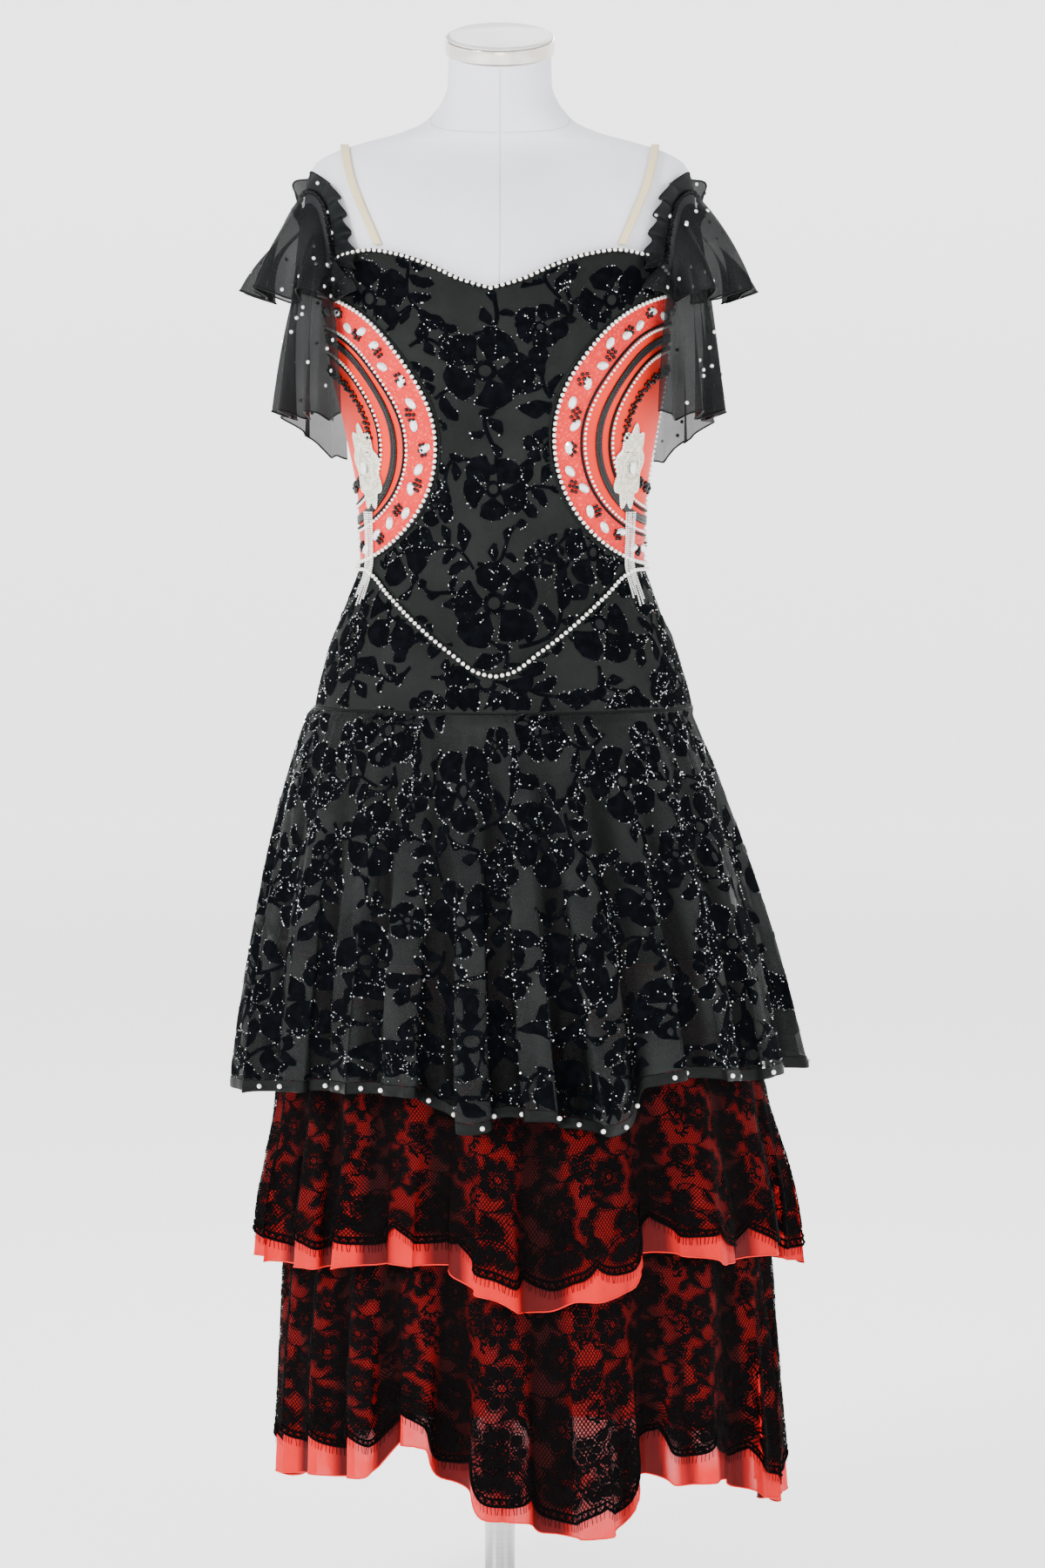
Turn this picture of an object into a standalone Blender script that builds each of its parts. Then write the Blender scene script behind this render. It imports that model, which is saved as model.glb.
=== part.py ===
"""A flamenco dress on a plain limbless dress form.

The dress is a fitted bodice (black front panel, two coral side panels, two black backs), a hip
yoke, a gathered black overskirt with a satin hem binding, an underskirt, two flounces of black
lace over coral chiffon, two flutter sleeves and nude elastic straps.  Each piece of cloth is a
thin wall on a surface worked out from the tables below.

Metres, +Z up.  The origin is on the floor, under the middle of the form's pole.  A bearing is an
angle round the form in degrees: 0 is the front (-Y), 90 is +X, 180 is the back.
"""

import math

import bmesh
import bpy
import numpy as np

MM = 0.001


def table(names, *rows):
    """The rows as a dict of columns."""
    return dict(zip(names.split(), np.array(rows, float).T))


# ---------------------------------------------------------------- driving dimensions

FLOOR_GAP = 0.3 * MM  # between two hard pieces that touch
SEAM_GAP = 0.4 * MM  # between two pieces of cloth that are sewn together
BODICE_WALL = 1.8 * MM
SKIRT_WALL = 1.2 * MM
CHIFFON_WALL = 1.0 * MM
LACE_WALL = 1.0 * MM
LACE_LIFT = 1.7 * MM  # from the coral chiffon's outer face to the lace's outer face

# The dress form: horizontal sections of the body, neck and shoulders.
FORM = table(
    "height half_width front_depth back_depth centre lean",
    (0.690, 0.118, 0.078, 0.088, 0.000, 0.00),
    (0.702, 0.146, 0.098, 0.110, 0.001, 0.00),
    (0.760, 0.165, 0.107, 0.121, 0.003, 0.00),
    (0.810, 0.166, 0.107, 0.121, 0.0035, 0.00),
    (0.853, 0.160, 0.104, 0.116, 0.0035, 0.00),
    (0.909, 0.1465, 0.098, 0.102, 0.002, 0.00),
    (0.955, 0.1320, 0.088, 0.088, 0.002, 0.00),
    (0.990, 0.1245, 0.083, 0.081, 0.002, 0.00),
    (1.040, 0.1265, 0.086, 0.083, 0.002, 0.00),
    (1.101, 0.1365, 0.096, 0.090, 0.001, 0.00),
    (1.165, 0.1485, 0.107, 0.098, -0.001, 0.00),
    (1.205, 0.1520, 0.106, 0.101, -0.002, 0.00),
    (1.235, 0.1580, 0.100, 0.101, -0.001, 0.00),
    (1.265, 0.1690, 0.091, 0.099, 0.000, 0.00),
    (1.300, 0.1780, 0.078, 0.094, 0.000, 0.00),
    (1.328, 0.1760, 0.062, 0.086, 0.000, 0.00),
    (1.346, 0.1680, 0.048, 0.076, 0.000, 0.00),
    (1.357, 0.1500, 0.040, 0.066, 0.000, 0.00),
    (1.366, 0.1220, 0.037, 0.060, 0.000, 0.00),
    (1.374, 0.0920, 0.038, 0.057, 0.000, 0.03),
    (1.384, 0.0690, 0.041, 0.055, 0.000, 0.10),
    (1.397, 0.0560, 0.044, 0.053, 0.000, 0.18),
    (1.417, 0.0475, 0.047, 0.049, 0.000, 0.26),
    (1.447, 0.0465, 0.050, 0.046, 0.000, 0.344),
)
FORM_COLUMNS = 28
# A soft fullness for the bust under the cups, on each side of the middle.
BUST_BEARING, BUST_SPREAD, BUST_HEIGHT, BUST_DROP, BUST_RISE = 29, 21, 1.168, 0.052, 0.013

CAP_RADIUS, CAP_RIM_FOOT, CAP_RIM_HEIGHT, CAP_PLATE_HEIGHT = 0.050, 0.4 * MM, 0.013, 0.004
CAP_SEGMENTS, BASE_SEGMENTS, POLE_SEGMENTS = 28, 32, 20
CAP_TILT = math.radians(19)
POLE_RADIUS = 0.014
BASE_RADIUS, BASE_HEIGHT, COLLAR_RADIUS, COLLAR_HEIGHT = 0.160, 0.012, 0.026, 0.038

# How far the fitted cloth's outer face stands off the form.
EASE = table(
    "height ease",
    (0.853, 0.0130),
    (0.909, 0.0110),
    (0.945, 0.0080),
    (0.985, 0.0052),
    (1.130, 0.0050),
    (1.290, 0.0052),
)
DRESS_TURN = -2.5  # the whole dress sits turned a little on the form
SIDE_SEAM = 97.0
YOKE_HEM = 0.853  # the gathering seam

# Necklines and waist seam: height at a share of the way from the middle to the side seam.
NECKLINE = table(
    "share height",
    (0.00, 1.2315), (0.10, 1.2400), (0.20, 1.2530), (0.30, 1.2625), (0.40, 1.2665),
    (0.52, 1.2660), (0.66, 1.2590), (0.80, 1.2480), (0.92, 1.2395), (1.00, 1.2360),
)
WAIST_SEAM = table(
    "share height",
    (0.00, 0.8860), (0.05, 0.8890), (0.15, 0.9070), (0.30, 0.9330), (0.45, 0.9560),
    (0.60, 0.9740), (0.70, 0.9790), (1.00, 0.9790),
)
BACK_NECK_HEIGHT = 1.226

# The coral side panels: their front edge is half of a rounded oval round the side seam, and
# runs from the neckline down to the waist seam.
OVAL_MIDDLE, OVAL_HALF_HEIGHT = 1.1080, 0.1290
OVAL_WIDTH, OVAL_POWER, OVAL_END = 75.5, 0.67, 84.0  # degrees round the form, shape, last turn
OVAL_SEAM_DEGREES = 0.22  # takes the seam's gap off the oval's width
PANEL_ROWS, FRONT_COLUMNS, SIDE_COLUMNS = 16, 15, 5

# The skirt's core: the surface that every layer of the skirt is measured out from.
CORE = table(
    "height half_width depth centre",
    (0.100, 0.2050, 0.183, 0.030),
    (0.345, 0.2045, 0.182, 0.026),
    (0.445, 0.2045, 0.181, 0.023),
    (0.550, 0.2060, 0.179, 0.017),
    (0.632, 0.2050, 0.175, 0.013),
    (0.700, 0.2000, 0.166, 0.008),
    (0.780, 0.1890, 0.148, 0.003),
    (0.853, 0.1720, 0.1235, 0.000),
)
UNDERSKIRT_HEM = 0.445
UNDERSKIRT_COLUMNS = 36
# Pieces that go all round the skirt in four lengths: their names, and each one's first column.
GORE_NAMES = ("front", "right", "back", "left")
UNDERSKIRT_SEAMS = (32, 4, 14, 22)
LOWER_FLOUNCE_SEAMS = (13, 29, 45, 61)  # on the slopes of folds
UNDERSKIRT_TOP_OUT, OVERSKIRT_TOP_OUT = -0.6 * MM, 1.2 * MM  # at the gathering seam

# Each skirt layer: how far its valleys stand off the core, and how much further its folds rise.
OVERSKIRT = table(
    "height valley rise",
    (0.450, 0.0290, 0.0340),
    (0.501, 0.0275, 0.0310),
    (0.557, 0.0260, 0.0230),
    (0.600, 0.0230, 0.0180),
    (0.653, 0.0180, 0.0130),
    (0.733, 0.0100, 0.0080),
    (0.800, 0.0055, 0.0035),
    (0.853, 0.0016, 0.0000),
)
UPPER_FLOUNCE = table(
    "height valley rise",
    (0.300, 0.0150, 0.0300),
    (0.345, 0.0140, 0.0275),
    (0.397, 0.0120, 0.0235),
    (0.429, 0.0100, 0.0200),
    (0.493, 0.0060, 0.0130),
    (0.550, 0.0040, 0.0090),
    (0.632, 0.0016, 0.0020),
)
LOWER_FLOUNCE = table(
    "height valley rise",
    (0.100, 0.0040, 0.0270),
    (0.173, 0.0040, 0.0230),
    (0.250, 0.0040, 0.0190),
    (0.340, 0.0040, 0.0160),
    (0.400, 0.0030, 0.0080),
    (0.456, 0.0018, 0.0012),
)
UPPER_FLOUNCE_TOP, UPPER_FLOUNCE_MIDDLE = 0.632, 0.480
LOWER_FLOUNCE_TOP, LOWER_FLOUNCE_MIDDLE = 0.456, 0.335

# Fold ridges round the skirt, and how tall each is against the tallest.
OVERSKIRT_RIDGES = table(
    "bearing height",
    (-90, 1.00), (-72, 1.00), (-54, 0.85), (-38, 0.60), (-24, 0.75), (-10, 1.05), (4, 0.90),
    (17, 1.10), (32, 0.70), (47, 0.75), (64, 0.85), (83, 1.15), (100, 0.90), (117, 0.80),
    (136, 1.00), (158, 0.75), (180, 0.95), (201, 0.80), (222, 1.00), (246, 0.85),
)
FLOUNCE_RIDGES = table(
    "bearing height",
    (-90, 1.00), (-74, 0.95), (-58, 0.80), (-43, 0.95), (-27, 0.75), (-10, 1.00), (15, 1.00),
    (44, 0.95), (67, 1.00), (89, 0.95), (109, 0.85), (129, 1.00), (149, 0.80), (170, 0.95),
    (190, 0.85), (210, 1.00), (230, 0.85), (250, 0.95),
)
OVERSKIRT_STEPS, FLOUNCE_STEPS = 4, 4  # columns from one ridge to the next

# Hem heights round each layer, and how far the lace stops above the coral chiffon's hem.
OVERSKIRT_HEM = table(
    "bearing height",
    (-90, 0.500), (-71, 0.507), (-54, 0.516), (-36, 0.5205), (-22, 0.522), (-16, 0.505),
    (-10, 0.4925), (-3, 0.504), (4, 0.504), (11, 0.4935), (19, 0.491), (24, 0.503),
    (28, 0.528), (36, 0.533), (47, 0.529), (56, 0.5225), (66, 0.526), (82, 0.524),
    (98, 0.520), (130, 0.508), (180, 0.512), (230, 0.505),
)
UPPER_FLOUNCE_HEM = table(
    "bearing height lace",
    (-90, 0.344, 0.012), (-73, 0.350, 0.016), (-56, 0.354, 0.017), (-43, 0.362, 0.018),
    (-34, 0.367, 0.019), (-20, 0.3695, 0.020), (-14, 0.355, 0.019), (-8, 0.346, 0.018),
    (-3, 0.331, 0.017), (4, 0.329, 0.017), (9, 0.3405, 0.017), (16, 0.342, 0.017),
    (22, 0.349, 0.017), (27, 0.378, 0.018), (37, 0.374, 0.018), (51, 0.361, 0.014),
    (65, 0.361, 0.012), (80, 0.349, 0.010), (90, 0.338, 0.010), (130, 0.348, 0.016),
    (180, 0.340, 0.018), (230, 0.349, 0.016),
)
LOWER_FLOUNCE_HEM = table(
    "bearing height lace",
    (-90, 0.140, 0.026), (-73, 0.153, 0.030), (-64, 0.160, 0.028), (-46, 0.167, 0.026),
    (-38, 0.178, 0.024), (-34, 0.204, 0.018), (-26, 0.204, 0.018), (-21, 0.176, 0.016),
    (-14, 0.164, 0.015), (-9, 0.145, 0.014), (-2, 0.140, 0.012), (4, 0.129, 0.012),
    (13, 0.127, 0.012), (21, 0.138, 0.014), (26, 0.180, 0.030), (35, 0.167, 0.027),
    (49, 0.163, 0.025), (71, 0.130, 0.022), (87, 0.124, 0.020), (120, 0.140, 0.024),
    (150, 0.152, 0.022), (180, 0.145, 0.024), (210, 0.153, 0.022), (240, 0.143, 0.024),
)
SCALLOP_COLUMNS, SCALLOP_DEPTH = 3, 0.012
BINDING_WIDTH, BINDING_PROUD = 0.010, 0.3 * MM

# Sleeves, on the +X side; the other side is their mirror with its own folds.
BAND_Y, BAND_Z = 0.010, 1.268  # the middle of the fan that finds the armhole line
BAND_START, BAND_END = -103.0, 108.0  # degrees from straight up, front to back
BAND_LEAN = 48.0  # degrees that the fan leans outwards where the band rounds the shoulder
BAND_LEAN_TURN, BAND_LEAN_SPREAD = 8.0, 34.0  # where it leans most, and how far round
BAND_ENDS = 0.22  # the share of the band, at each end, that runs outside the bodice
BAND_CURVE = 0.012  # the band's ends lie this much nearer the middle than its top
SLEEVE_MIDDLE_X, SLEEVE_MIDDLE_Y = 0.150, 0.006
SLEEVE = table(
    "upper band_x open reach depth hem lift wave folds back_drop",
    (1, 0.158, 106, 0.074, 0.088, 1.227, 0.0045, 0.0100, 6, 0.000),
    (0, 0.165, 98, 0.049, 0.070, 1.119, 0.0017, 0.0065, 6, 0.045),
)
SLEEVE_COLUMNS = 25
SLEEVE_OUT, SLEEVE_DOWN = 0.80, 0.35  # where a flounce turns down: shares of its reach and drop
HEADING_X, HEADING_LIFT = 0.1575, 0.0029
HEADING_TOP, HEADING_END, HEADING_WAVE, HEADING_FOLDS = 0.012, 0.021, 0.0030, 11
HEADING_EDGE_LIFT = 1.0 * MM  # the heading's free edge stands this much further off the strap
HEADING_PLEAT_X = 0.080  # its pleats rise straight away from a line through the shoulder there
# The dress hangs a little turned, so the right sleeve's heading and upper flounce lie lower.
SLEEVE_SIDE = {"left": (-1, 0.35, 0.0), "right": (1, 0.10, 0.6 * MM)}  # side, phase, sink

STRAP_WIDTH, STRAP_WALL = 0.0075, 1.0 * MM
STRAP_FRONT_X, STRAP_TOP_X, STRAP_BACK_X = 0.108, 0.1415, 0.112
STRAP_START, STRAP_END, STRAP_LIFT = -88.0, 106.0, 1.9 * MM

BROOCH_BEARING, BROOCH_HEIGHT = 60.0, 1.072
BROOCH_HALF_WIDTH, BROOCH_HALF_HEIGHT, BROOCH_THICKNESS = 0.022, 0.039, 0.0045
BROOCH_PETALS, BROOCH_STEPS, BROOCH_LIFT = 9, 27, 0.95 * MM
BROOCH_RADIUS = 0.125  # of the bodice there: turns a width along it into a bearing
BROOCH_RINGS = table("share out", (0, 1), (0.55, 0.85), (0.9, 0.5), (1, 0.25), (1, 0), (0, 0))
FRINGE_STRANDS, FRINGE_PITCH, FRINGE_STRAND = 6, 0.0031, 0.0019
FRINGE_TOP, FRINGE_ROOT, FRINGE_LENGTH = 1.031, 0.006, 0.078
FRINGE_LIFT, FRINGE_TURN = 0.9 * MM, 4.0
FRINGE_SHORTEST, FRINGE_UNEVEN = 0.72, 1.9  # the least share of the length; radians a strand


# ---------------------------------------------------------------- curves through the tables


def smooth(at, xs, ys):
    """A curve through the points that never overshoots them, read at each value of at."""
    step = np.diff(xs)
    slope = np.diff(ys) / step
    tangent = np.concatenate([[slope[0]], np.zeros(len(slope) - 1), [slope[-1]]])
    product = slope[:-1] * slope[1:]
    same = product > 0
    tangent[1:-1][same] = 2 * product[same] / (slope[:-1] + slope[1:])[same]
    i = np.clip(np.searchsorted(xs, at) - 1, 0, len(step) - 1)
    u = np.clip((at - xs[i]) / step[i], 0, 1)
    start = (1 + 2 * u) * (1 - u) ** 2 * ys[i] + u * (1 - u) ** 2 * step[i] * tangent[i]
    end = u * u * (3 - 2 * u) * ys[i + 1] - u * u * (1 - u) * step[i] * tangent[i + 1]
    return start + end


def read(rows, name, at, key="height"):
    """One column of a table, at any value of its key column."""
    return smooth(np.asarray(at, float), rows[key], rows[name])


def read_round(rows, name, bearing):
    """One column of a table of bearings, which closes on itself after a full turn."""
    turns = np.concatenate([rows["bearing"] + 360 * k for k in (-1, 0, 1, 2)])
    return smooth(np.asarray(bearing, float), turns, np.tile(rows[name], 4))


def fold_wave(ridges, bearing):
    """0 in each valley between two ridges, rising to each ridge's own height."""
    start = ridges["bearing"][0]
    edges = np.append(ridges["bearing"], start + 360)
    heights = np.append(ridges["height"], ridges["height"][0])
    at = np.mod(np.asarray(bearing, float) - start, 360) + start
    i = np.clip(np.searchsorted(edges, at, side="right") - 1, 0, len(edges) - 2)
    share = (at - edges[i]) / (edges[i + 1] - edges[i])
    near = np.where(share < 0.5, heights[i], heights[i + 1])
    return near * (0.5 + 0.5 * np.cos(2 * np.pi * share)) ** 0.85


def fold_bearings(ridges, steps):
    """Bearings of a skirt layer's columns: the same number from each ridge to the next."""
    edges = np.append(ridges["bearing"], ridges["bearing"][0] + 360)
    return np.concatenate(
        [np.linspace(a, b, steps, endpoint=False) for a, b in zip(edges[:-1], edges[1:])]
    )


# ---------------------------------------------------------------- surfaces


def on_section(bearing, half_width, front_depth, back_depth):
    """X and Y on a section whose front and back halves have their own depths."""
    turn = np.radians(bearing)
    depth = np.where(np.cos(turn) > 0, front_depth, back_depth)
    return half_width * np.sin(turn), -depth * np.cos(turn)


def bust(bearing, height):
    """How far the bust's soft fullness stands out of the form's section."""
    away = (np.abs((np.asarray(bearing) + 180) % 360 - 180) - BUST_BEARING) / BUST_SPREAD
    above = (np.asarray(height) - BUST_HEIGHT) / BUST_DROP
    return BUST_RISE * np.exp(-(away**2) - above**2)


def on_form(bearing, height, out=0.0):
    """A point at that distance out of the form's surface."""
    full = bust(bearing, height) + out
    x, y = on_section(
        bearing,
        read(FORM, "half_width", height) + full,
        read(FORM, "front_depth", height) + full,
        read(FORM, "back_depth", height) + full,
    )
    x = x + read(FORM, "centre", height)
    return np.stack([x, y, height + read(FORM, "lean", height) * y], axis=-1)


def on_dress(bearing, height, out=0.0):
    """A point at that distance out of the fitted cloth's outer face."""
    bearing, height = np.broadcast_arrays(np.asarray(bearing, float), height)
    return on_form(bearing + DRESS_TURN, height, out + read(EASE, "ease", height))


def on_skirt(bearing, height, out):
    """A point at that distance out of the skirt's core."""
    bearing, height = np.broadcast_arrays(np.asarray(bearing, float), height)
    x, y = on_section(
        bearing,
        read(CORE, "half_width", height) + out,
        read(CORE, "depth", height) + out,
        read(CORE, "depth", height) + out,
    )
    return np.stack([x + read(CORE, "centre", height), y, height], axis=-1)


def layer(rows, ridges, bearing, height):
    """A point on the outer face of a gathered skirt layer."""
    bearing, height = np.broadcast_arrays(np.asarray(bearing, float), height)
    rise = read(rows, "rise", height) * fold_wave(ridges, bearing)
    return on_skirt(bearing, height, read(rows, "valley", height) + rise)


def inside_form(point, out=0.0):
    """Under 1 where the point is inside the form's section at its height, grown by out."""
    x, y, z = point
    depth = read(FORM, "front_depth" if y < 0 else "back_depth", z) + out
    across = x - read(FORM, "centre", z)
    return (across / (read(FORM, "half_width", z) + out)) ** 2 + (y / depth) ** 2


def over_shoulder(x, turn, out, lean=0.0):
    """The point at that distance off the form, on a ray from inside the shoulder.

    The ray leaves at turn degrees from straight up, towards the back where turn is positive,
    and leans outwards by lean degrees.
    """
    turn, lean = math.radians(turn), math.radians(lean)
    way = np.array([math.sin(lean), math.sin(turn) * math.cos(lean), math.cos(turn) * math.cos(lean)])
    start = np.array([x, BAND_Y, BAND_Z])
    near, far = 0.0, 0.30
    for _ in range(40):
        middle = (near + far) / 2
        if inside_form(start + way * middle) < 1:
            near = middle
        else:
            far = middle
    return start + way * (near + out)


def push_clear(points, outs):
    """The points, moved level and outwards where they are inside the form grown by outs."""
    cleared = points.copy()
    for place in np.ndindex(points.shape[:-1]):
        share = inside_form(points[place], outs[place[-1]])
        if share < 1:
            cleared[place][:2] /= math.sqrt(share)
    return cleared


# ---------------------------------------------------------------- making objects


def finish(name, colour, roughness, metallic=0.0):
    """A material with one colour."""
    material = bpy.data.materials.new(name)
    material.use_nodes = True
    shader = material.node_tree.nodes["Principled BSDF"]
    shader.inputs["Base Color"].default_value = (*colour, 1)
    shader.inputs["Roughness"].default_value = roughness
    shader.inputs["Metallic"].default_value = metallic
    return material


def add_object(name, shape, material, smooth_angle=40):
    """Puts a bmesh in the scene as one object, shaded smooth but for its sharp edges."""
    mesh = bpy.data.meshes.new(name)
    shape.to_mesh(mesh)
    shape.free()
    mesh.shade_smooth()
    mesh.set_sharp_from_angle(angle=math.radians(smooth_angle))
    mesh.materials.append(material)
    made = bpy.data.objects.new(name, mesh)
    bpy.context.scene.collection.objects.link(made)
    return made


def grid_shape(points, closed=False):
    """A bmesh with one face between each four neighbours of a grid of points."""
    shape = bmesh.new()
    rows, columns = points.shape[:2]
    corners = [[shape.verts.new(points[r, c]) for c in range(columns)] for r in range(rows)]
    for r in range(rows - 1):
        for c in range(columns if closed else columns - 1):
            beside = (c + 1) % columns
            shape.faces.new(
                (corners[r][c], corners[r + 1][c], corners[r + 1][beside], corners[r][beside])
            )
    return shape


def cloth(name, points, wall, material, closed=False):
    """A piece of cloth: its outer face on the points, and its thickness inwards.

    Rows run downwards and columns run towards larger bearings, so the faces point out.
    """
    made = add_object(name, grid_shape(points, closed), material)
    thick = made.modifiers.new("cloth thickness", "SOLIDIFY")
    thick.thickness = wall
    thick.offset = -1
    thick.use_even_offset = True
    thick.use_quality_normals = True
    return made


def gores(name, points, seams, wall, material):
    """A closed piece of cloth in four lengths, sewn together where the seams' columns are."""
    count = points.shape[1]
    for label, start, end in zip(GORE_NAMES, seams, seams[1:] + seams[:1]):
        columns = (start + np.arange((end - start) % count + 1)) % count
        part = points[:, columns].copy()
        for edge, beside in ((0, 1), (-1, -2)):
            way = part[:, beside] - part[:, edge]
            part[:, edge] += way * (SEAM_GAP / 2 / np.linalg.norm(way, axis=1, keepdims=True))
        cloth(f"{name}_{label}", part, wall, material)


def moved_out(points, out):
    """A closed grid's points moved along its normals, as far from its faces at each fold."""
    normals = np.cross(np.gradient(points, axis=0), np.roll(points, -1, 1) - points)
    normals = normals / np.linalg.norm(normals, axis=2, keepdims=True)
    middle = normals + np.roll(normals, 1, 1)
    middle = middle / np.linalg.norm(middle, axis=2, keepdims=True)
    lean = np.clip((middle * normals).sum(2, keepdims=True), 0.6, 1)
    return points + middle * out / lean


def turned(name, profile, segments, material):
    """A solid of revolution about Z; the profile runs from the axis back to the axis."""
    shape = bmesh.new()
    line = [shape.verts.new((radius, 0, height)) for radius, height in profile]
    edges = [shape.edges.new(pair) for pair in zip(line[:-1], line[1:])]
    bmesh.ops.spin(
        shape, geom=line + edges, cent=(0, 0, 0), axis=(0, 0, 1),
        angle=2 * math.pi, steps=segments, use_merge=True,
    )
    bmesh.ops.remove_doubles(shape, verts=shape.verts, dist=0.05 * MM)
    bmesh.ops.recalc_face_normals(shape, faces=shape.faces)
    return add_object(name, shape, material, smooth_angle=30)


# ---------------------------------------------------------------- the form and its stand


def make_form():
    """The body of the form, closed at its foot and at the top of its neck."""
    heights = FORM["height"]
    bearings = np.arange(FORM_COLUMNS) * 360 / FORM_COLUMNS
    rings = on_form(bearings[None, :], heights[::-1, None])
    shape = grid_shape(rings, closed=True)
    shape.verts.ensure_lookup_table()
    top = [shape.verts[i] for i in range(FORM_COLUMNS)]
    foot = [shape.verts[i - FORM_COLUMNS] for i in range(FORM_COLUMNS)]
    shape.faces.new(top)
    shape.faces.new(foot[::-1])
    return add_object("form_body", shape, finish("form_linen", (0.74, 0.75, 0.79), 0.75))


def make_neck_cap():
    """A chrome rim round the top of the neck, and the plate on it, tilted with the neck."""
    rim = turned(
        "neck_cap_rim",
        (
            (0, CAP_RIM_FOOT), (CAP_RADIUS - 0.001, CAP_RIM_FOOT),
            (CAP_RADIUS, CAP_RIM_FOOT + 0.001), (CAP_RADIUS, CAP_RIM_HEIGHT - 0.001),
            (CAP_RADIUS - 0.001, CAP_RIM_HEIGHT), (0, CAP_RIM_HEIGHT),
        ),
        CAP_SEGMENTS,
        finish("chrome", (0.80, 0.78, 0.74), 0.15, 1.0),
    )
    foot = CAP_RIM_HEIGHT + FLOOR_GAP
    plate = turned(
        "neck_cap_plate",
        (
            (0, foot), (CAP_RADIUS - 0.0015, foot), (CAP_RADIUS - 0.0015, foot + 0.0015),
            (CAP_RADIUS - 0.0035, foot + 0.0028), (0, foot + CAP_PLATE_HEIGHT),
        ),
        CAP_SEGMENTS,
        finish("cap_plate", (0.62, 0.61, 0.60), 0.55),
    )
    for piece in (rim, plate):
        piece.location = (0, 0, FORM["height"][-1])
        piece.rotation_euler = (CAP_TILT, 0, 0)


def make_stand():
    """The round base with its collar, and the pole up to the form."""
    metal = finish("stand_metal", (0.72, 0.72, 0.73), 0.28, 1.0)
    turned(
        "stand_base",
        (
            (0, 0), (BASE_RADIUS, 0), (BASE_RADIUS, 0.005), (BASE_RADIUS - 0.006, 0.009),
            (COLLAR_RADIUS + 0.006, BASE_HEIGHT), (COLLAR_RADIUS, BASE_HEIGHT + 0.006),
            (COLLAR_RADIUS, COLLAR_HEIGHT - 0.003), (COLLAR_RADIUS - 0.003, COLLAR_HEIGHT),
            (0, COLLAR_HEIGHT),
        ),
        BASE_SEGMENTS,
        metal,
    )
    foot, top = COLLAR_HEIGHT + FLOOR_GAP, FORM["height"][0] - FLOOR_GAP
    turned(
        "stand_pole",
        ((0, foot), (POLE_RADIUS, foot), (POLE_RADIUS, top), (0, top)),
        POLE_SEGMENTS,
        metal,
    )


# ---------------------------------------------------------------- bodice and yoke


def oval_edge(count):
    """Bearings and heights down a side panel's curved front edge, about evenly spaced."""
    turns = np.radians(np.linspace(OVAL_END, -OVAL_END, 241))
    bearing = SIDE_SEAM - OVAL_WIDTH * np.cos(turns) ** OVAL_POWER
    height = OVAL_MIDDLE + OVAL_HALF_HEIGHT * np.sin(turns)
    steps = np.linalg.norm(np.diff(on_dress(bearing, height), axis=0), axis=1)
    along = np.append(0, np.cumsum(steps))
    places = np.linspace(0, along[-1], count)
    return np.interp(places, along, bearing), np.interp(places, along, height)


def make_front_panel(black):
    """The black front: sweetheart neckline, hollow sides and a pointed waist."""
    reach, levels = oval_edge(PANEL_ROWS)
    shares = np.linspace(-1, 1, FRONT_COLUMNS)
    seam_share = np.abs(shares) * reach[-1] / SIDE_SEAM
    top = read(NECKLINE, "height", np.abs(shares) * reach[0] / SIDE_SEAM, "share")
    foot = read(WAIST_SEAM, "height", seam_share, "share")
    down = (levels[0] - levels) / (levels[0] - levels[-1])
    heights = top[None, :] + (foot - top)[None, :] * down[:, None]
    bearings = shares[None, :] * reach[:, None]
    cloth("bodice_front", on_dress(bearings, heights), BODICE_WALL, black)


def make_side_panels(coral):
    """The two coral panels, from their curved front edge to the side seam."""
    edge_bearing, levels = oval_edge(PANEL_ROWS)
    edge_bearing = edge_bearing + OVAL_SEAM_DEGREES
    across = np.linspace(0, 1, SIDE_COLUMNS)
    down = (levels[0] - levels) / (levels[0] - levels[-1])
    for name, side in (("left", -1), ("right", 1)):
        bearings = edge_bearing[:, None] + (SIDE_SEAM - edge_bearing)[:, None] * across
        top = read(NECKLINE, "height", bearings[0] / SIDE_SEAM, "share")
        heights = top[None, :] + (WAIST_SEAM["height"][-1] - top)[None, :] * down[:, None]
        if side < 0:
            bearings, heights = -bearings[:, ::-1], heights[:, ::-1]
        cloth(f"bodice_side_{name}", on_dress(bearings, heights), BODICE_WALL, coral)


def make_backs(black):
    """The two backs, which meet in the closing seam down the middle of the back."""
    gap = math.degrees(SEAM_GAP / FORM["half_width"].min())
    foot = WAIST_SEAM["height"][-1]
    for name, side in (("left", -1), ("right", 1)):
        bearings = np.linspace(SIDE_SEAM + gap, 180 - gap / 2, 7)
        share = (bearings - SIDE_SEAM) / (180 - SIDE_SEAM)
        top = NECKLINE["height"][-1] + (BACK_NECK_HEIGHT - NECKLINE["height"][-1]) * share
        down = np.linspace(0, 1, 7)[:, None]
        heights = top[None, :] + (foot - top)[None, :] * down
        grid_bearings = np.broadcast_to(bearings, heights.shape)
        if side < 0:
            grid_bearings, heights = -grid_bearings[:, ::-1], heights[:, ::-1]
        cloth(f"bodice_back_{name}", on_dress(grid_bearings, heights), BODICE_WALL, black)


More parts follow.
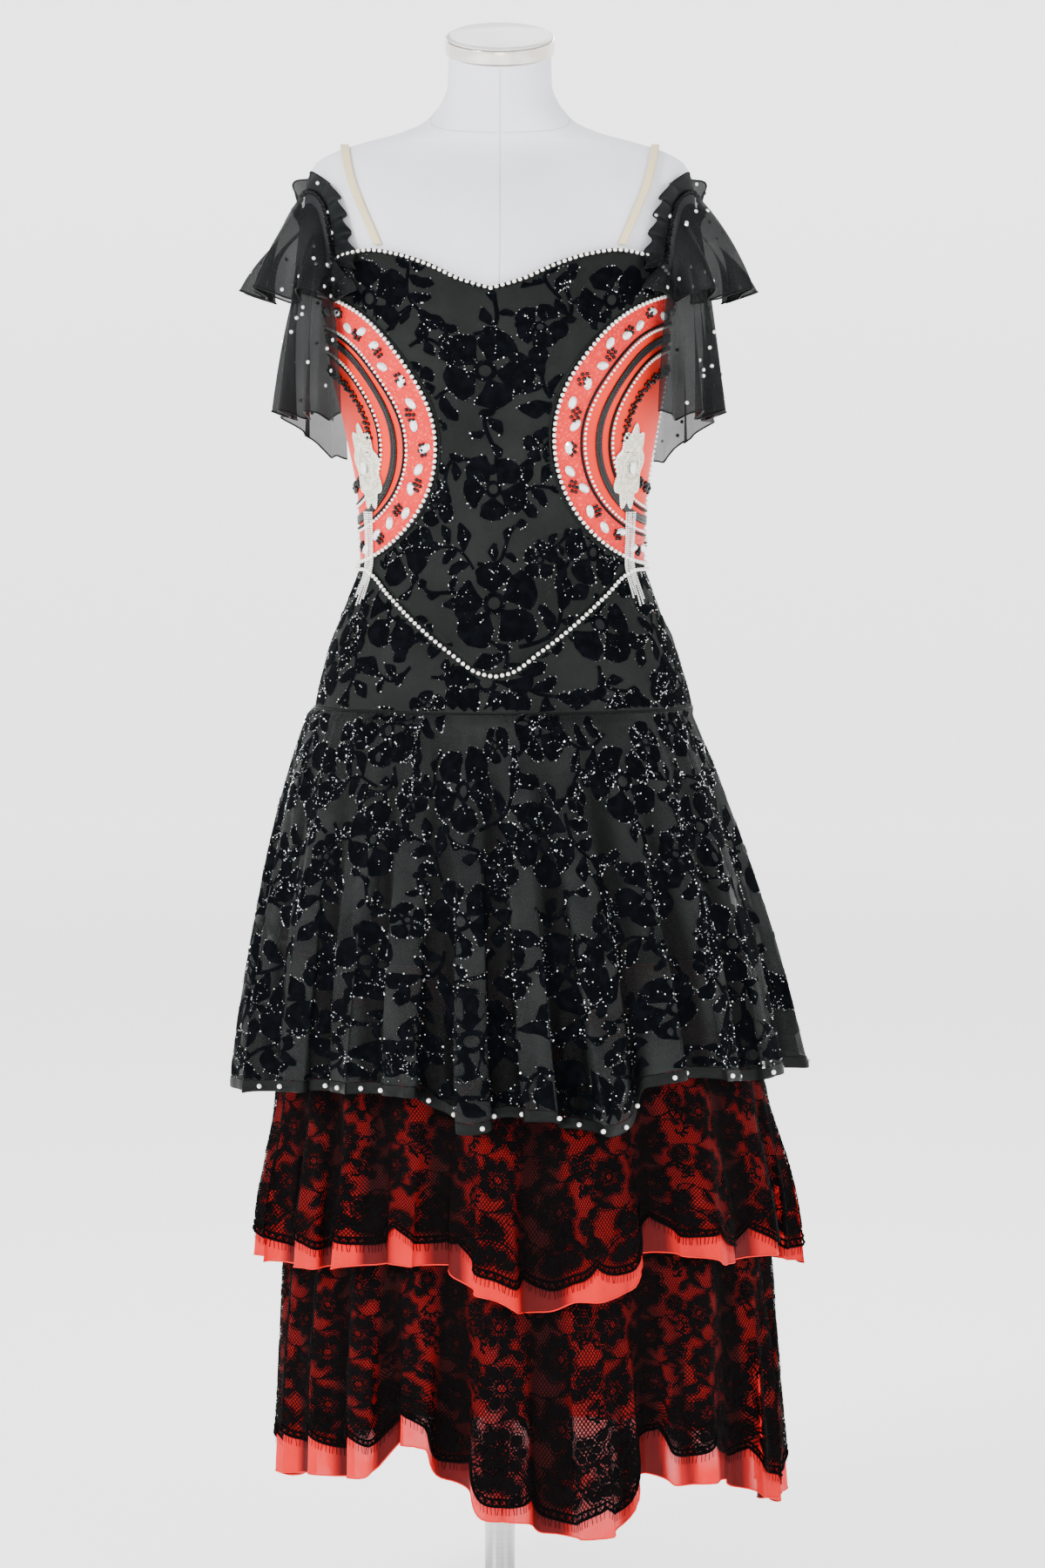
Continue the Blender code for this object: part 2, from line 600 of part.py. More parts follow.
def make_yoke(black):
    """The hip yoke, cut as a front with a pointed top and a back, down to the gathers."""
    gap = math.degrees(SEAM_GAP / FORM["half_width"].min())
    side_height = WAIST_SEAM["height"][-1] - SEAM_GAP
    reach = oval_edge(PANEL_ROWS)[0][-1]
    inner = np.linspace(-reach, reach, FRONT_COLUMNS)
    front = np.concatenate([[-SIDE_SEAM], inner, [SIDE_SEAM]])
    back = np.linspace(SIDE_SEAM + gap, 360 - SIDE_SEAM - gap, 15)
    front_top = read(WAIST_SEAM, "height", np.abs(front) / SIDE_SEAM, "share") - SEAM_GAP * 1.5
    for name, bearings, top in (
        ("front", front, front_top),
        ("back", back, np.full(len(back), side_height)),
    ):
        down = np.linspace(0, 1, 5)[:, None]
        heights = top[None, :] + (YOKE_HEM - top)[None, :] * down
        cloth(f"hip_yoke_{name}", on_dress(bearings[None, :], heights), BODICE_WALL, black)


# ---------------------------------------------------------------- skirt


def yoke_foot(bearings, out):
    """Points just under the yoke's lower edge, at that distance out of its outer face."""
    under = on_dress(bearings - DRESS_TURN, np.full(len(bearings), YOKE_HEM), out)
    under[:, 2] -= 2 * SEAM_GAP
    return under


def make_underskirt(black):
    """The plain black underskirt that carries the flounces."""
    bearings = np.arange(UNDERSKIRT_COLUMNS) * 360 / UNDERSKIRT_COLUMNS
    heights = np.array([0.800, 0.700, 0.590, UNDERSKIRT_HEM])
    rows = on_skirt(bearings[None, :], heights[:, None], 0.0)
    top = yoke_foot(bearings, UNDERSKIRT_TOP_OUT)
    points = np.concatenate([top[None], rows])
    gores("underskirt", points, UNDERSKIRT_SEAMS, SKIRT_WALL, black)


def make_overskirt(black, satin):
    """The gathered overskirt, and the satin binding that continues its wall to the hem."""
    bearings = fold_bearings(OVERSKIRT_RIDGES, OVERSKIRT_STEPS)
    hem = read_round(OVERSKIRT_HEM, "height", bearings)
    edge = hem + BINDING_WIDTH + 2 * SEAM_GAP
    heights = [np.full(len(bearings), h) for h in (0.800, 0.715, 0.620)] + [edge]
    rows = layer(OVERSKIRT, OVERSKIRT_RIDGES, bearings[None, :], np.array(heights))
    top = yoke_foot(bearings, OVERSKIRT_TOP_OUT)
    points = np.concatenate([top[None], rows])
    cloth("overskirt", points, SKIRT_WALL, black, closed=True)
    edges = np.array([hem + BINDING_WIDTH, hem])
    band = moved_out(layer(OVERSKIRT, OVERSKIRT_RIDGES, bearings[None, :], edges), BINDING_PROUD)
    cloth("overskirt_binding", band, SKIRT_WALL + 2 * BINDING_PROUD, satin, closed=True)


def make_flounce(name, rows, hem_rows, top, middle, coral, lace, seams=()):
    """A flounce: coral chiffon, whole or in four lengths, and lace made from its points."""
    bearings = fold_bearings(FLOUNCE_RIDGES, FLOUNCE_STEPS)
    hem = read_round(hem_rows, "height", bearings)
    lace_edge = hem + read_round(hem_rows, "lace", bearings)
    level = np.ones(len(bearings))
    heights = np.array([top * level, middle * level, lace_edge, hem])
    chiffon = layer(rows, FLOUNCE_RIDGES, bearings[None, :], heights)
    if seams:
        gores(f"{name}_chiffon", chiffon, seams, CHIFFON_WALL, coral)
    else:
        cloth(f"{name}_chiffon", chiffon, CHIFFON_WALL, coral, closed=True)
    net = moved_out(chiffon, LACE_LIFT)[:3]
    cusp = (np.arange(len(bearings)) % SCALLOP_COLUMNS == 0) * SCALLOP_DEPTH
    share = cusp / (net[1, :, 2] - net[2, :, 2])
    net[2] += (net[1] - net[2]) * share[:, None]
    cloth(f"{name}_lace", net, LACE_WALL, lace, closed=True)


# ---------------------------------------------------------------- sleeves and straps


def armhole_line(count, x, lift):
    """The line that carries a sleeve, from the front over the shoulder, and its clearances."""
    turns = np.linspace(BAND_START, BAND_END, count)
    shares = np.linspace(-1, 1, count)
    end = np.clip((np.abs(shares) - 1) / BAND_ENDS + 1, 0, 1)
    outs = lift + EASE["ease"][-1] * end * end * (3 - 2 * end)
    leans = BAND_LEAN * np.exp(-(((turns - BAND_LEAN_TURN) / BAND_LEAN_SPREAD) ** 2))
    places = zip(x - BAND_CURVE * shares**2, turns, outs, leans)
    return push_clear(np.array([over_shoulder(*place) for place in places]), outs), outs


def sleeve_flounce(upper, phase, sink=0.0):
    """Rows of points on a flutter flounce, from its band to its hem."""
    cut = {name: column[0 if upper else 1] for name, column in SLEEVE.items()}
    band, outs = armhole_line(SLEEVE_COLUMNS, cut["band_x"], cut["lift"] - sink)
    turns = np.radians(np.linspace(-cut["open"], cut["open"], SLEEVE_COLUMNS))
    share = np.linspace(0, 1, SLEEVE_COLUMNS)
    wave = np.sin(2 * np.pi * (cut["folds"] * share + phase)) * cut["wave"]
    drop = cut["back_drop"] * np.clip(share - 0.6, 0, 1) / 0.4
    rows = []
    for down in (0.0, 0.14, 0.36, 0.66, 1.0):
        reach, depth = cut["reach"] + wave * down, cut["depth"] + wave * down
        hem = np.stack(
            [
                SLEEVE_MIDDLE_X + reach * np.cos(turns),
                SLEEVE_MIDDLE_Y + depth * np.sin(turns),
                cut["hem"] - drop + 0.4 * wave,
            ],
            axis=-1,
        )
        over = band + (hem - band) * np.array([SLEEVE_OUT, SLEEVE_OUT, SLEEVE_DOWN])
        rows.append(band * (1 - down) ** 2 + over * 2 * down * (1 - down) + hem * down**2)
    return push_clear(np.array(rows), outs)


def sleeve_heading(sink):
    """The narrow ruffle beyond the band, which leans over the strap towards the neck."""
    count = 4 * HEADING_FOLDS + 1
    lift = HEADING_LIFT - sink
    foot = armhole_line(count, HEADING_X, lift)[0]
    wave = np.sin(2 * np.pi * HEADING_FOLDS * np.linspace(0, 1, count))
    width = HEADING_TOP + (HEADING_END - HEADING_TOP) * np.linspace(-1, 1, count) ** 2
    edge = armhole_line(count, HEADING_X - width, lift + HEADING_EDGE_LIFT)[0]
    away = edge - np.array([HEADING_PLEAT_X, BAND_Y, BAND_Z])
    away /= np.linalg.norm(away, axis=1, keepdims=True)
    return np.array([edge + away * ((1 + wave) * HEADING_WAVE)[:, None], foot])


def make_sleeves(chiffon):
    """Two flounces and a heading on each side."""
    mirror = np.array([-1.0, 1, 1])
    for name, (side, phase, sink) in SLEEVE_SIDE.items():
        pieces = {
            "upper": sleeve_flounce(True, phase, sink),
            "lower": sleeve_flounce(False, phase),
            "heading": sleeve_heading(sink),
        }
        for part, points in pieces.items():
            if side < 0:
                points = (points * mirror)[:, ::-1]
            cloth(f"sleeve_{part}_{name}", points, CHIFFON_WALL, chiffon)


def make_straps(elastic):
    """Flat straps from the front neckline over the shoulders to the back neckline."""
    turns = np.linspace(STRAP_START, STRAP_END, 17)
    out = STRAP_LIFT + STRAP_WALL
    for name, side in (("left", -1), ("right", 1)):
        over = np.clip(np.cos(np.radians(turns)), 0, 1)
        ends = np.where(turns < 10, STRAP_FRONT_X, STRAP_BACK_X)
        x = ends + (STRAP_TOP_X - ends) * over
        middle = np.array([over_shoulder(at, turn, out) for at, turn in zip(x, turns)])
        across = np.array([STRAP_WIDTH / 2, 0, 0])
        points = np.array([middle - across, middle + across])
        if side < 0:
            points = (points * np.array([-1.0, 1, 1]))[::-1]
        cloth(f"strap_{name}", points.transpose(1, 0, 2), STRAP_WALL, elastic)


# ---------------------------------------------------------------- brooches


def make_brooches(silver):
    """A silver petalled brooch on each coral panel, domed and with a flat inner face."""
    turns = np.linspace(0, 2 * np.pi, BROOCH_STEPS, endpoint=False)
    outline = 0.90 + 0.10 * np.cos(turns * BROOCH_PETALS)
    for name, side in (("left", -1), ("right", 1)):
        shape = bmesh.new()
        loops = []
        for share, out in zip(BROOCH_RINGS["share"], BROOCH_RINGS["out"]):
            width = outline * share * BROOCH_HALF_WIDTH
            height = BROOCH_HEIGHT + outline * share * BROOCH_HALF_HEIGHT * np.cos(turns)
            bearing = np.degrees(width * np.sin(turns) / BROOCH_RADIUS) + BROOCH_BEARING * side
            ring = on_dress(bearing, height, BROOCH_LIFT + BROOCH_THICKNESS * out)
            if share == 0:
                loops.append([shape.verts.new(ring[0])] * BROOCH_STEPS)
            else:
                loops.append([shape.verts.new(point) for point in ring])
        for upper, lower in zip(loops[:-1], loops[1:]):
            for i in range(BROOCH_STEPS):
                j = (i + 1) % BROOCH_STEPS
                face = dict.fromkeys((upper[i], lower[i], lower[j], upper[j]))
                shape.faces.new(tuple(face))
        bmesh.ops.recalc_face_normals(shape, faces=shape.faces)
        add_object(f"brooch_{name}", shape, silver)


def fringe_ring(shape, side, height, left, right):
    """Four corners of a strand, or of a stretch of the bar, at one height."""
    inner, outer = FRINGE_LIFT, FRINGE_LIFT + FRINGE_STRAND
    middle = (BROOCH_BEARING + FRINGE_TURN) * side
    corners = []
    for across, lift in ((left, inner), (right, inner), (right, outer), (left, outer)):
        bearing = middle + math.degrees(across / BROOCH_RADIUS)
        corners.append(shape.verts.new(on_dress(bearing, height, lift)))
    return corners


def make_fringes(silver):
    """Bead strands under each brooch, in one piece with the narrow bar that they hang from.

    The bar is a row of boxes: one over each strand and one over each gap between two strands.
    """
    starts = (np.arange(FRINGE_STRANDS) - (FRINGE_STRANDS - 1) / 2) * FRINGE_PITCH
    edges = np.sort(np.concatenate([starts, starts + FRINGE_STRAND])) - FRINGE_STRAND / 2
    uneven = np.abs(np.sin(FRINGE_UNEVEN * np.arange(FRINGE_STRANDS) + 0.7))
    lengths = FRINGE_LENGTH * (FRINGE_SHORTEST + (1 - FRINGE_SHORTEST) * uneven)
    bar_foot = FRINGE_TOP - FRINGE_ROOT
    for name, side in (("left", -1), ("right", 1)):
        shape = bmesh.new()
        for i, (left, right) in enumerate(zip(edges[:-1], edges[1:])):
            levels = [FRINGE_TOP, bar_foot]
            if i % 2 == 0:
                levels += [bar_foot - lengths[i // 2] * share for share in (0.5, 1.0)]
            rings = [fringe_ring(shape, side, level, left, right) for level in levels]
            shape.faces.new(rings[0])
            shape.faces.new(rings[-1][::-1])
            for j, (top, foot) in enumerate(zip(rings[:-1], rings[1:])):
                shown = {0, 2}
                if j > 0 or i == 0:
                    shown.add(3)
                if j > 0 or i == len(edges) - 2:
                    shown.add(1)
                for k in shown:
                    after = (k + 1) % 4
                    shape.faces.new((top[k], top[after], foot[after], foot[k]))
        bmesh.ops.remove_doubles(shape, verts=shape.verts, dist=0.02 * MM)
        bmesh.ops.recalc_face_normals(shape, faces=shape.faces)
        add_object(f"brooch_fringe_{name}", shape, silver)


def main():
    """Clears the scene, then builds the form, the dress and what is sewn on it."""
    for old in list(bpy.data.objects):
        bpy.data.objects.remove(old)
    black = finish("black_devore", (0.016, 0.018, 0.019), 0.6)
    satin = finish("black_satin", (0.020, 0.022, 0.023), 0.35)
    lining = finish("black_lining", (0.012, 0.012, 0.013), 0.7)
    coral = finish("coral_sateen", (0.90, 0.14, 0.07), 0.5)
    coral_chiffon = finish("coral_chiffon", (0.85, 0.09, 0.06), 0.6)
    lace = finish("black_lace", (0.014, 0.010, 0.010), 0.65)
    chiffon = finish("black_chiffon", (0.012, 0.013, 0.014), 0.5)
    elastic = finish("nude_elastic", (0.80, 0.66, 0.47), 0.6)
    silver = finish("silver_beads", (0.72, 0.70, 0.60), 0.3, 0.8)
    make_form()
    make_neck_cap()
    make_stand()
    make_front_panel(black)
    make_side_panels(coral)
    make_backs(black)
    make_yoke(black)
    make_underskirt(lining)
    make_overskirt(black, satin)
    make_flounce(
        "upper_flounce", UPPER_FLOUNCE, UPPER_FLOUNCE_HEM,
        UPPER_FLOUNCE_TOP, UPPER_FLOUNCE_MIDDLE, coral_chiffon, lace,
    )
    make_flounce(
        "lower_flounce", LOWER_FLOUNCE, LOWER_FLOUNCE_HEM,
        LOWER_FLOUNCE_TOP, LOWER_FLOUNCE_MIDDLE, coral_chiffon, lace, LOWER_FLOUNCE_SEAMS,
    )
    make_sleeves(chiffon)
    make_straps(elastic)
    make_brooches(silver)
    make_fringes(silver)


main()
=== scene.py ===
"""The looks of a flamenco dress on a plain limbless dress form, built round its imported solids.

Metres, +Z up, in the frame of the solids: the origin is on the floor under the form's pole and the
dress faces -Y.  A bearing is an angle round the form in degrees: 0 is the front, 90 is +X.

Each piece of cloth is a thin shell on the surface that its solid has, with finer folds.  Velvet
flowers, lace, pearls and beads are small shapes laid on those shells.
"""

from __future__ import annotations

import logging
import math
from dataclasses import dataclass, field
from enum import Enum
from functools import cached_property
from typing import Callable

import bmesh
import bpy
import numpy as np
from mathutils import Matrix, Vector

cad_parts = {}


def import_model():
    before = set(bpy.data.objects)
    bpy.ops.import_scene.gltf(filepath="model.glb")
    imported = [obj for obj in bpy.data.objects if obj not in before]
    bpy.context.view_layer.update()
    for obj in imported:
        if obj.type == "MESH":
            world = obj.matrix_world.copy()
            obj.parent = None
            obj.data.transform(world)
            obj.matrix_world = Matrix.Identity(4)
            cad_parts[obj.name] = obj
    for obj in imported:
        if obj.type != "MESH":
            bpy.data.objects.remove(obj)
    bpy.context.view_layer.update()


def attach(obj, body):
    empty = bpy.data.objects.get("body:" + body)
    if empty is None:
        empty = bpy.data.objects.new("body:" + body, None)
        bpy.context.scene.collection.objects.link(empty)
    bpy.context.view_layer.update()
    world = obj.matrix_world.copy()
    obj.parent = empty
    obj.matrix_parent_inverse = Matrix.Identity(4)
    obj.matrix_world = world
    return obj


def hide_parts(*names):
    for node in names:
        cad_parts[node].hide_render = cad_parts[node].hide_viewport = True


LOG = logging.getLogger("dress")
Array = np.ndarray
Colour = tuple[float, float, float]
Dice = np.random.Generator
Thing = bpy.types.Object
Material = bpy.types.Material
MM = 0.001
BODY = "root"
QUAD = np.array([[0, 1, 2, 3]])


class Side(Enum):
    """The two sides of the dress, as signs of X."""

    LEFT = -1
    RIGHT = 1

    @property
    def label(self) -> str:
        """The side's name in lower case."""
        return self.name.lower()

    def ordered(self, grid: Array) -> Array:
        """A grid of points with its columns turned round on the left, so that it faces out."""
        return grid[:, ::-1] if self is Side.LEFT else grid


# ---- tables and smooth curves


def smooth(at: Array, xs: Array, ys: Array) -> Array:
    """A curve through points that never overshoots them.

    Args:
        at: where the curve is read.
        xs: the points' places, rising.
        ys: the points' values.

    Returns:
        The curve's value at each place.
    """
    step = np.diff(xs)
    slope = np.diff(ys) / step
    tangent = np.concatenate([[slope[0]], np.zeros(len(slope) - 1), [slope[-1]]])
    product = slope[:-1] * slope[1:]
    same = product > 0
    tangent[1:-1][same] = 2 * product[same] / (slope[:-1] + slope[1:])[same]
    i = np.clip(np.searchsorted(xs, at) - 1, 0, len(step) - 1)
    u = np.clip((at - xs[i]) / step[i], 0, 1)
    start = (1 + 2 * u) * (1 - u) ** 2 * ys[i] + u * (1 - u) ** 2 * step[i] * tangent[i]
    end = u * u * (3 - 2 * u) * ys[i + 1] - u * u * (1 - u) * step[i] * tangent[i + 1]
    return start + end


def ease_in(value: Array | float, start: float, end: float) -> Array:
    """A soft step from 0 at start to 1 at end, which may be below start."""
    share = np.clip((np.asarray(value, float) - start) / (end - start), 0, 1)
    return share * share * (3 - 2 * share)


def unit(vectors: Array) -> Array:
    """Vectors brought to a length of 1."""
    return vectors / np.maximum(np.linalg.norm(vectors, axis=-1, keepdims=True), 1e-9)


def distances(line: Array) -> Array:
    """How far along a line each of its points lies."""
    return np.append(0, np.cumsum(np.linalg.norm(np.diff(line, axis=0), axis=1)))


def read_line(line: Array, places: Array) -> Array:
    """A line's points at distances along it."""
    along = distances(line)
    return np.stack([np.interp(places, along, column) for column in line.T], axis=1)


class Table:
    """Rows of numbers under named columns, read as smooth curves along the first column."""

    def __init__(self, names: str, *rows: tuple[float, ...]) -> None:
        """Keeps the rows as columns; the first of the names is the key's."""
        self.columns = dict(zip(names.split(), np.array(rows, float).T))
        self.key = self.columns[names.split()[0]]

    def at(self, name: str, where: Array | float) -> Array:
        """One column, at any value of the key."""
        return smooth(np.asarray(where, float), self.key, self.columns[name])

    def around(self, name: str, bearing: Array | float) -> Array:
        """One column of a table of bearings, which closes after a full turn."""
        turns = np.concatenate([self.key + 360 * k for k in (-1, 0, 1, 2)])
        return smooth(np.asarray(bearing, float), turns, np.tile(self.columns[name], 4))


# ---- the surfaces of form and dress

FORM = Table(
    "height half_width front_depth back_depth centre lean",
    (0.690, 0.118, 0.078, 0.088, 0.000, 0.00),
    (0.702, 0.146, 0.098, 0.110, 0.001, 0.00),
    (0.760, 0.165, 0.107, 0.121, 0.003, 0.00),
    (0.810, 0.166, 0.107, 0.121, 0.0035, 0.00),
    (0.853, 0.160, 0.104, 0.116, 0.0035, 0.00),
    (0.909, 0.1465, 0.098, 0.102, 0.002, 0.00),
    (0.955, 0.1320, 0.088, 0.088, 0.002, 0.00),
    (0.990, 0.1245, 0.083, 0.081, 0.002, 0.00),
    (1.040, 0.1265, 0.086, 0.083, 0.002, 0.00),
    (1.101, 0.1365, 0.096, 0.090, 0.001, 0.00),
    (1.165, 0.1485, 0.107, 0.098, -0.001, 0.00),
    (1.205, 0.1520, 0.106, 0.101, -0.002, 0.00),
    (1.235, 0.1580, 0.100, 0.101, -0.001, 0.00),
    (1.265, 0.1690, 0.091, 0.099, 0.000, 0.00),
    (1.300, 0.1780, 0.078, 0.094, 0.000, 0.00),
    (1.328, 0.1760, 0.062, 0.086, 0.000, 0.00),
    (1.346, 0.1680, 0.048, 0.076, 0.000, 0.00),
    (1.357, 0.1500, 0.040, 0.066, 0.000, 0.00),
    (1.366, 0.1220, 0.037, 0.060, 0.000, 0.00),
    (1.374, 0.0920, 0.038, 0.057, 0.000, 0.03),
    (1.384, 0.0690, 0.041, 0.055, 0.000, 0.10),
    (1.397, 0.0560, 0.044, 0.053, 0.000, 0.18),
    (1.417, 0.0475, 0.047, 0.049, 0.000, 0.26),
    (1.447, 0.0465, 0.050, 0.046, 0.000, 0.344),
)
BUST_BEARING, BUST_SPREAD, BUST_HEIGHT, BUST_DROP, BUST_RISE = 29, 21, 1.168, 0.052, 0.013
EASE = Table(
    "height ease",
    (0.853, 0.0130),
    (0.909, 0.0110),
    (0.945, 0.0080),
    (0.985, 0.0052),
    (1.130, 0.0050),
    (1.290, 0.0052),
)
DRESS_TURN = -2.5
SIDE_SEAM = 97.0
YOKE_HEM = 0.853
NECKLINE = Table(
    "share height",
    (0.00, 1.2315), (0.10, 1.2400), (0.20, 1.2530), (0.30, 1.2625), (0.40, 1.2665),
    (0.52, 1.2625), (0.60, 1.2560), (0.68, 1.2475), (0.80, 1.2385), (1.00, 1.2300),
)
WAIST_SEAM = Table(
    "share height",
    (0.00, 0.8860), (0.05, 0.8890), (0.15, 0.9070), (0.30, 0.9330), (0.45, 0.9560),
    (0.60, 0.9740), (0.70, 0.9790), (1.00, 0.9790),
)
WAIST_SIDE_HEIGHT = 0.9790
NECK_SIDE_HEIGHT, NECK_BACK_HEIGHT = 1.2300, 1.226
OVAL_MIDDLE, OVAL_HALF_HEIGHT = 1.1060, 0.1220
OVAL_WIDTH, OVAL_POWER = 75.5, 0.67
CHART_RADIUS, CHART_TOP = 0.140, 1.300  # of the fitted cloth's flat chart
# Soft drag lines in the fitted cloth: middle, slant in degrees, half length and width, depth.
CREASES = (
    (-91, 0.962, 58, 0.034, 0.0050, -1.3 * MM),
    (-84, 0.948, 50, 0.040, 0.0055, 1.1 * MM),
    (-76, 0.952, 44, 0.030, 0.0045, -1.0 * MM),
    (-88, 0.912, 66, 0.036, 0.0060, -0.9 * MM),
    (-70, 0.905, 40, 0.042, 0.0060, 0.8 * MM),
    (88, 0.958, -54, 0.036, 0.0050, -1.3 * MM),
    (80, 0.945, -46, 0.034, 0.0055, 1.1 * MM),
    (71, 0.930, -40, 0.044, 0.0050, -1.0 * MM),
    (92, 0.905, -62, 0.034, 0.0060, 0.9 * MM),
    (14, 1.010, 12, 0.040, 0.0060, -0.8 * MM),
    (-12, 0.990, -8, 0.036, 0.0055, -0.7 * MM),
    (3, 1.060, 80, 0.045, 0.0060, -0.9 * MM),
    (128, 1.000, 20, 0.050, 0.0060, -1.2 * MM),
    (150, 0.985, 8, 0.044, 0.0050, 1.0 * MM),
    (206, 0.994, -10, 0.046, 0.0060, -1.2 * MM),
    (232, 1.008, -24, 0.048, 0.0055, 1.0 * MM),
    (140, 0.930, 36, 0.040, 0.0060, -1.0 * MM),
    (222, 0.925, -34, 0.042, 0.0060, -1.0 * MM),
    (180, 1.120, 86, 0.060, 0.0070, -0.9 * MM),
)

CORE = Table(
    "height half_width depth centre",
    (0.100, 0.2050, 0.183, 0.030),
    (0.345, 0.2045, 0.182, 0.026),
    (0.445, 0.2045, 0.181, 0.023),
    (0.550, 0.2060, 0.179, 0.017),
    (0.632, 0.2050, 0.175, 0.013),
    (0.700, 0.2000, 0.166, 0.008),
    (0.780, 0.1890, 0.148, 0.003),
    (0.853, 0.1720, 0.1235, 0.000),
)


def on_section(bearing: Array, half_width: Array, front: Array, back: Array) -> tuple[Array, Array]:
    """X and Y on a section whose front and back halves have their own depths.

    Args:
        bearing: degrees round the section.
        half_width: half of its width.
        front: its depth in front.
        back: its depth behind.

    Returns:
        X and Y.
    """
    turn = np.radians(bearing)
    depth = np.where(np.cos(turn) > 0, front, back)
    return half_width * np.sin(turn), -depth * np.cos(turn)


def on_form(bearing: Array, height: Array, out: Array | float = 0.0) -> Array:
    """Points off the dress form.

    Args:
        bearing: degrees round the form.
        height: of the section, before the neck's lean.
        out: distance out of the form's surface.

    Returns:
        The points.
    """
    bearing, height = np.broadcast_arrays(np.asarray(bearing, float), height)
    away = (np.abs((bearing + 180) % 360 - 180) - BUST_BEARING) / BUST_SPREAD
    full = BUST_RISE * np.exp(-(away**2) - ((height - BUST_HEIGHT) / BUST_DROP) ** 2) + out
    x, y = on_section(
        bearing,
        FORM.at("half_width", height) + full,
        FORM.at("front_depth", height) + full,
        FORM.at("back_depth", height) + full,
    )
    x = x + FORM.at("centre", height)
    return np.stack([x, y, height + FORM.at("lean", height) * y], axis=-1)


def on_dress(bearing: Array, height: Array, out: Array | float = 0.0) -> Array:
    """Points off the fitted cloth's outer face.

    Args:
        bearing: degrees round the dress, which sits turned a little on the form.
        height: above the floor.
        out: distance out of the cloth's face.

    Returns:
        The points.
    """
    bearing, height = np.broadcast_arrays(np.asarray(bearing, float), height)
    drag = np.zeros(bearing.shape)
    for middle, level, slant, length, width, depth in CREASES:
        across = np.radians((bearing - middle + 180) % 360 - 180) * CHART_RADIUS
        up = height - level
        turn = math.radians(slant)
        along = (across * math.cos(turn) + up * math.sin(turn)) / length
        beside = (up * math.cos(turn) - across * math.sin(turn)) / width
        drag += depth * np.exp(-(along**2) - beside**2)
    return on_form(bearing + DRESS_TURN, height, out + drag + EASE.at("ease", height))


def on_skirt(bearing: Array, height: Array, out: Array | float) -> Array:
    """Points off the skirt's core.

    Args:
        bearing: degrees round the skirt.
        height: above the floor.
        out: distance out of the core.

    Returns:
        The points.
    """
    bearing, height = np.broadcast_arrays(np.asarray(bearing, float), height)
    depth = CORE.at("depth", height) + out
    x, y = on_section(bearing, CORE.at("half_width", height) + out, depth, depth)
    return np.stack([x + CORE.at("centre", height), y, height], axis=-1)


def oval_line(
    count: int, width: float = OVAL_WIDTH, half_height: float = OVAL_HALF_HEIGHT
) -> tuple[Array, Array]:
    """A rounded line in front of the side seam, evenly spaced from its top to its foot.

    Args:
        count: points along it.
        width: how far in front of the side seam its middle lies, in degrees.
        half_height: from its middle to its end.

    Returns:
        Bearings and heights.
    """
    turns = np.radians(np.linspace(89.6, -89.6, 241))
    bearing = SIDE_SEAM - width * np.clip(np.cos(turns), 0, 1) ** OVAL_POWER
    height = OVAL_MIDDLE + half_height * np.sin(turns)
    along = distances(on_dress(bearing, height))
    places = np.linspace(0, along[-1], count)
    return np.interp(places, along, bearing), np.interp(places, along, height)


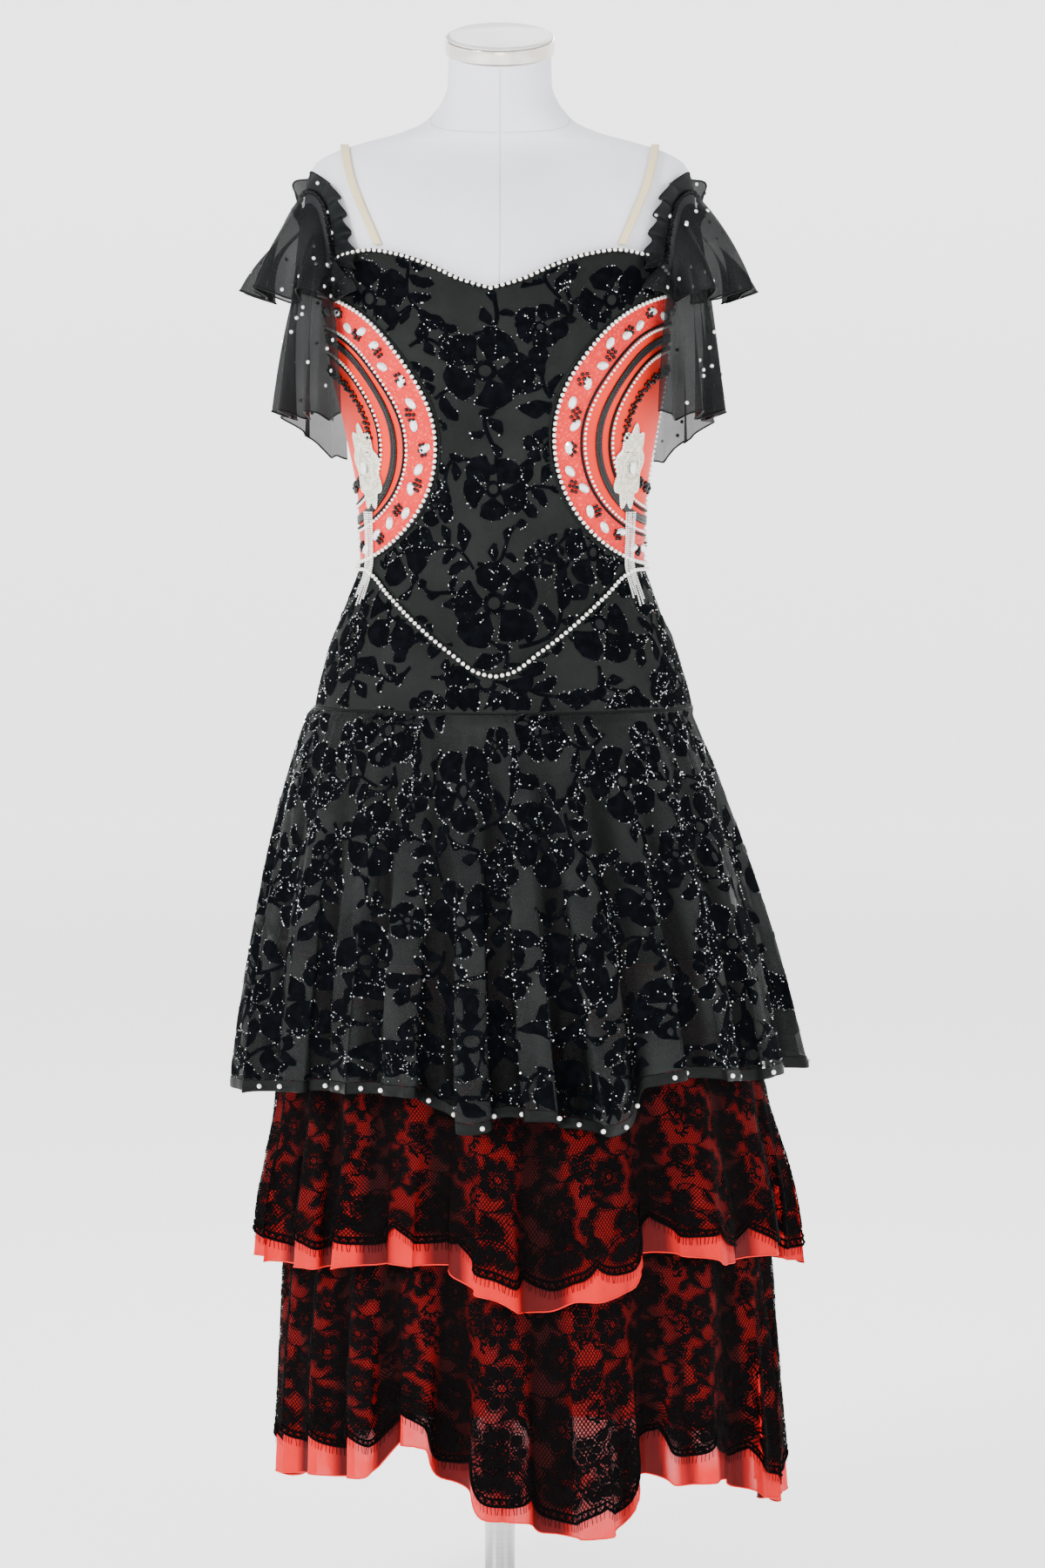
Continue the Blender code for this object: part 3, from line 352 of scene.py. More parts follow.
@dataclass(frozen=True)
class SkirtLayer:
    """One gathered layer of the skirt: how it stands off the core and where its folds run."""

    stand: Table  # height valley rise
    ridges: Table  # bearing height
    gather_top: float  # height of the seam that it is gathered on
    gather_depth: float = 1.5 * MM
    flutter: float = 1.6 * MM  # small ripples between the main folds
    pleats: int = 44  # soft narrow folds that deepen downwards
    pleat_depth: float = 8.0 * MM
    pleat_fall: tuple[float, float] = (0.03, 0.26)  # from where they start to where they are full
    pleat_lean: float = 1.3  # degrees that a fold's crest leans sideways
    pleat_seed: float = 0.0

    def wave(self, bearing: Array) -> Array:
        """The main folds: 0 in each valley, rising to each ridge's own height.

        Args:
            bearing: degrees round the skirt.

        Returns:
            The height at each bearing.
        """
        start = self.ridges.key[0]
        edges = np.append(self.ridges.key, start + 360)
        heights = np.append(self.ridges.columns["height"], self.ridges.columns["height"][0])
        at = np.mod(np.asarray(bearing, float) - start, 360) + start
        i = np.clip(np.searchsorted(edges, at, side="right") - 1, 0, len(edges) - 2)
        share = (at - edges[i]) / (edges[i + 1] - edges[i])
        near = np.where(share < 0.5, heights[i], heights[i + 1])
        return near * (0.5 + 0.5 * np.cos(2 * np.pi * share)) ** 0.85

    def pleat(self, bearing: Array, height: Array) -> tuple[Array, Array]:
        """The narrow folds: uneven round crests with sharp valleys between them.

        Args:
            bearing: degrees round the skirt.
            height: above the floor.

        Returns:
            How far they stand out, and how many degrees their crests lean.
        """
        turn, below = np.radians(bearing), self.gather_top - np.asarray(height, float)
        fall, seed = ease_in(below, *self.pleat_fall), self.pleat_seed
        drift = 1.5 * np.sin(2 * turn + 0.7 + seed) + 0.8 * np.sin(7 * turn + seed)
        phase = self.pleats / 2 * turn + drift + 0.7 * np.sin(3 * turn + 7 * below)
        crest = np.abs(np.sin(phase)) ** 0.62
        size = 0.62 + 0.38 * np.sin(5 * turn + 1.1 + seed) * np.sin(3 * turn + 0.3)
        size = size + 0.25 * np.sin(11 * turn + 2 * seed)
        return self.pleat_depth * fall * crest * size, self.pleat_lean * fall * np.sin(2 * phase)

    def ripple(self, bearing: Array, height: Array) -> Array:
        """How far the small gathers and ripples stand out, at least 0.

        Args:
            bearing: degrees round the skirt.
            height: above the floor.

        Returns:
            The distance out of the main folds' surface.
        """
        turn = np.radians(bearing)
        below = self.gather_top - np.asarray(height, float)
        second = np.sin(97 * turn + 3 * np.sin(5 * turn))
        fine = 0.5 + 0.25 * np.sin(71 * turn + 1.3) + 0.25 * second
        gathers = self.gather_depth * fine * np.exp(-np.clip(below, 0, 1) / 0.045)
        gathers = gathers * ease_in(below, 0.0, 0.012)
        long = np.sin(37 * turn + 2.2 * np.sin(3 * turn) + 5 * below)
        short = np.sin(53 * turn - 1.7 * np.sin(4 * turn + 9 * below))
        loose = self.flutter * (0.5 + 0.3 * long + 0.2 * short) * ease_in(below, 0.02, 0.16)
        return gathers + loose

    def point(self, bearing: Array, height: Array, out: Array | float = 0.0) -> Array:
        """Points on the layer's outer face.

        Args:
            bearing: degrees round the skirt.
            height: above the floor.
            out: further distance out.

        Returns:
            The points.
        """
        bearing, height = np.broadcast_arrays(np.asarray(bearing, float), height)
        stand = self.stand.at("valley", height) + self.stand.at("rise", height) * self.wave(bearing)
        fold, lean = self.pleat(bearing, height)
        return on_skirt(bearing + lean, height, stand + self.ripple(bearing, height) + fold + out)


# ---- patches of cloth


class Patch:
    """A grid of points on one piece of cloth, which also places small shapes on it.

    Rows run downwards and columns towards larger bearings.  u is metres along a row and v is
    metres down a column, both as averages over the grid.
    """

    def __init__(self, points: Array, closed: bool = False) -> None:
        """Measures the grid.

        Args:
            points: rows x columns x 3.
            closed: whether the last column joins the first.
        """
        self.closed = closed
        self.points = np.concatenate([points, points[:, :1]], axis=1) if closed else points
        across = np.linalg.norm(np.diff(self.points, axis=1), axis=2).mean(axis=0)
        down = np.linalg.norm(np.diff(self.points, axis=0), axis=2).mean(axis=1)
        self.u = np.append(0, np.cumsum(across))
        self.v = np.append(0, np.cumsum(down))
        along = np.gradient(self.points, axis=1)
        if closed:
            ends = (self.points[:, 1] - self.points[:, -2]) / 2
            along[:, 0] = ends
            along[:, -1] = ends
        normals = np.cross(np.gradient(self.points, axis=0), along)
        self.normals = unit(normals)

    @property
    def width(self) -> float:
        """Metres along an average row."""
        return float(self.u[-1])

    @property
    def drop(self) -> float:
        """Metres down an average column."""
        return float(self.v[-1])

    def lifted(self, out: float) -> Array:
        """The grid's points moved out along its normals."""
        return self.points + self.normals * out

    def place(self, u: Array, v: Array, lift: Array | float = 0.0) -> Array:
        """Points of the cloth.

        Args:
            u: metres along.
            v: metres down.
            lift: distance off the cloth.

        Returns:
            The points.
        """
        if self.closed:
            u = np.mod(u, self.width)
        column = np.interp(u, self.u, np.arange(len(self.u)))
        row = np.interp(v, self.v, np.arange(len(self.v)))
        c = np.clip(column.astype(int), 0, len(self.u) - 2)
        r = np.clip(row.astype(int), 0, len(self.v) - 2)
        a, b = (column - c)[..., None], (row - r)[..., None]
        spots = []
        for grid in (self.points, self.normals):
            top = grid[r, c] * (1 - a) + grid[r, c + 1] * a
            foot = grid[r + 1, c] * (1 - a) + grid[r + 1, c + 1] * a
            spots.append(top * (1 - b) + foot * b)
        return spots[0] + spots[1] * np.asarray(lift)[..., None]

    def cut(self, fullness: float, digits: int = 2) -> tuple[float, float]:
        """The flat width, times the fullness of folds that the grid lacks, and the drop."""
        return round(self.width * fullness, digits), round(self.drop, 3)

    def painted_fold_shade(self, reach: float = 0.030, depth: float = 5.0 * MM) -> Array:
        """How deep each point of a closed patch lies between two folds, for the painted shade
        there.

        Args:
            reach: metres to either side that a point is compared with.
            depth: of a fold valley that is painted fully dark.

        Returns:
            0 to 1 for each point.
        """
        ring = np.linalg.norm(self.points[:, :-1, :2], axis=2)
        n = max(1, round(reach / self.width * ring.shape[1]))
        sums = np.cumsum(np.concatenate([ring[:, -n - 1 :], ring, ring[:, :n]], axis=1), axis=1)
        mean = (sums[:, 2 * n + 1 :] - sums[:, : -2 * n - 1]) / (2 * n + 1)
        # Painted shade: darker the deeper a point lies below its neighbours, a quarter where it
        # lies level with them, fading in over the first 8 cm below the top.
        hollow = np.clip(0.25 + (mean - ring) / depth, 0, 1) * np.clip(self.v[:, None] / 0.08, 0, 1)
        return np.concatenate([hollow, hollow[:, :1]], axis=1)

    def inside(self, u: Array, v: Array) -> Array:
        """Whether each place is on the cloth."""
        level = (v >= 0) & (v <= self.drop)
        return level if self.closed else level & (u >= 0) & (u <= self.width)


@dataclass(frozen=True)
class FittedChart:
    """Fitted cloth as a flat chart: u is metres round from the front, v is metres down."""

    region: Callable[[Array, Array], Array]  # of bearings and heights

    def place(self, u: Array, v: Array, lift: Array | float = 0.0) -> Array:
        """Points off the cloth's face at u, v."""
        return on_dress(np.degrees(u / CHART_RADIUS), CHART_TOP - v, lift)

    def inside(self, u: Array, v: Array) -> Array:
        """Whether each place is in the chart's region."""
        return self.region(np.degrees(u / CHART_RADIUS), CHART_TOP - v)


Chart = Patch | FittedChart
WHOLE_CHART = FittedChart(lambda bearing, height: np.full(np.shape(bearing), True))

# ---- meshes


def mesh_object(
    name: str, points: Array, faces: Array, finish: Finish,
    soft: bool = True,
) -> Thing:
    """A mesh object whose faces all have the same number of corners.

    Args:
        name: the object's name.
        points: its vertices.
        faces: indices, one row for each face.
        finish: what it is made of.
        soft: whether it is shaded smooth.

    Returns:
        The object, in the scene.
    """
    mesh = bpy.data.meshes.new(name)
    mesh.vertices.add(len(points))
    mesh.vertices.foreach_set("co", np.ascontiguousarray(points, np.float32).ravel())
    mesh.loops.add(faces.size)
    mesh.loops.foreach_set("vertex_index", np.ascontiguousarray(faces, np.int32).ravel())
    mesh.polygons.add(len(faces))
    starts = np.arange(0, faces.size, faces.shape[1], dtype=np.int32)
    mesh.polygons.foreach_set("loop_start", starts)
    mesh.polygons.foreach_set("use_smooth", np.full(len(faces), soft))
    mesh.update(calc_edges=True)
    mesh.materials.append(finish.made)
    made = bpy.data.objects.new(name, mesh)
    bpy.context.scene.collection.objects.link(made)
    return made


def grid_faces(rows: int, columns: int) -> Array:
    """Quads between the neighbours of a grid of points, facing out.

    Args:
        rows: of points.
        columns: of points.

    Returns:
        The indices of each quad's corners.
    """
    at = np.arange(rows * columns).reshape(rows, columns)
    corners = (at[:-1, :-1], at[1:, :-1], at[1:, 1:], at[:-1, 1:])
    return np.stack([corner.ravel() for corner in corners], axis=1)


def sheet_object(
    name: str, patch: Patch, finish: Finish, shaded: bool = False
) -> Thing:
    """A patch of cloth as one thin sheet.

    Args:
        name: the object's name.
        patch: its points and lengths.
        finish: what it is made of.
        shaded: whether its mesh keeps how deep each point lies between the folds, which its finish
            paints as shade.

    Returns:
        The object; a closed patch has its first and last columns joined.
    """
    rows, columns = patch.points.shape[:2]
    faces = grid_faces(rows, columns)
    u, v = np.meshgrid(patch.u, patch.v)
    uv = np.stack([u.ravel(), -v.ravel()], axis=1)
    corner_uv = uv[faces.ravel()]
    if patch.closed:
        at = np.arange(rows * columns)
        last = at % columns == columns - 1
        at[last] = at[last] - (columns - 1)
        faces = at[faces]
    made = mesh_object(name, patch.points.reshape(-1, 3), faces, finish)
    layer = made.data.uv_layers.new(name="cloth")
    layer.uv.foreach_set("vector", corner_uv.astype(np.float32).ravel())
    if shaded:
        # How deep each point lies between the folds, for the painted shade there.
        hollow = made.data.attributes.new("hollow", "FLOAT", "POINT")
        hollow.data.foreach_set("value", patch.painted_fold_shade().astype(np.float32).ravel())
    if patch.closed:
        shape = bmesh.new()
        shape.from_mesh(made.data)
        loose = [vertex for vertex in shape.verts if not vertex.link_faces]
        bmesh.ops.delete(shape, geom=loose, context="VERTS")
        shape.to_mesh(made.data)
        shape.free()
    return made


class Heap:
    """Many small shapes gathered into one mesh."""

    def __init__(self) -> None:
        """Starts with nothing in it."""
        self.points: list[Array] = []
        self.faces: list[Array] = []
        self.count = 0

    def add(self, points: Array, faces: Array) -> None:
        """Adds one shape, or many copies of one.

        Args:
            points: vertices, or copies x vertices.
            faces: the faces of one copy.
        """
        points = points.reshape(-1, points.shape[-2], 3)
        offsets = self.count + np.arange(len(points)) * points.shape[1]
        self.points.append(points.reshape(-1, 3))
        self.faces.append((offsets[:, None, None] + faces).reshape(-1, faces.shape[1]))
        self.count += points.shape[0] * points.shape[1]

    def make(
        self, name: str, finish: Finish, slot: str, *nodes: str, soft: bool = True
    ) -> None:
        """Args:
            name: of the piece.
            finish: what it is made of.
            slot: its material slot.
            nodes: the solids that it replaces.
            soft: whether it is shaded smooth.
        """
        points, faces = np.concatenate(self.points), np.concatenate(self.faces)
        used, index = np.unique(faces, return_inverse=True)
        made = mesh_object(name, points[used], index.reshape(faces.shape), finish, soft)
        declare(made, slot, *nodes)


class Workbench:
    """Blender's own modelling operators, run on one piece at a time."""

    @staticmethod
    def start(add: Callable[..., set], **sizes: float | int | str | tuple) -> Thing:
        """Adds a primitive and opens it in edit mode with nothing selected.

        Args:
            add: the operator that adds it.
            sizes: its sizes and place.

        Returns:
            The new object.
        """
        if bpy.context.mode != "OBJECT":
            bpy.ops.object.mode_set(mode="OBJECT")
        bpy.ops.object.select_all(action="DESELECT")
        add(**sizes)
        made = bpy.context.active_object
        bpy.ops.object.mode_set(mode="EDIT")
        bpy.ops.mesh.select_all(action="DESELECT")
        return made

    @staticmethod
    def plate(vertices: int, radius: float) -> Thing:
        """A flat round plate in edit mode, all of it selected.

        Args:
            vertices: round it.
            radius: of the plate.

        Returns:
            The new object.
        """
        made = Workbench.start(
            bpy.ops.mesh.primitive_circle_add, vertices=vertices, radius=radius, fill_type="NGON"
        )
        bpy.ops.mesh.select_all(action="SELECT")
        return made

    @staticmethod
    def rise(height: float, scale: float | None = None) -> None:
        """Draws the selected face up, and scales it there.

        Args:
            height: that it rises.
            scale: of the drawn face, if it changes.
        """
        bpy.ops.mesh.extrude_region_move(TRANSFORM_OT_translate={"value": (0, 0, height)})
        if scale is not None:
            bpy.ops.transform.resize(value=(scale, scale, 1))

    @staticmethod
    def face_out() -> None:
        """Turns every face of the piece in edit mode outwards."""
        bpy.ops.mesh.select_all(action="SELECT")
        bpy.ops.mesh.normals_make_consistent(inside=False)

    @staticmethod
    def pattern() -> Pattern:
        """Takes the piece in edit mode apart, as a pattern."""
        bpy.ops.object.mode_set(mode="OBJECT")
        return Pattern(*Workbench.arrays(bpy.context.active_object))

    @staticmethod
    def pick(
        made: Thing, wanted: Callable[[bmesh.types.BMFace], bool], edges: bool = False
    ) -> None:
        """Selects the faces, or the edges, that a test accepts, and nothing else.

        Args:
            made: the object in edit mode.
            wanted: the test.
            edges: whether edges are picked rather than faces.
        """
        bpy.ops.mesh.select_mode(type="EDGE" if edges else "FACE")
        bpy.ops.mesh.select_all(action="DESELECT")
        shape = bmesh.from_edit_mesh(made.data)
        for item in shape.edges if edges else shape.faces:
            item.select_set(bool(wanted(item)))
        shape.select_flush_mode()
        bmesh.update_edit_mesh(made.data)

    @staticmethod
    def close(
        made: Thing, name: str, finish: Finish, angle: float = 35.0
    ) -> Thing:
        """Leaves edit mode, names the piece, gives it its finish and shades it.

        Args:
            made: the object in edit mode.
            name: its name.
            finish: what it is made of.
            angle: edges sharper than this stay crisp, in degrees.

        Returns:
            The object, with its place in its mesh.
        """
        bpy.ops.object.mode_set(mode="OBJECT")
        made.name = name
        made.data.name = name
        made.data.transform(made.matrix_world)
        made.matrix_world = Matrix.Identity(4)
        made.data.materials.clear()
        made.data.materials.append(finish.made)
        bpy.ops.object.shade_smooth_by_angle(angle=math.radians(angle))
        return made

    @staticmethod
    def apply(made: Thing, kind: str, **settings: float | int | str | bool) -> None:
        """Adds a modifier in object mode and applies it.

        Args:
            made: the object.
            kind: the modifier's type.
            settings: its settings.
        """
        bpy.context.view_layer.objects.active = made
        modifier = made.modifiers.new(kind.title(), kind)
        for key, value in settings.items():
            setattr(modifier, key, value)
        bpy.ops.object.modifier_apply(modifier=modifier.name)

    @staticmethod
    def arrays(made: Thing) -> tuple[Array, Array]:
        """Takes a finished pattern piece apart and removes it.

        Args:
            made: the pattern piece.

        Returns:
            Its points, and its faces as triangles.
        """
        made.data.calc_loop_triangles()
        points = np.empty(len(made.data.vertices) * 3, np.float32)
        made.data.vertices.foreach_get("co", points)
        faces = np.empty(len(made.data.loop_triangles) * 3, np.int32)
        made.data.loop_triangles.foreach_get("vertices", faces)
        bpy.data.objects.remove(made)
        return points.reshape(-1, 3).astype(float), faces.reshape(-1, 3)


def declare(
    made: Thing, slot: str, *nodes: str,
    flat: tuple[float, float] | None = None, held: str = "hung",
    rests_on: tuple[str, ...] = (), area: float | None = None,
) -> Thing:
    """Attaches a piece to the body that it rides on and hides the solids that it stands for.

    Args:
        made: the piece.
        slot: its material slot, which is not used.
        nodes: the solids that it replaces.
        flat: the size that the cloth was cut to, which is not used.
        held: how the cloth is held, which is not used.
        rests_on: what the cloth rests on, which is not used.
        area: the cut's area where it isn't a rectangle, which is not used.

    Returns:
        The piece.
    """
    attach(made, BODY)
    if nodes:
        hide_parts(*nodes)
    LOG.info("%s: %d faces", made.name, len(made.data.polygons))
    return made


# ---- shader nodes


class Wire:
    """A shader socket whose arithmetic adds Math nodes."""

    def __init__(self, graph: Graph, socket: bpy.types.NodeSocket) -> None:
        """Wraps a socket of a graph."""
        self.graph = graph
        self.socket = socket

    def __add__(self, other: Wire | float) -> Wire:
        """The sum."""
        return self.graph.maths("ADD", self, other)

    def __radd__(self, other: float) -> Wire:
        """The sum, with the number first."""
        return self.graph.maths("ADD", other, self)

    def __sub__(self, other: Wire | float) -> Wire:
        """The difference."""
        return self.graph.maths("SUBTRACT", self, other)

    def __rsub__(self, other: float) -> Wire:
        """The difference, with the number first."""
        return self.graph.maths("SUBTRACT", other, self)

    def __mul__(self, other: Wire | float) -> Wire:
        """The product."""
        return self.graph.maths("MULTIPLY", self, other)

    def __rmul__(self, other: float) -> Wire:
        """The product, with the number first."""
        return self.graph.maths("MULTIPLY", other, self)

    def __gt__(self, other: Wire | float) -> Wire:
        """1 where this is the greater, else 0."""
        return self.graph.maths("GREATER_THAN", self, other)

    def __abs__(self) -> Wire:
        """Its size."""
        return self.graph.maths("ABSOLUTE", self)


class Graph:
    """The nodes of one material."""

    def __init__(self, name: str) -> None:
        """Makes a material with a Principled BSDF.

        Args:
            name: the material's name.
        """
        self.material = bpy.data.materials.new(name)
        self.material.use_nodes = True
        self.tree = self.material.node_tree
        self.shader = self.tree.nodes["Principled BSDF"]

    def node(
        self, kind: str, settings: dict | None = None, sockets: dict | None = None,
        out: str | int = 0,
    ) -> Wire:
        """Any node.

        Args:
            kind: its type.
            settings: its own settings; "stops" are a ramp's places and colours.
            sockets: its inputs' values or links, by name or number.
            out: which output is used.

        Returns:
            That output.
        """
        made = self.tree.nodes.new(kind)
        for key, value in (settings or {}).items():
            if key == "stops":
                elements = made.color_ramp.elements
                for i, (place, colour) in enumerate(value):
                    stop = elements[i] if i < 2 else elements.new(place)
                    stop.position = place
                    stop.color = (*colour, 1)
            else:
                setattr(made, key, value)
        for key, value in (sockets or {}).items():
            self.join(made.inputs[key], value)
        return Wire(self, made.outputs[out])

    def join(self, socket: bpy.types.NodeSocket, value: Wire | float | tuple) -> None:
        """Links a socket, or sets its value.

        Args:
            socket: an input of a node.
            value: what it gets.
        """
        if isinstance(value, Wire):
            self.tree.links.new(value.socket, socket)
        elif isinstance(value, tuple) and len(value) == 3 and socket.type == "RGBA":
            socket.default_value = (*value, 1)
        else:
            socket.default_value = value

    def maths(self, operation: str, first: Wire | float, second: Wire | float = 0.0) -> Wire:
        """A Math node."""
        return self.node("ShaderNodeMath", {"operation": operation}, {0: first, 1: second})

    def sine(self, value: Wire) -> Wire:
        """Its sine."""
        return self.maths("SINE", value)

    def clamp(self, value: Wire, low: float = 0.0, high: float = 1.0) -> Wire:
        """The value kept in a range, then stretched to 0 to 1."""
        sockets = {"Value": value, "From Min": low, "From Max": high}
        return self.node("ShaderNodeMapRange", {"clamp": True}, sockets)

    def mix(self, share: Wire | float, first: Wire | Colour, second: Wire | Colour) -> Wire:
        """A blend of two colours, by the share of the second."""
        sockets = {0: share, 6: first, 7: second}
        return self.node("ShaderNodeMix", {"data_type": "RGBA"}, sockets, out=2)

    def noise(self, scale: float, detail: float = 3.0) -> Wire:
        """Noise from 0 to 1, with its grains about 1 / scale metres across."""
        sockets = {"Vector": self.place(), "Scale": scale, "Detail": detail}
        return self.node("ShaderNodeTexNoise", None, sockets)

    def place(self) -> Wire:
        """Object coordinates."""
        return self.node("ShaderNodeTexCoord", None, None, out="Object")

    def axes(self, vector: Wire) -> tuple[Wire, Wire, Wire]:
        """A vector's X, Y and Z."""
        parts = self.node("ShaderNodeSeparateXYZ", None, {"Vector": vector})
        return tuple(Wire(self, socket) for socket in parts.socket.node.outputs)

    def cloth_place(self) -> tuple[Wire, Wire]:
        """The cloth's own coordinates in metres, u and v."""
        return self.axes(self.node("ShaderNodeUVMap", {"uv_map": "cloth"}))[:2]

    def bump(self, height: Wire, distance: float, strength: float = 1.0) -> Wire:
        """A normal bumped by a height, whose 1 stands for a distance in metres."""
        sockets = {"Height": height, "Distance": distance, "Strength": strength}
        return self.node("ShaderNodeBump", None, sockets)

    def finish(self, **sockets: Wire | float | Colour) -> Material:
        """Sets the shader's sockets, named with _ for a space.

        Args:
            sockets: values or links.

        Returns:
            The material.
        """
        for key, value in sockets.items():
            self.join(self.shader.inputs[key.replace("_", " ")], value)
        return self.material


def weave(graph: Graph, pitch: float) -> Wire:
    """A plain weave's height over the cloth, from 0 to 1.

    Args:
        graph: the material's nodes.
        pitch: from thread to thread, in metres.

    Returns:
        The height.
    """
    u, v = graph.cloth_place()
    turn = 2 * math.pi / pitch
    over = 0.5 + 0.25 * graph.sine(u * turn) * graph.sine(v * (turn / 2))
    return over + 0.25 * graph.sine(v * turn)


# ---- finishes


def rgb(red: int, green: int, blue: int) -> Colour:
    """A colour in steps of 0 to 255, turned into the shares of light that it sends back."""
    shares = (red / 255, green / 255, blue / 255)
    return tuple(c / 12.92 if c <= 0.04045 else ((c + 0.055) / 1.055) ** 2.4 for c in shares)


def shaded(colour: Colour, share: float) -> Colour:
    """A share of a colour's light."""
    return tuple(share * c for c in colour)


@dataclass(frozen=True)
class Woven:
    """Plain woven cloth, opaque or sheer, with a slight unevenness of dye and thread, painted shade
    between its threads and its folds, and on the devoré cloths painted sheen in its lighter
    patches.
    """

    name: str
    light: Colour
    dark: Colour
    roughness: float = 0.7
    pitch: float = 0.8 * MM
    cover: float = 1.0  # the share of light that the cloth stops
    sheen: float = 0.0
    crinkle: float = 0.0  # metres
    shine: float = 0.12
    hollow: float = 0.16  # painted shade: the share of the dark colour left where the cloth lies deepest between its folds
    patchy: float = 0.16  # how much the cover varies from place to place

    def build(self) -> Material:
        """Builds its nodes.

        Returns:
            The material.
        """
        graph = Graph(self.name)
        threads = weave(graph, self.pitch)
        cloud = graph.noise(18.0, 4.0)
        grain = graph.noise(900.0, 2.0)
        # Dark to light: cloud patches of uneven dye (on the devoré cloths partly painted sheen),
        # fine grain, and painted shade where the weave's threads lie low.
        share = graph.clamp(cloud * 0.6 + threads * 0.25 + grain * 0.25, 0.30, 0.80)
        # Painted shade between the folds: where the mesh marks a point as lying deep between two
        # folds, the colour goes towards a share of the dark colour.
        hollow = graph.node("ShaderNodeAttribute", {"attribute_name": "hollow"}, None, "Fac")
        deep = shaded(self.dark, self.hollow)
        height = threads * (0.12 * MM) + graph.noise(160.0, 4.0) * self.crinkle
        sockets: dict = {
            "Base_Color": graph.mix(hollow, graph.mix(share, self.dark, self.light), deep),
            "Roughness": graph.clamp(self.roughness + (cloud - 0.5) * 0.25, 0.0, 1.0),
            "Normal": graph.bump(height, 1.0, 0.7),
            "Specular_IOR_Level": self.shine,
            "Sheen_Weight": self.sheen,
            "Sheen_Roughness": 0.4,
        }
        if self.cover < 1:
            # Sheer cloth is also a little more opaque between the folds, as part of the painted
            # shade there.
            sockets["Alpha"] = graph.clamp(
                self.cover + (cloud - 0.5) * self.patchy + hollow * 0.1, 0.0, 1.0
            )
        return graph.finish(**sockets)


@dataclass(frozen=True)
class Velvet:
    """The cut velvet of the flowers: a deep black nap that turns lighter at a slant."""

    name: str
    colour: Colour

    def build(self) -> Material:
        """Builds its nodes.

        Returns:
            The material.
        """
        graph = Graph(self.name)
        nap = graph.noise(120.0, 5.0)
        fibre = graph.noise(2400.0, 2.0)
        share = graph.clamp(nap, 0.45, 0.8)
        return graph.finish(
            Base_Color=graph.mix(share, self.colour, shaded(self.colour, 2.5)),
            Roughness=graph.clamp(0.75 + (nap - 0.5) * 0.3),
            Normal=graph.bump(fibre, 0.3 * MM, 0.8),
            Specular_IOR_Level=0.01,
            Sheen_Weight=0.002,
            Sheen_Roughness=0.3,
        )


@dataclass(frozen=True)
class Glossy:
    """Pearls, beads, stones, lacquer and metal: a clean surface with a little unevenness."""

    name: str
    colour: Colour
    tint: Colour
    roughness: float
    metallic: float = 0.0
    coat: float = 0.0
    grain: float = 240.0
    shine: float = 0.5

    def build(self) -> Material:
        """Builds its nodes.

        Returns:
            The material.
        """
        graph = Graph(self.name)
        spread = graph.noise(self.grain, 3.0)
        return graph.finish(
            Base_Color=graph.mix(graph.clamp(spread, 0.35, 0.7), self.colour, self.tint),
            Roughness=graph.clamp(self.roughness + (spread - 0.5) * 0.12),
            Metallic=self.metallic,
            Specular_IOR_Level=self.shine,
            Coat_Weight=self.coat,
            Coat_Roughness=0.08,
        )


@dataclass(frozen=True)
class Net:
    """Fine lace net: threads in slanting lines with open cells between them."""

    name: str
    colour: Colour
    cell: float = 2.6 * MM
    thread: float = 0.36  # a thread's share of its cell

    def build(self) -> Material:
        """Builds its nodes.

        Returns:
            The material.
        """
        graph = Graph(self.name)
        u, v = graph.cloth_place()
        turn = math.pi / self.cell
        one = abs(graph.sine((u + v * 0.62) * turn))
        other = abs(graph.sine((u - v * 0.62) * turn))
        edge = math.sin(self.thread * math.pi / 2)
        open_cell = (one > edge) * (other > edge)
        return graph.finish(
            Base_Color=graph.mix(graph.noise(700.0), self.colour, shaded(self.colour, 2.2)),
            Roughness=0.8,
            Specular_IOR_Level=0.03,
            Alpha=1 - open_cell * 0.88,
            Normal=graph.bump(graph.noise(1500.0), 0.2 * MM),
        )


@dataclass(frozen=True)
class Sequinned:
    """Cloth covered with small round sequins that each catch the light in their own way."""

    name: str
    colour: Colour
    # The colour of the sparkling sequins, a painted glint.
    bright: Colour
    cell: float = 1.9 * MM

    def build(self) -> Material:
        """Builds its nodes.

        Returns:
            The material.
        """
        graph = Graph(self.name)
        sockets = {"Vector": graph.place(), "Scale": 1 / self.cell}
        cells = graph.node("ShaderNodeTexVoronoi", None, sockets, "Color")
        tone = graph.node("ShaderNodeSeparateColor", None, {"Color": cells})
        to_edge = {"feature": "DISTANCE_TO_EDGE"}
        edge = graph.node("ShaderNodeTexVoronoi", to_edge, sockets, "Distance")
        # The sequins that sparkle are smoother and partly metal, and brighter in colour too: a
        # painted glint.
        sparkle = graph.clamp(tone, 0.72, 0.95)
        return graph.finish(
            Base_Color=graph.mix(sparkle, self.colour, self.bright),
            Roughness=graph.clamp(0.5 - 0.3 * sparkle),
            Metallic=graph.clamp(sparkle * 0.4),
            Specular_IOR_Level=0.25,
            Normal=graph.bump(graph.clamp(edge, 0.0, 0.25) + tone * 0.6, 0.35 * MM, 0.8),
        )


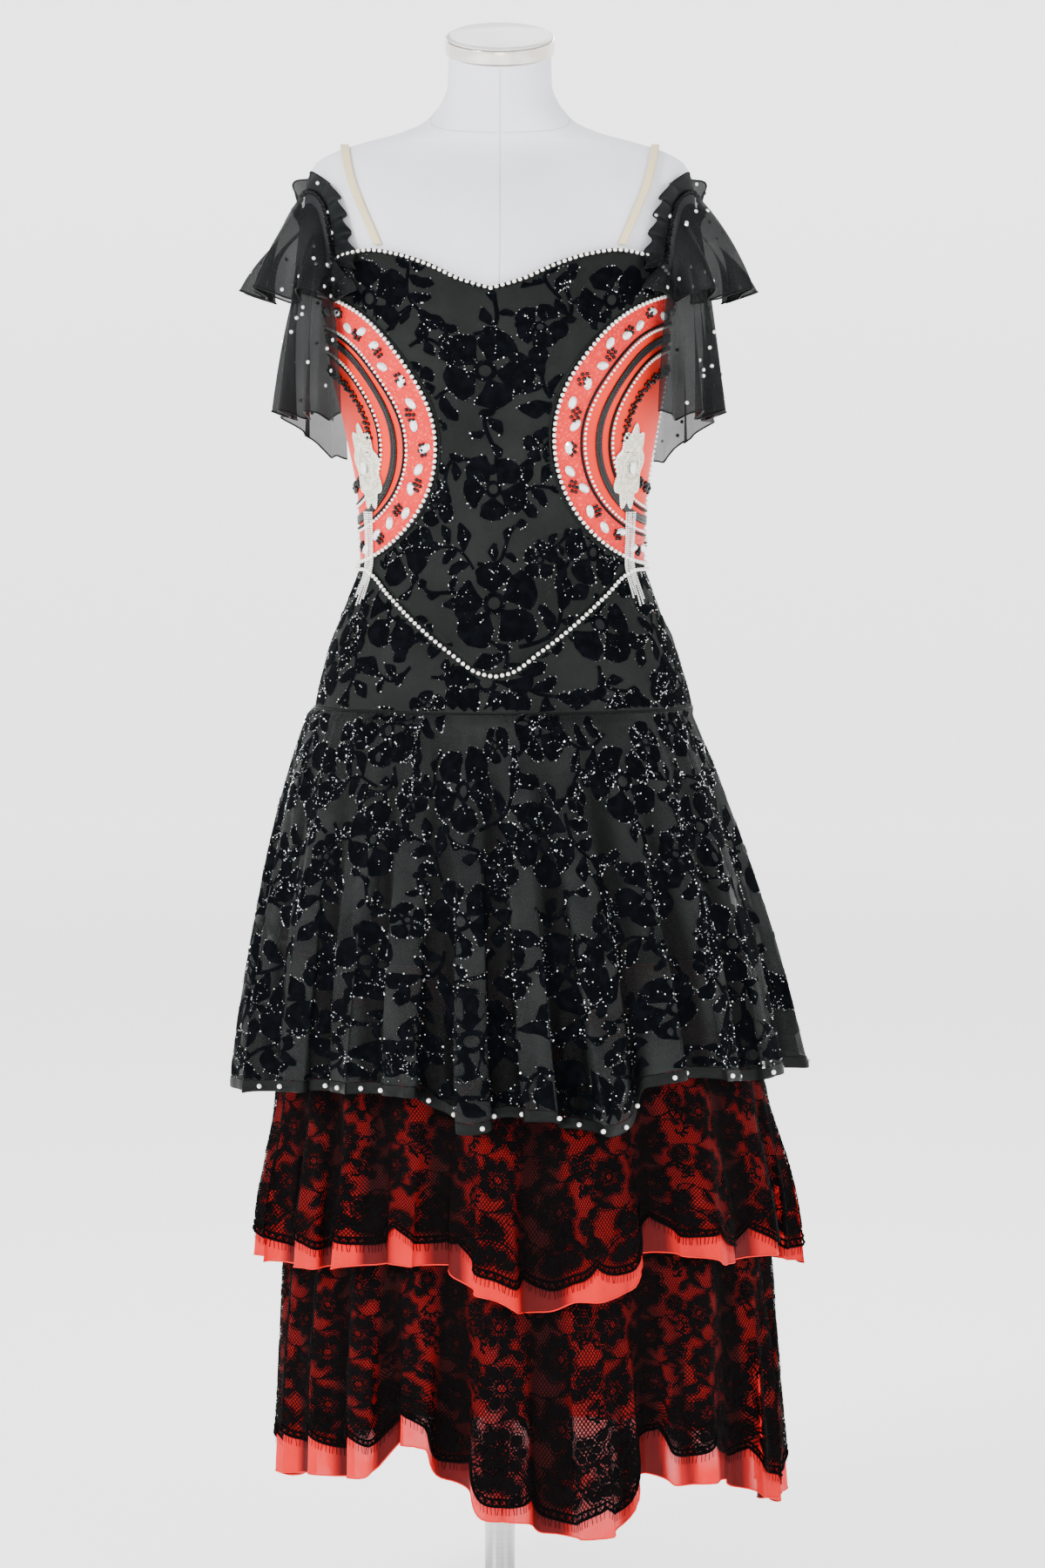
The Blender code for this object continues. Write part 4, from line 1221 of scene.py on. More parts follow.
@dataclass(frozen=True)
class Elastic:
    """Woven elastic with ribs along it."""

    name: str
    colour: Colour

    def build(self) -> Material:
        """Builds its nodes.

        Returns:
            The material.
        """
        graph = Graph(self.name)
        u, v = graph.cloth_place()
        ribs = 0.5 + 0.5 * graph.sine(u * (2 * math.pi / (1.1 * MM)))
        picks = 0.5 + 0.5 * graph.sine(v * (2 * math.pi / (0.9 * MM)))
        # Darker where ribs and picks lie low: painted shade in the weave's grooves.
        share = graph.clamp(ribs * 0.5 + picks * 0.5)
        return graph.finish(
            Base_Color=graph.mix(share, shaded(self.colour, 0.62), self.colour),
            Roughness=0.62,
            Normal=graph.bump(ribs * 0.7 + picks * 0.3, 0.25 * MM),
            Specular_IOR_Level=0.2,
        )


@dataclass(frozen=True)
class Brushed:
    """Metal brushed in rings round the pole."""

    name: str
    colour: Colour

    def build(self) -> Material:
        """Builds its nodes.

        Returns:
            The material.
        """
        graph = Graph(self.name)
        x, y, height = graph.axes(graph.place())
        radius = graph.maths("SQRT", x * x + y * y)
        rings = graph.node(
            "ShaderNodeTexNoise", {"noise_dimensions": "1D"},
            {"W": radius * 900.0 + height * 500.0, "Scale": 1.0, "Detail": 4.0},
        )
        return graph.finish(
            Base_Color=graph.mix(rings, shaded(self.colour, 0.7), self.colour),
            Roughness=graph.clamp(0.22 + rings * 0.2),
            Metallic=1.0,
            Normal=graph.bump(rings, 0.05 * MM, 0.4),
        )


@dataclass(frozen=True)
class Paper:
    """The backdrop's matt paper, which glows a little so that it stays pale."""

    name: str
    colour: Colour
    glow: float

    def build(self) -> Material:
        """Builds its nodes.

        Returns:
            The material.
        """
        return Graph(self.name).finish(
            Base_Color=self.colour, Roughness=0.9, Emission_Color=(1.0, 1.0, 1.0),
            Emission_Strength=self.glow,
        )


class Finish(Enum):
    """Every finish of the dress, of its form and of the set."""

    LINEN = Woven("form_linen", rgb(229, 230, 236), rgb(212, 213, 222), 0.85, 0.9 * MM, sheen=0.1)
    SEAM = Woven("seam_thread", rgb(206, 207, 216), rgb(176, 178, 190), 0.9)
    CAP_PLATE = Glossy("cap_plate", rgb(206, 205, 204), rgb(190, 189, 188), 0.42, 0.0, 0.2, 30.0)
    CHROME = Glossy("chrome", rgb(226, 220, 210), rgb(206, 198, 186), 0.12, 1.0, grain=60.0)
    STAND = Brushed("stand_metal", rgb(206, 206, 208))
    # The devoré ground's spread from light to dark across its cloud patches is partly uneven dye
    # and partly painted sheen.
    DEVORE = Woven(
        "devore_ground", rgb(30, 33, 31), rgb(8, 10, 10), 0.62, crinkle=0.3 * MM, shine=0.06
    )
    # Its spread from light to dark across the cloud patches is partly uneven dye and partly painted
    # sheen.
    SHEER_DEVORE = Woven(
        "sheer_devore", rgb(33, 36, 35), rgb(12, 14, 14), 0.6, cover=0.85, crinkle=0.2 * MM,
        shine=0.07, patchy=0.7,
    )
    VELVET = Velvet("cut_velvet", rgb(4, 5, 7))
    GLITTER = Glossy("glitter", rgb(236, 240, 240), rgb(170, 182, 182), 0.26, 1.0, grain=900.0)
    SATIN = Woven("black_satin", rgb(10, 12, 12), rgb(5, 6, 6), 0.42, 0.5 * MM, shine=0.09)
    LINING = Woven("black_lining", rgb(13, 14, 15), rgb(6, 6, 7), 0.7)
    CORAL = Woven("coral_sateen", rgb(226, 44, 20), rgb(204, 28, 12), 0.5, 0.6 * MM, shine=0.15)
    CORAL_BAND = Sequinned("coral_band", rgb(208, 20, 20), rgb(240, 66, 58))
    CORAL_CHIFFON = Woven(
        "coral_chiffon", rgb(212, 15, 20), rgb(174, 6, 12), 0.62, 0.7 * MM, 0.97, crinkle=0.8 * MM
    )
    # The rolled hem is opaque, as rolled cloth is, and a little brighter than the chiffon: painted
    # light where light shines through the edge.
    CORAL_EDGE = Woven("coral_edge", rgb(218, 26, 24), rgb(194, 14, 14), 0.55, 0.7 * MM)
    NET = Net("black_net", rgb(6, 4, 4))
    LACE = Woven(
        "black_lace", rgb(8, 6, 7), rgb(3, 2, 2), 0.9, 1.1 * MM, crinkle=0.6 * MM, shine=0.03
    )
    CHIFFON = Woven(
        "black_chiffon", rgb(15, 18, 19), rgb(6, 7, 8), 0.55, 0.7 * MM, 0.86, crinkle=0.5 * MM
    )
    RUCHE = Woven(
        "black_ruche", rgb(15, 18, 19), rgb(6, 7, 8), 0.55, 0.7 * MM, 0.96, crinkle=0.5 * MM
    )
    CORD = Woven("rolled_edge", rgb(9, 10, 11), rgb(4, 4, 5), 0.5)
    ELASTIC = Elastic("nude_elastic", rgb(240, 222, 180))
    PEARL = Glossy("pearl", rgb(250, 248, 244), rgb(232, 228, 222), 0.22, 0.0, 0.7, 500.0)
    STONE = Glossy("pale_stone", rgb(252, 252, 252), rgb(206, 212, 216), 0.08, 0.35, 1.0, 700.0)
    BLACK_BEAD = Glossy("black_bead", rgb(4, 3, 4), rgb(11, 9, 10), 0.2, shine=0.3)
    SILVER_BEAD = Glossy(
        "silver_bead", rgb(236, 232, 214), rgb(176, 172, 148), 0.2, 0.7, 0.6, 500.0
    )
    WHITE_BEAD = Glossy("white_bead", rgb(250, 250, 247), rgb(222, 222, 216), 0.25, 0.1, 0.8, 500.0)
    PAPER = Paper("paper", (0.93, 0.93, 0.93), 1.25)

    @cached_property
    def made(self) -> Material:
        """Its material, built when it is first asked for."""
        return self.value.build()


# ---- small shapes laid on cloth


def polar(turn: float, reach: float) -> tuple[float, float]:
    """A flat place at an angle and a distance."""
    return reach * math.cos(turn), reach * math.sin(turn)


def blade(
    start: tuple[float, float], turn: float, length: float, width: float,
    bend: float = 0.0, full: float = 0.75, stations: int = 7, across: int = 4, ragged: float = 0.0,
) -> Array:
    """A petal or leaf, flat.

    Args:
        start: its root.
        turn: the way it points, in radians from +u towards +v.
        length: of its middle line.
        width: at its fullest.
        bend: how far its middle line bows sideways, as a share of the length.
        full: below 1 the fullest place is nearer the tip.
        stations: points along it.
        across: points across it.
        ragged: how uneven its edge is, as a share of its width.

    Returns:
        stations x across x 2 places.
    """
    share = np.linspace(0, 1, stations)
    side = np.array([-math.sin(turn), math.cos(turn)])
    middle = np.array(start) + np.array(polar(turn, 1.0)) * (length * share)[:, None]
    middle = middle + side * (bend * length * np.sin(np.pi * share))[:, None]
    half = width / 2 * (0.04 + 0.96 * np.sin(np.pi * share ** (1 / full)) ** 0.7)
    sides = np.linspace(-1, 1, across)
    nibbled = 1 + ragged * np.sin(11 * share[:, None] + 2.6 * sides + 5 * turn) * np.abs(sides)
    return middle[:, None] + side * (half[:, None] * sides * nibbled)[..., None]


def rim_of(shape: Array) -> Array:
    """The closed outline of a flat shape's grid of places."""
    return np.concatenate([shape[:, 0], shape[::-1, -1], shape[:1, 0]])


def ribbon(path: Array, width: float) -> Array:
    """A narrow strip along a flat path.

    Args:
        path: its middle line.
        width: of the strip.

    Returns:
        points x 2 x 2 places.
    """
    way = unit(np.gradient(path, axis=0))
    side = np.stack([-way[:, 1], way[:, 0]], axis=1) * width / 2
    return np.stack([path - side, path + side], axis=1)


def loop_path(radius: float, count: int, lobes: int = 0, depth: float = 0.0) -> Array:
    """A closed round path, wavy where it has lobes.

    Args:
        radius: of the path.
        count: steps round it.
        lobes: how many waves.
        depth: of the waves, as a share of the radius.

    Returns:
        The places, the first one repeated at the end.
    """
    turns = np.linspace(0, 2 * np.pi, count + 1)
    reach = radius * (1 - depth + depth * np.abs(np.cos(turns * lobes / 2)))
    return np.stack([reach * np.cos(turns), reach * np.sin(turns)], axis=1)


def grown(shape: Array, out: float) -> Array:
    """The outline of a flat shape, moved out on all sides."""
    path = rim_of(shape)
    return path + unit(path - path[:-1].mean(axis=0)) * out


@dataclass
class Motif:
    """A flat figure of velvet or lace: its solid shapes and the lines that glitter runs along."""

    shapes: list[Array] = field(default_factory=list)
    lines: list[Array] = field(default_factory=list)

    def lay(
        self, heap: Heap, chart: Chart, at: tuple[float, float],
        turn: float = 0.0, scale: float = 1.0, flip: bool = False, lift: float = 0.5 * MM,
    ) -> list[Array]:
        """Lays the figure on a piece of cloth, without what falls off its edge.

        Args:
            heap: where its shapes go.
            chart: the cloth.
            at: u and v of its middle.
            turn: radians that it is turned by.
            scale: its size.
            flip: whether it is mirrored.
            lift: off the cloth.

        Returns:
            The lines' u and v on the cloth.
        """
        across = np.array(polar(turn, 1.0)) * scale * (-1 if flip else 1)
        down = np.array([-math.sin(turn), math.cos(turn)]) * scale
        for shape in self.shapes:
            placed = np.array(at) + shape[..., :1] * across + shape[..., 1:] * down
            if flip:
                placed = placed[:, ::-1]
            rows, columns = placed.shape[:2]
            u, v = placed[..., 0].ravel(), placed[..., 1].ravel()
            faces = grid_faces(rows, columns)[:, ::-1]
            kept = faces[chart.inside(u, v)[faces].all(axis=1)]
            if len(kept):
                heap.add(chart.place(u, v, lift), kept)
        return [np.array(at) + line[:, :1] * across + line[:, 1:] * down for line in self.lines]


def velvet_flower(radius: float, petals: int) -> Motif:
    """An open flower of cut velvet: broad uneven petals round a glittering eye.

    Args:
        radius: to its petals' tips.
        petals: how many.

    Returns:
        The figure.
    """
    figure = Motif()
    for i in range(petals):
        turn = 2 * math.pi * i / petals + 0.12 * math.sin(2.3 * i)
        reach = radius * (0.80 + 0.10 * math.sin(1.7 * i + 0.4))
        width = 1.55 * radius * math.sin(math.pi / petals)
        root = polar(turn, 0.20 * radius)
        petal = blade(root, turn, reach, width, 0.06, 0.62, 13, 5, 0.13)
        figure.shapes.append(petal)
        figure.lines.append(grown(petal, 0.4 * MM)[2:-2])
        vein = petal[3:9:2, 2] + 0.05 * radius * np.array([[1, 0], [-1, 1], [0, -1]])
        figure.lines.append(vein)
    figure.shapes.append(ribbon(loop_path(0.20 * radius, 14), 0.12 * radius))
    figure.lines.append(loop_path(0.24 * radius, 14))
    return figure


def velvet_spray(length: float, leaves: int, bow: float) -> Motif:
    """A long bowed stem with uneven leaves on both sides and a bud at its tip.

    Args:
        length: of the stem.
        leaves: how many.
        bow: of the stem, as a share of its length.

    Returns:
        The figure.
    """
    share = np.linspace(0, 1, 14)
    stem = np.stack([length * (share - 0.5), bow * length * np.sin(1.5 * np.pi * share)], axis=1)
    figure = Motif([ribbon(stem, 3.2 * MM)], [stem[4:12] + 2.2 * MM])
    for i in range(leaves):
        at = stem[1 + round(i * 11 / leaves)]
        turn = (0.85 if i % 2 else -0.85) + 0.25 * math.sin(2.1 * i)
        size = length * (0.34 + 0.07 * math.sin(1.9 * i))
        leaf = blade((at[0], at[1]), turn, size, 0.46 * size, 0.10, 0.8, 10, 4, 0.16)
        figure.shapes.append(leaf)
        figure.lines.append(grown(leaf, 0.3 * MM)[: 11 if i % 2 else 19])
        if i % 2:
            figure.lines.append(leaf[2:8:2, 2] + 0.8 * MM)
    bud = blade((stem[-1, 0], stem[-1, 1]), -0.2, 0.24 * length, 0.17 * length, 0, 0.75, 9, 4, 0.12)
    figure.shapes.append(bud)
    figure.lines.append(grown(bud, 0.5 * MM))
    return figure


def lace_flower(radius: float, petals: int) -> Motif:
    """A daisy of lace: corded petals round a ring with an open middle.

    Args:
        radius: to its petals' tips.
        petals: how many.

    Returns:
        The figure.
    """
    figure = Motif()
    for i in range(petals):
        turn = 2 * math.pi * i / petals
        width = 1.14 * radius * math.sin(math.pi / petals)
        petal = blade(polar(turn, 0.30 * radius), turn, 0.66 * radius, width, full=0.68)
        figure.shapes += [petal, ribbon(grown(petal, 1.7 * MM), 0.9 * MM)]
    figure.shapes.append(ribbon(loop_path(0.20 * radius, 12), 0.09 * radius))
    return figure


def lace_leaf_pair(length: float) -> Motif:
    """Two long leaves and a teardrop loop on one stem.

    Args:
        length: of the whole figure.

    Returns:
        The figure.
    """
    figure = Motif()
    share = np.linspace(0, 1, 10)
    stem = np.stack([length * (share - 0.5), 0.10 * length * np.sin(2 * np.pi * share)], axis=1)
    figure.shapes.append(ribbon(stem, 1.2 * MM))
    for place, turn, size in ((2, 0.9, 0.42), (4, -0.8, 0.46), (7, 0.7, 0.34)):
        root = tuple(stem[place])
        leaf = blade(root, turn, size * length, 0.16 * length, 0.1, stations=6, across=3)
        figure.shapes += [leaf, ribbon(grown(leaf, 1.6 * MM), 0.9 * MM)]
    drop = blade((-0.5 * length, 0.0), math.pi - 0.5, 0.34 * length, 0.20 * length, across=3)
    figure.shapes.append(ribbon(rim_of(drop), 1.2 * MM))
    return figure


def lace_scroll(size: float) -> Motif:
    """A curl of cord with small leaves along its outer side.

    Args:
        size: across the curl.

    Returns:
        The figure.
    """
    turns = np.linspace(0.2, 4.4, 18)
    reach = size * 0.11 * turns
    path = np.stack([reach * np.cos(turns), reach * np.sin(turns)], axis=1)
    figure = Motif([ribbon(path, 2.0 * MM)], [])
    for i in range(8, 18, 2):
        turn = float(turns[i]) + 0.35
        leaf = blade(tuple(path[i]), turn, 0.30 * size, 0.14 * size, stations=5, across=3)
        figure.shapes.append(leaf)
    return figure


def lace_fan(reach: float, petals: int) -> Motif:
    """A fan of petals that stands on a scallop, with a cord arched over it.

    Args:
        reach: of its petals, upwards.
        petals: how many.

    Returns:
        The figure.
    """
    figure = Motif()
    for i in range(petals):
        turn = -math.pi / 2 + (i - (petals - 1) / 2) * 0.52
        petal = blade(polar(turn, 0.22 * reach), turn, 0.72 * reach, 0.34 * reach, full=0.66)
        figure.shapes += [petal, ribbon(grown(petal, 1.3 * MM), 0.7 * MM)]
    turns = np.linspace(-2.9, -0.24, 16)
    arch = 1.12 * reach * np.stack([np.cos(turns), np.sin(turns)], axis=1)
    figure.shapes += [ribbon(arch, 1.6 * MM), ribbon(arch * 1.12, 0.9 * MM)]
    return figure


def scattered_facets(
    heap: Heap, chart: Chart, lines: list[Array], step: float,
    size: tuple[float, float], dice: Dice, density: float, lift: float = 0.9 * MM,
) -> None:
    """Tiny bright squares at all slants, in loose clumps along lines on the cloth.

    Args:
        heap: where they go.
        chart: the cloth.
        lines: u and v along each line.
        step: from one to the next.
        size: the least and the most.
        dice: the random numbers.
        density: the share that is kept where they lie as thick as anywhere.
        lift: off the cloth.
    """
    spots = []
    for line in lines:
        spots.append(read_line(line, np.arange(step / 2, distances(line)[-1], step)))
    spot = np.concatenate(spots)
    u, v = spot.T
    clump = 0.42 + 1.1 * np.sin(u * 134 + 1.7 * np.sin(v * 103)) * np.sin(v * 119)
    spot = spot[dice.random(len(spot)) < density * np.clip(clump, 0.12, 1)]
    spot = spot + dice.normal(0, 0.42 * step, spot.shape)
    spot = spot[chart.inside(spot[:, 0], spot[:, 1])]
    middle = chart.place(spot[:, 0], spot[:, 1], lift)
    one = unit(dice.normal(size=(len(spot), 3)))
    other = unit(np.cross(one, dice.normal(size=(len(spot), 3))))
    half = size[0] / 2 + (size[1] - size[0]) / 2 * dice.random((len(spot), 1)) ** 2.5
    signs = ((-1, -1), (1, -1), (1, 1), (-1, 1))
    heap.add(np.stack([middle + (one * a + other * b) * half for a, b in signs], axis=1), QUAD)


def spaced(line: Array, pitch: float, closed: bool = False) -> tuple[Array, Array]:
    """Evenly spaced places along a line in space.

    Args:
        line: its points.
        pitch: from one place to the next, about.
        closed: whether the line ends where it starts.

    Returns:
        The places, and the unit directions there.
    """
    length = distances(line)[-1]
    count = max(2, round(length / pitch))
    places = np.linspace(0, length, count if closed else count + 1, endpoint=not closed)
    before, after = np.clip([places - pitch / 4, places + pitch / 4], 0, length)
    return read_line(line, places), unit(read_line(line, after) - read_line(line, before))


def upright(way: Array) -> Array:
    """The Z axis, or the X axis for a direction that is nearly upright itself."""
    return np.where(np.abs(way[:, 2:]) > 0.9, [[1.0, 0, 0]], [[0, 0, 1.0]])


def tube(line: Array, radius: float, sides: int = 6) -> tuple[Array, Array]:
    """A round cord along a line in space.

    Args:
        line: its middle line.
        radius: of the cord.
        sides: round it.

    Returns:
        Its points and quads; its ends are drawn in to a narrow tip.
    """
    way = unit(np.gradient(line, axis=0))
    side = unit(np.cross(way, upright(way)))
    up = np.cross(side, way)
    turns = np.linspace(0, 2 * np.pi, sides + 1)
    girth = np.full(len(line), radius)
    girth[[0, -1]] = radius * 0.15
    rings = line[:, None] + girth[:, None, None] * (
        side[:, None] * np.cos(turns)[:, None] + up[:, None] * np.sin(turns)[:, None]
    )
    at = np.arange(len(line) * (sides + 1))
    at[at % (sides + 1) == sides] -= sides
    return rings.reshape(-1, 3), at[grid_faces(len(line), sides + 1)]


def frames_on(
    chart: Chart, u: Array, v: Array, turn: Array | float, lift: Array | float
) -> tuple[Array, Array, Array, Array]:
    """Places on cloth, each with the three directions of what lies there.

    Args:
        chart: the cloth.
        u: metres along.
        v: metres down.
        turn: radians from +u towards +v that the thing's length points.
        lift: off the cloth.

    Returns:
        Middles, directions along and across the thing, and normals.
    """
    step = 0.5 * MM
    middle = chart.place(u, v, lift)
    along_u = chart.place(u + step, v, lift) - middle
    along_v = chart.place(u, v + step, lift) - middle
    turn = np.broadcast_to(np.asarray(turn, float), np.shape(u))[:, None]
    along = unit(along_u * np.cos(turn) + along_v * np.sin(turn))
    normal = unit(np.cross(along_v, along_u))
    return middle, along, np.cross(normal, along), normal


@dataclass
class Pattern:
    """A small shape modelled once and copied many times, each copy turned its own way."""

    points: Array
    faces: Array

    def copies(
        self, heap: Heap, middle: Array, along: Array, across: Array, normal: Array,
        size: Array | float = 1.0,
    ) -> None:
        """Adds copies to a heap.

        Args:
            heap: where they go.
            middle: where each one's origin lies.
            along: the direction of each one's X.
            across: the direction of each one's Y.
            normal: the direction of each one's Z.
            size: their scale.
        """
        p = self.points[None] * np.asarray(size, float).reshape(-1, 1, 1)
        placed = middle[:, None] + sum(
            p[..., k : k + 1] * axis[:, None] for k, axis in enumerate((along, across, normal))
        )
        heap.add(placed, self.faces)

    def string(self, heap: Heap, line: Array, pitch: float, closed: bool = False) -> None:
        """Threads copies along a line in space, with their X along it.

        Args:
            heap: where they go.
            line: its points.
            pitch: from one to the next.
            closed: whether it ends where it starts.
        """
        middle, along = spaced(line, pitch, closed)
        across = unit(np.cross(upright(along), along))
        self.copies(heap, middle, along, across, np.cross(along, across))


@dataclass
class BeadBox:
    """The small hard things that are sewn on, each modelled once at its real size."""

    pearl_radius: float = 2.0 * MM
    seed_radius: float = 1.0 * MM
    bugle_length: float = 3.4 * MM
    bugle_radius: float = 0.75 * MM
    stone_length: float = 12.5 * MM
    stone_width: float = 7.6 * MM
    stone_height: float = 2.6 * MM
    gem_radius: float = 1.6 * MM
    pearl: Pattern = field(init=False)
    seed: Pattern = field(init=False)
    bugle: Pattern = field(init=False)
    stone: Pattern = field(init=False)
    gem: Pattern = field(init=False)

    def __post_init__(self) -> None:
        """Models the patterns."""
        self.pearl = self.ball(self.pearl_radius, 2)
        self.seed = self.ball(self.seed_radius, 1)
        self.bugle = self.model_bugle()
        self.stone = self.model_stone()
        self.gem = self.model_gem()

    @staticmethod
    def ball(radius: float, rounds: int) -> Pattern:
        """A bead with a small flat where it is sewn down.

        Args:
            radius: of the bead.
            rounds: of subdivision.

        Returns:
            The pattern, its flat on the -Z side.
        """
        made = Workbench.start(
            bpy.ops.mesh.primitive_ico_sphere_add, subdivisions=rounds, radius=radius
        )
        bpy.ops.mesh.select_all(action="SELECT")
        bpy.ops.transform.resize(value=(0.97, 0.97, 1.0))
        Workbench.pick(made, lambda face: face.normal.z < -0.9)
        bpy.ops.transform.translate(value=(0, 0, 0.12 * radius))
        return Workbench.pattern()

    def model_bugle(self) -> Pattern:
        """A short glass tube with chamfered ends, along X.

        Returns:
            The pattern.
        """
        made = Workbench.start(
            bpy.ops.mesh.primitive_cylinder_add, vertices=6, radius=self.bugle_radius,
            depth=self.bugle_length, end_fill_type="NGON",
        )
        Workbench.pick(made, lambda face: abs(face.normal.z) > 0.9)
        bpy.ops.mesh.inset(thickness=0.35 * self.bugle_radius, depth=0.25 * self.bugle_radius)
        bpy.ops.mesh.select_all(action="SELECT")
        bpy.ops.transform.rotate(value=math.pi / 2, orient_axis="Y", center_override=(0, 0, 0))
        return Workbench.pattern()

    def model_stone(self) -> Pattern:
        """A marquise stone: a long oval with sloping facets round a flat table.

        Returns:
            The pattern.
        """
        Workbench.plate(10, self.stone_length / 2)
        bpy.ops.transform.resize(value=(1.0, self.stone_width / self.stone_length, 1.0))
        Workbench.rise(0.35 * self.stone_height)
        bpy.ops.mesh.inset(thickness=0.20 * self.stone_width, depth=0.65 * self.stone_height)
        return Workbench.pattern()

    def model_gem(self) -> Pattern:
        """A small round stone with eight facets, 3 mm across.

        Returns:
            The pattern.
        """
        Workbench.plate(8, self.gem_radius)
        Workbench.rise(0.4 * MM)
        bpy.ops.mesh.inset(thickness=0.6 * MM, depth=0.7 * MM)
        return Workbench.pattern()


# ---- the dress form and its stand


def lay_round(made: Thing, radius: float = 0.15) -> None:
    """Gives a round piece its UV map in metres: u round the Z axis, v up.

    Args:
        made: the piece.
        radius: that turns bearings into metres.
    """
    mesh = made.data
    corner = np.empty(len(mesh.loops), np.int32)
    mesh.loops.foreach_get("vertex_index", corner)
    points = np.array([vertex.co for vertex in mesh.vertices])[corner]
    u = np.arctan2(points[:, 0], -points[:, 1]) * radius
    sizes = [polygon.loop_total for polygon in mesh.polygons]
    first = u[np.repeat([polygon.loop_start for polygon in mesh.polygons], sizes)]
    turn = 2 * math.pi * radius
    u += turn * np.round((first - u) / turn)
    layer = mesh.uv_layers.new(name="cloth")
    layer.uv.foreach_set("vector", np.stack([u, points[:, 2]], axis=1).astype(np.float32).ravel())


@dataclass
class DressForm:
    """The pale form without limbs, its neck cap, and the pole and base that it stands on."""

    columns: int = 96
    ring_step: float = 8 * MM
    seam_radius: float = 0.5 * MM
    neck_seam_front: float = 1.3735
    neck_seam_rise: float = 0.0185
    seam_foot: float = 1.05
    cap_radius: float = 0.050
    cap_tilt: float = math.radians(19)
    rim_foot: float = 0.4 * MM
    rim_height: float = 0.013
    plate_height: float = 0.004
    plate_inset: float = 1.5 * MM
    pole_radius: float = 0.014
    base_radius: float = 0.160
    collar_radius: float = 0.026
    collar_height: float = 0.038
    gap: float = 0.3 * MM
    sharp: float = math.radians(25)  # edges sharper than this are rounded

    def build(self) -> None:
        """Builds the form and its stand."""
        self.body()
        self.seams()
        self.neck_cap()
        self.stand()

    def body(self) -> None:
        """A round plate drawn up ring by ring, and each ring settled on the form's section."""
        dense = np.linspace(FORM.key[0], FORM.key[-1], 600)
        along = distances(on_form(np.full(600, 90.0), dense))
        count = round(along[-1] / self.ring_step)
        heights = np.interp(np.linspace(0, along[-1], count + 1), along, dense)
        made = Workbench.plate(self.columns, 1.0)
        for _ in range(count):
            Workbench.rise(1.0)
        bpy.ops.object.mode_set(mode="OBJECT")
        for vertex in made.data.vertices:
            bearing = math.degrees(math.atan2(vertex.co.x, -vertex.co.y))
            vertex.co = on_form(bearing, heights[round(vertex.co.z)])
        bpy.ops.object.mode_set(mode="EDIT")
        Workbench.face_out()
        Workbench.close(made, "linen_form", Finish.LINEN, 60)
        lay_round(made)
        declare(made, "form_linen", "form_body")

    def seams(self) -> None:
        """The seam round the foot of the neck, and those down the middle in front and behind."""
        heap = Heap()
        bearings = np.linspace(0, 360, 97)
        rise = self.neck_seam_rise * (1 - np.cos(np.radians(bearings)))
        heap.add(*tube(on_form(bearings, self.neck_seam_front + rise), self.seam_radius))
        heights = np.linspace(FORM.key[-1] - 1 * MM, self.seam_foot, 90)
        for bearing in (0.0, 180.0):
            heap.add(*tube(on_form(np.full(90, bearing), heights), self.seam_radius))
        heap.make("form_seams", Finish.SEAM, "form_linen")

    @staticmethod
    def risen(
        start: float, steps: tuple[tuple[float, float], ...], vertices: int, bevel: float
    ) -> Thing:
        """A turned shape: a round plate drawn up through rings, its sharp edges rounded.

        Args:
            start: the plate's radius, at height 0.
            steps: the radius and height of each further ring.
            vertices: round it.
            bevel: how far in its edges are rounded.

        Returns:
            The object, in edit mode.
        """
        made = Workbench.plate(vertices, start)
        radius, level = start, 0.0
        for wide, high in steps:
            Workbench.rise(high - level, wide / radius)
            radius, level = wide, high
        Workbench.face_out()
        bpy.ops.mesh.select_mode(type="EDGE")
        bpy.ops.mesh.select_all(action="DESELECT")
        bpy.ops.mesh.edges_select_sharp(sharpness=DressForm.sharp)
        bpy.ops.mesh.bevel(offset=bevel, segments=3, affect="EDGES")
        return made

    def neck_cap(self) -> None:
        """A polished rim with a pale plate on it, tilted with the neck."""
        rim_top, inner = self.rim_height, self.cap_radius - self.plate_inset
        pieces = (
            (
                "cap_rim", self.cap_radius, ((self.cap_radius, rim_top - self.rim_foot),),
                self.rim_foot, Finish.CHROME, "polished_metal", "neck_cap_rim",
            ),
            (
                "cap_plate", inner,
                (
                    (inner, 1.5 * MM), (inner - 3 * MM, 3.0 * MM),
                    (0.3 * inner, self.plate_height - self.gap),
                ),
                rim_top + self.gap, Finish.CAP_PLATE, "cap_plate", "neck_cap_plate",
            ),
        )
        for name, radius, steps, foot, finish, slot, node in pieces:
            made = self.risen(radius, steps, 96, 0.5 * MM)
            Workbench.close(made, name, finish)
            tilt = Matrix.Rotation(self.cap_tilt, 4, "X")
            made.data.transform(
                Matrix.Translation((0, 0, FORM.key[-1])) @ tilt @ Matrix.Translation((0, 0, foot))
            )
            declare(made, slot, node)

    def stand(self) -> None:
        """The round base with its collar, and the pole."""
        collar, rim = self.collar_radius, self.base_radius
        steps = (
            (rim, 5 * MM), (rim - 6 * MM, 9 * MM), (collar + 30 * MM, 11 * MM),
            (collar + 6 * MM, 12 * MM), (collar + 1.5 * MM, 14 * MM), (collar, 18 * MM),
            (collar, self.collar_height - 3 * MM), (collar - 3 * MM, self.collar_height),
        )
        base = self.risen(rim, steps, 120, 0.9 * MM)
        Workbench.close(base, "round_base", Finish.STAND)
        declare(base, "stand_metal", "stand_base")
        foot = self.collar_height + self.gap
        length = FORM.key[0] - self.gap - foot
        pole = self.risen(self.pole_radius, ((self.pole_radius, length),), 48, 0.8 * MM)
        Workbench.close(pole, "pole", Finish.STAND)
        pole.data.transform(Matrix.Translation((0, 0, foot)))
        declare(pole, "stand_metal", "stand_pole")


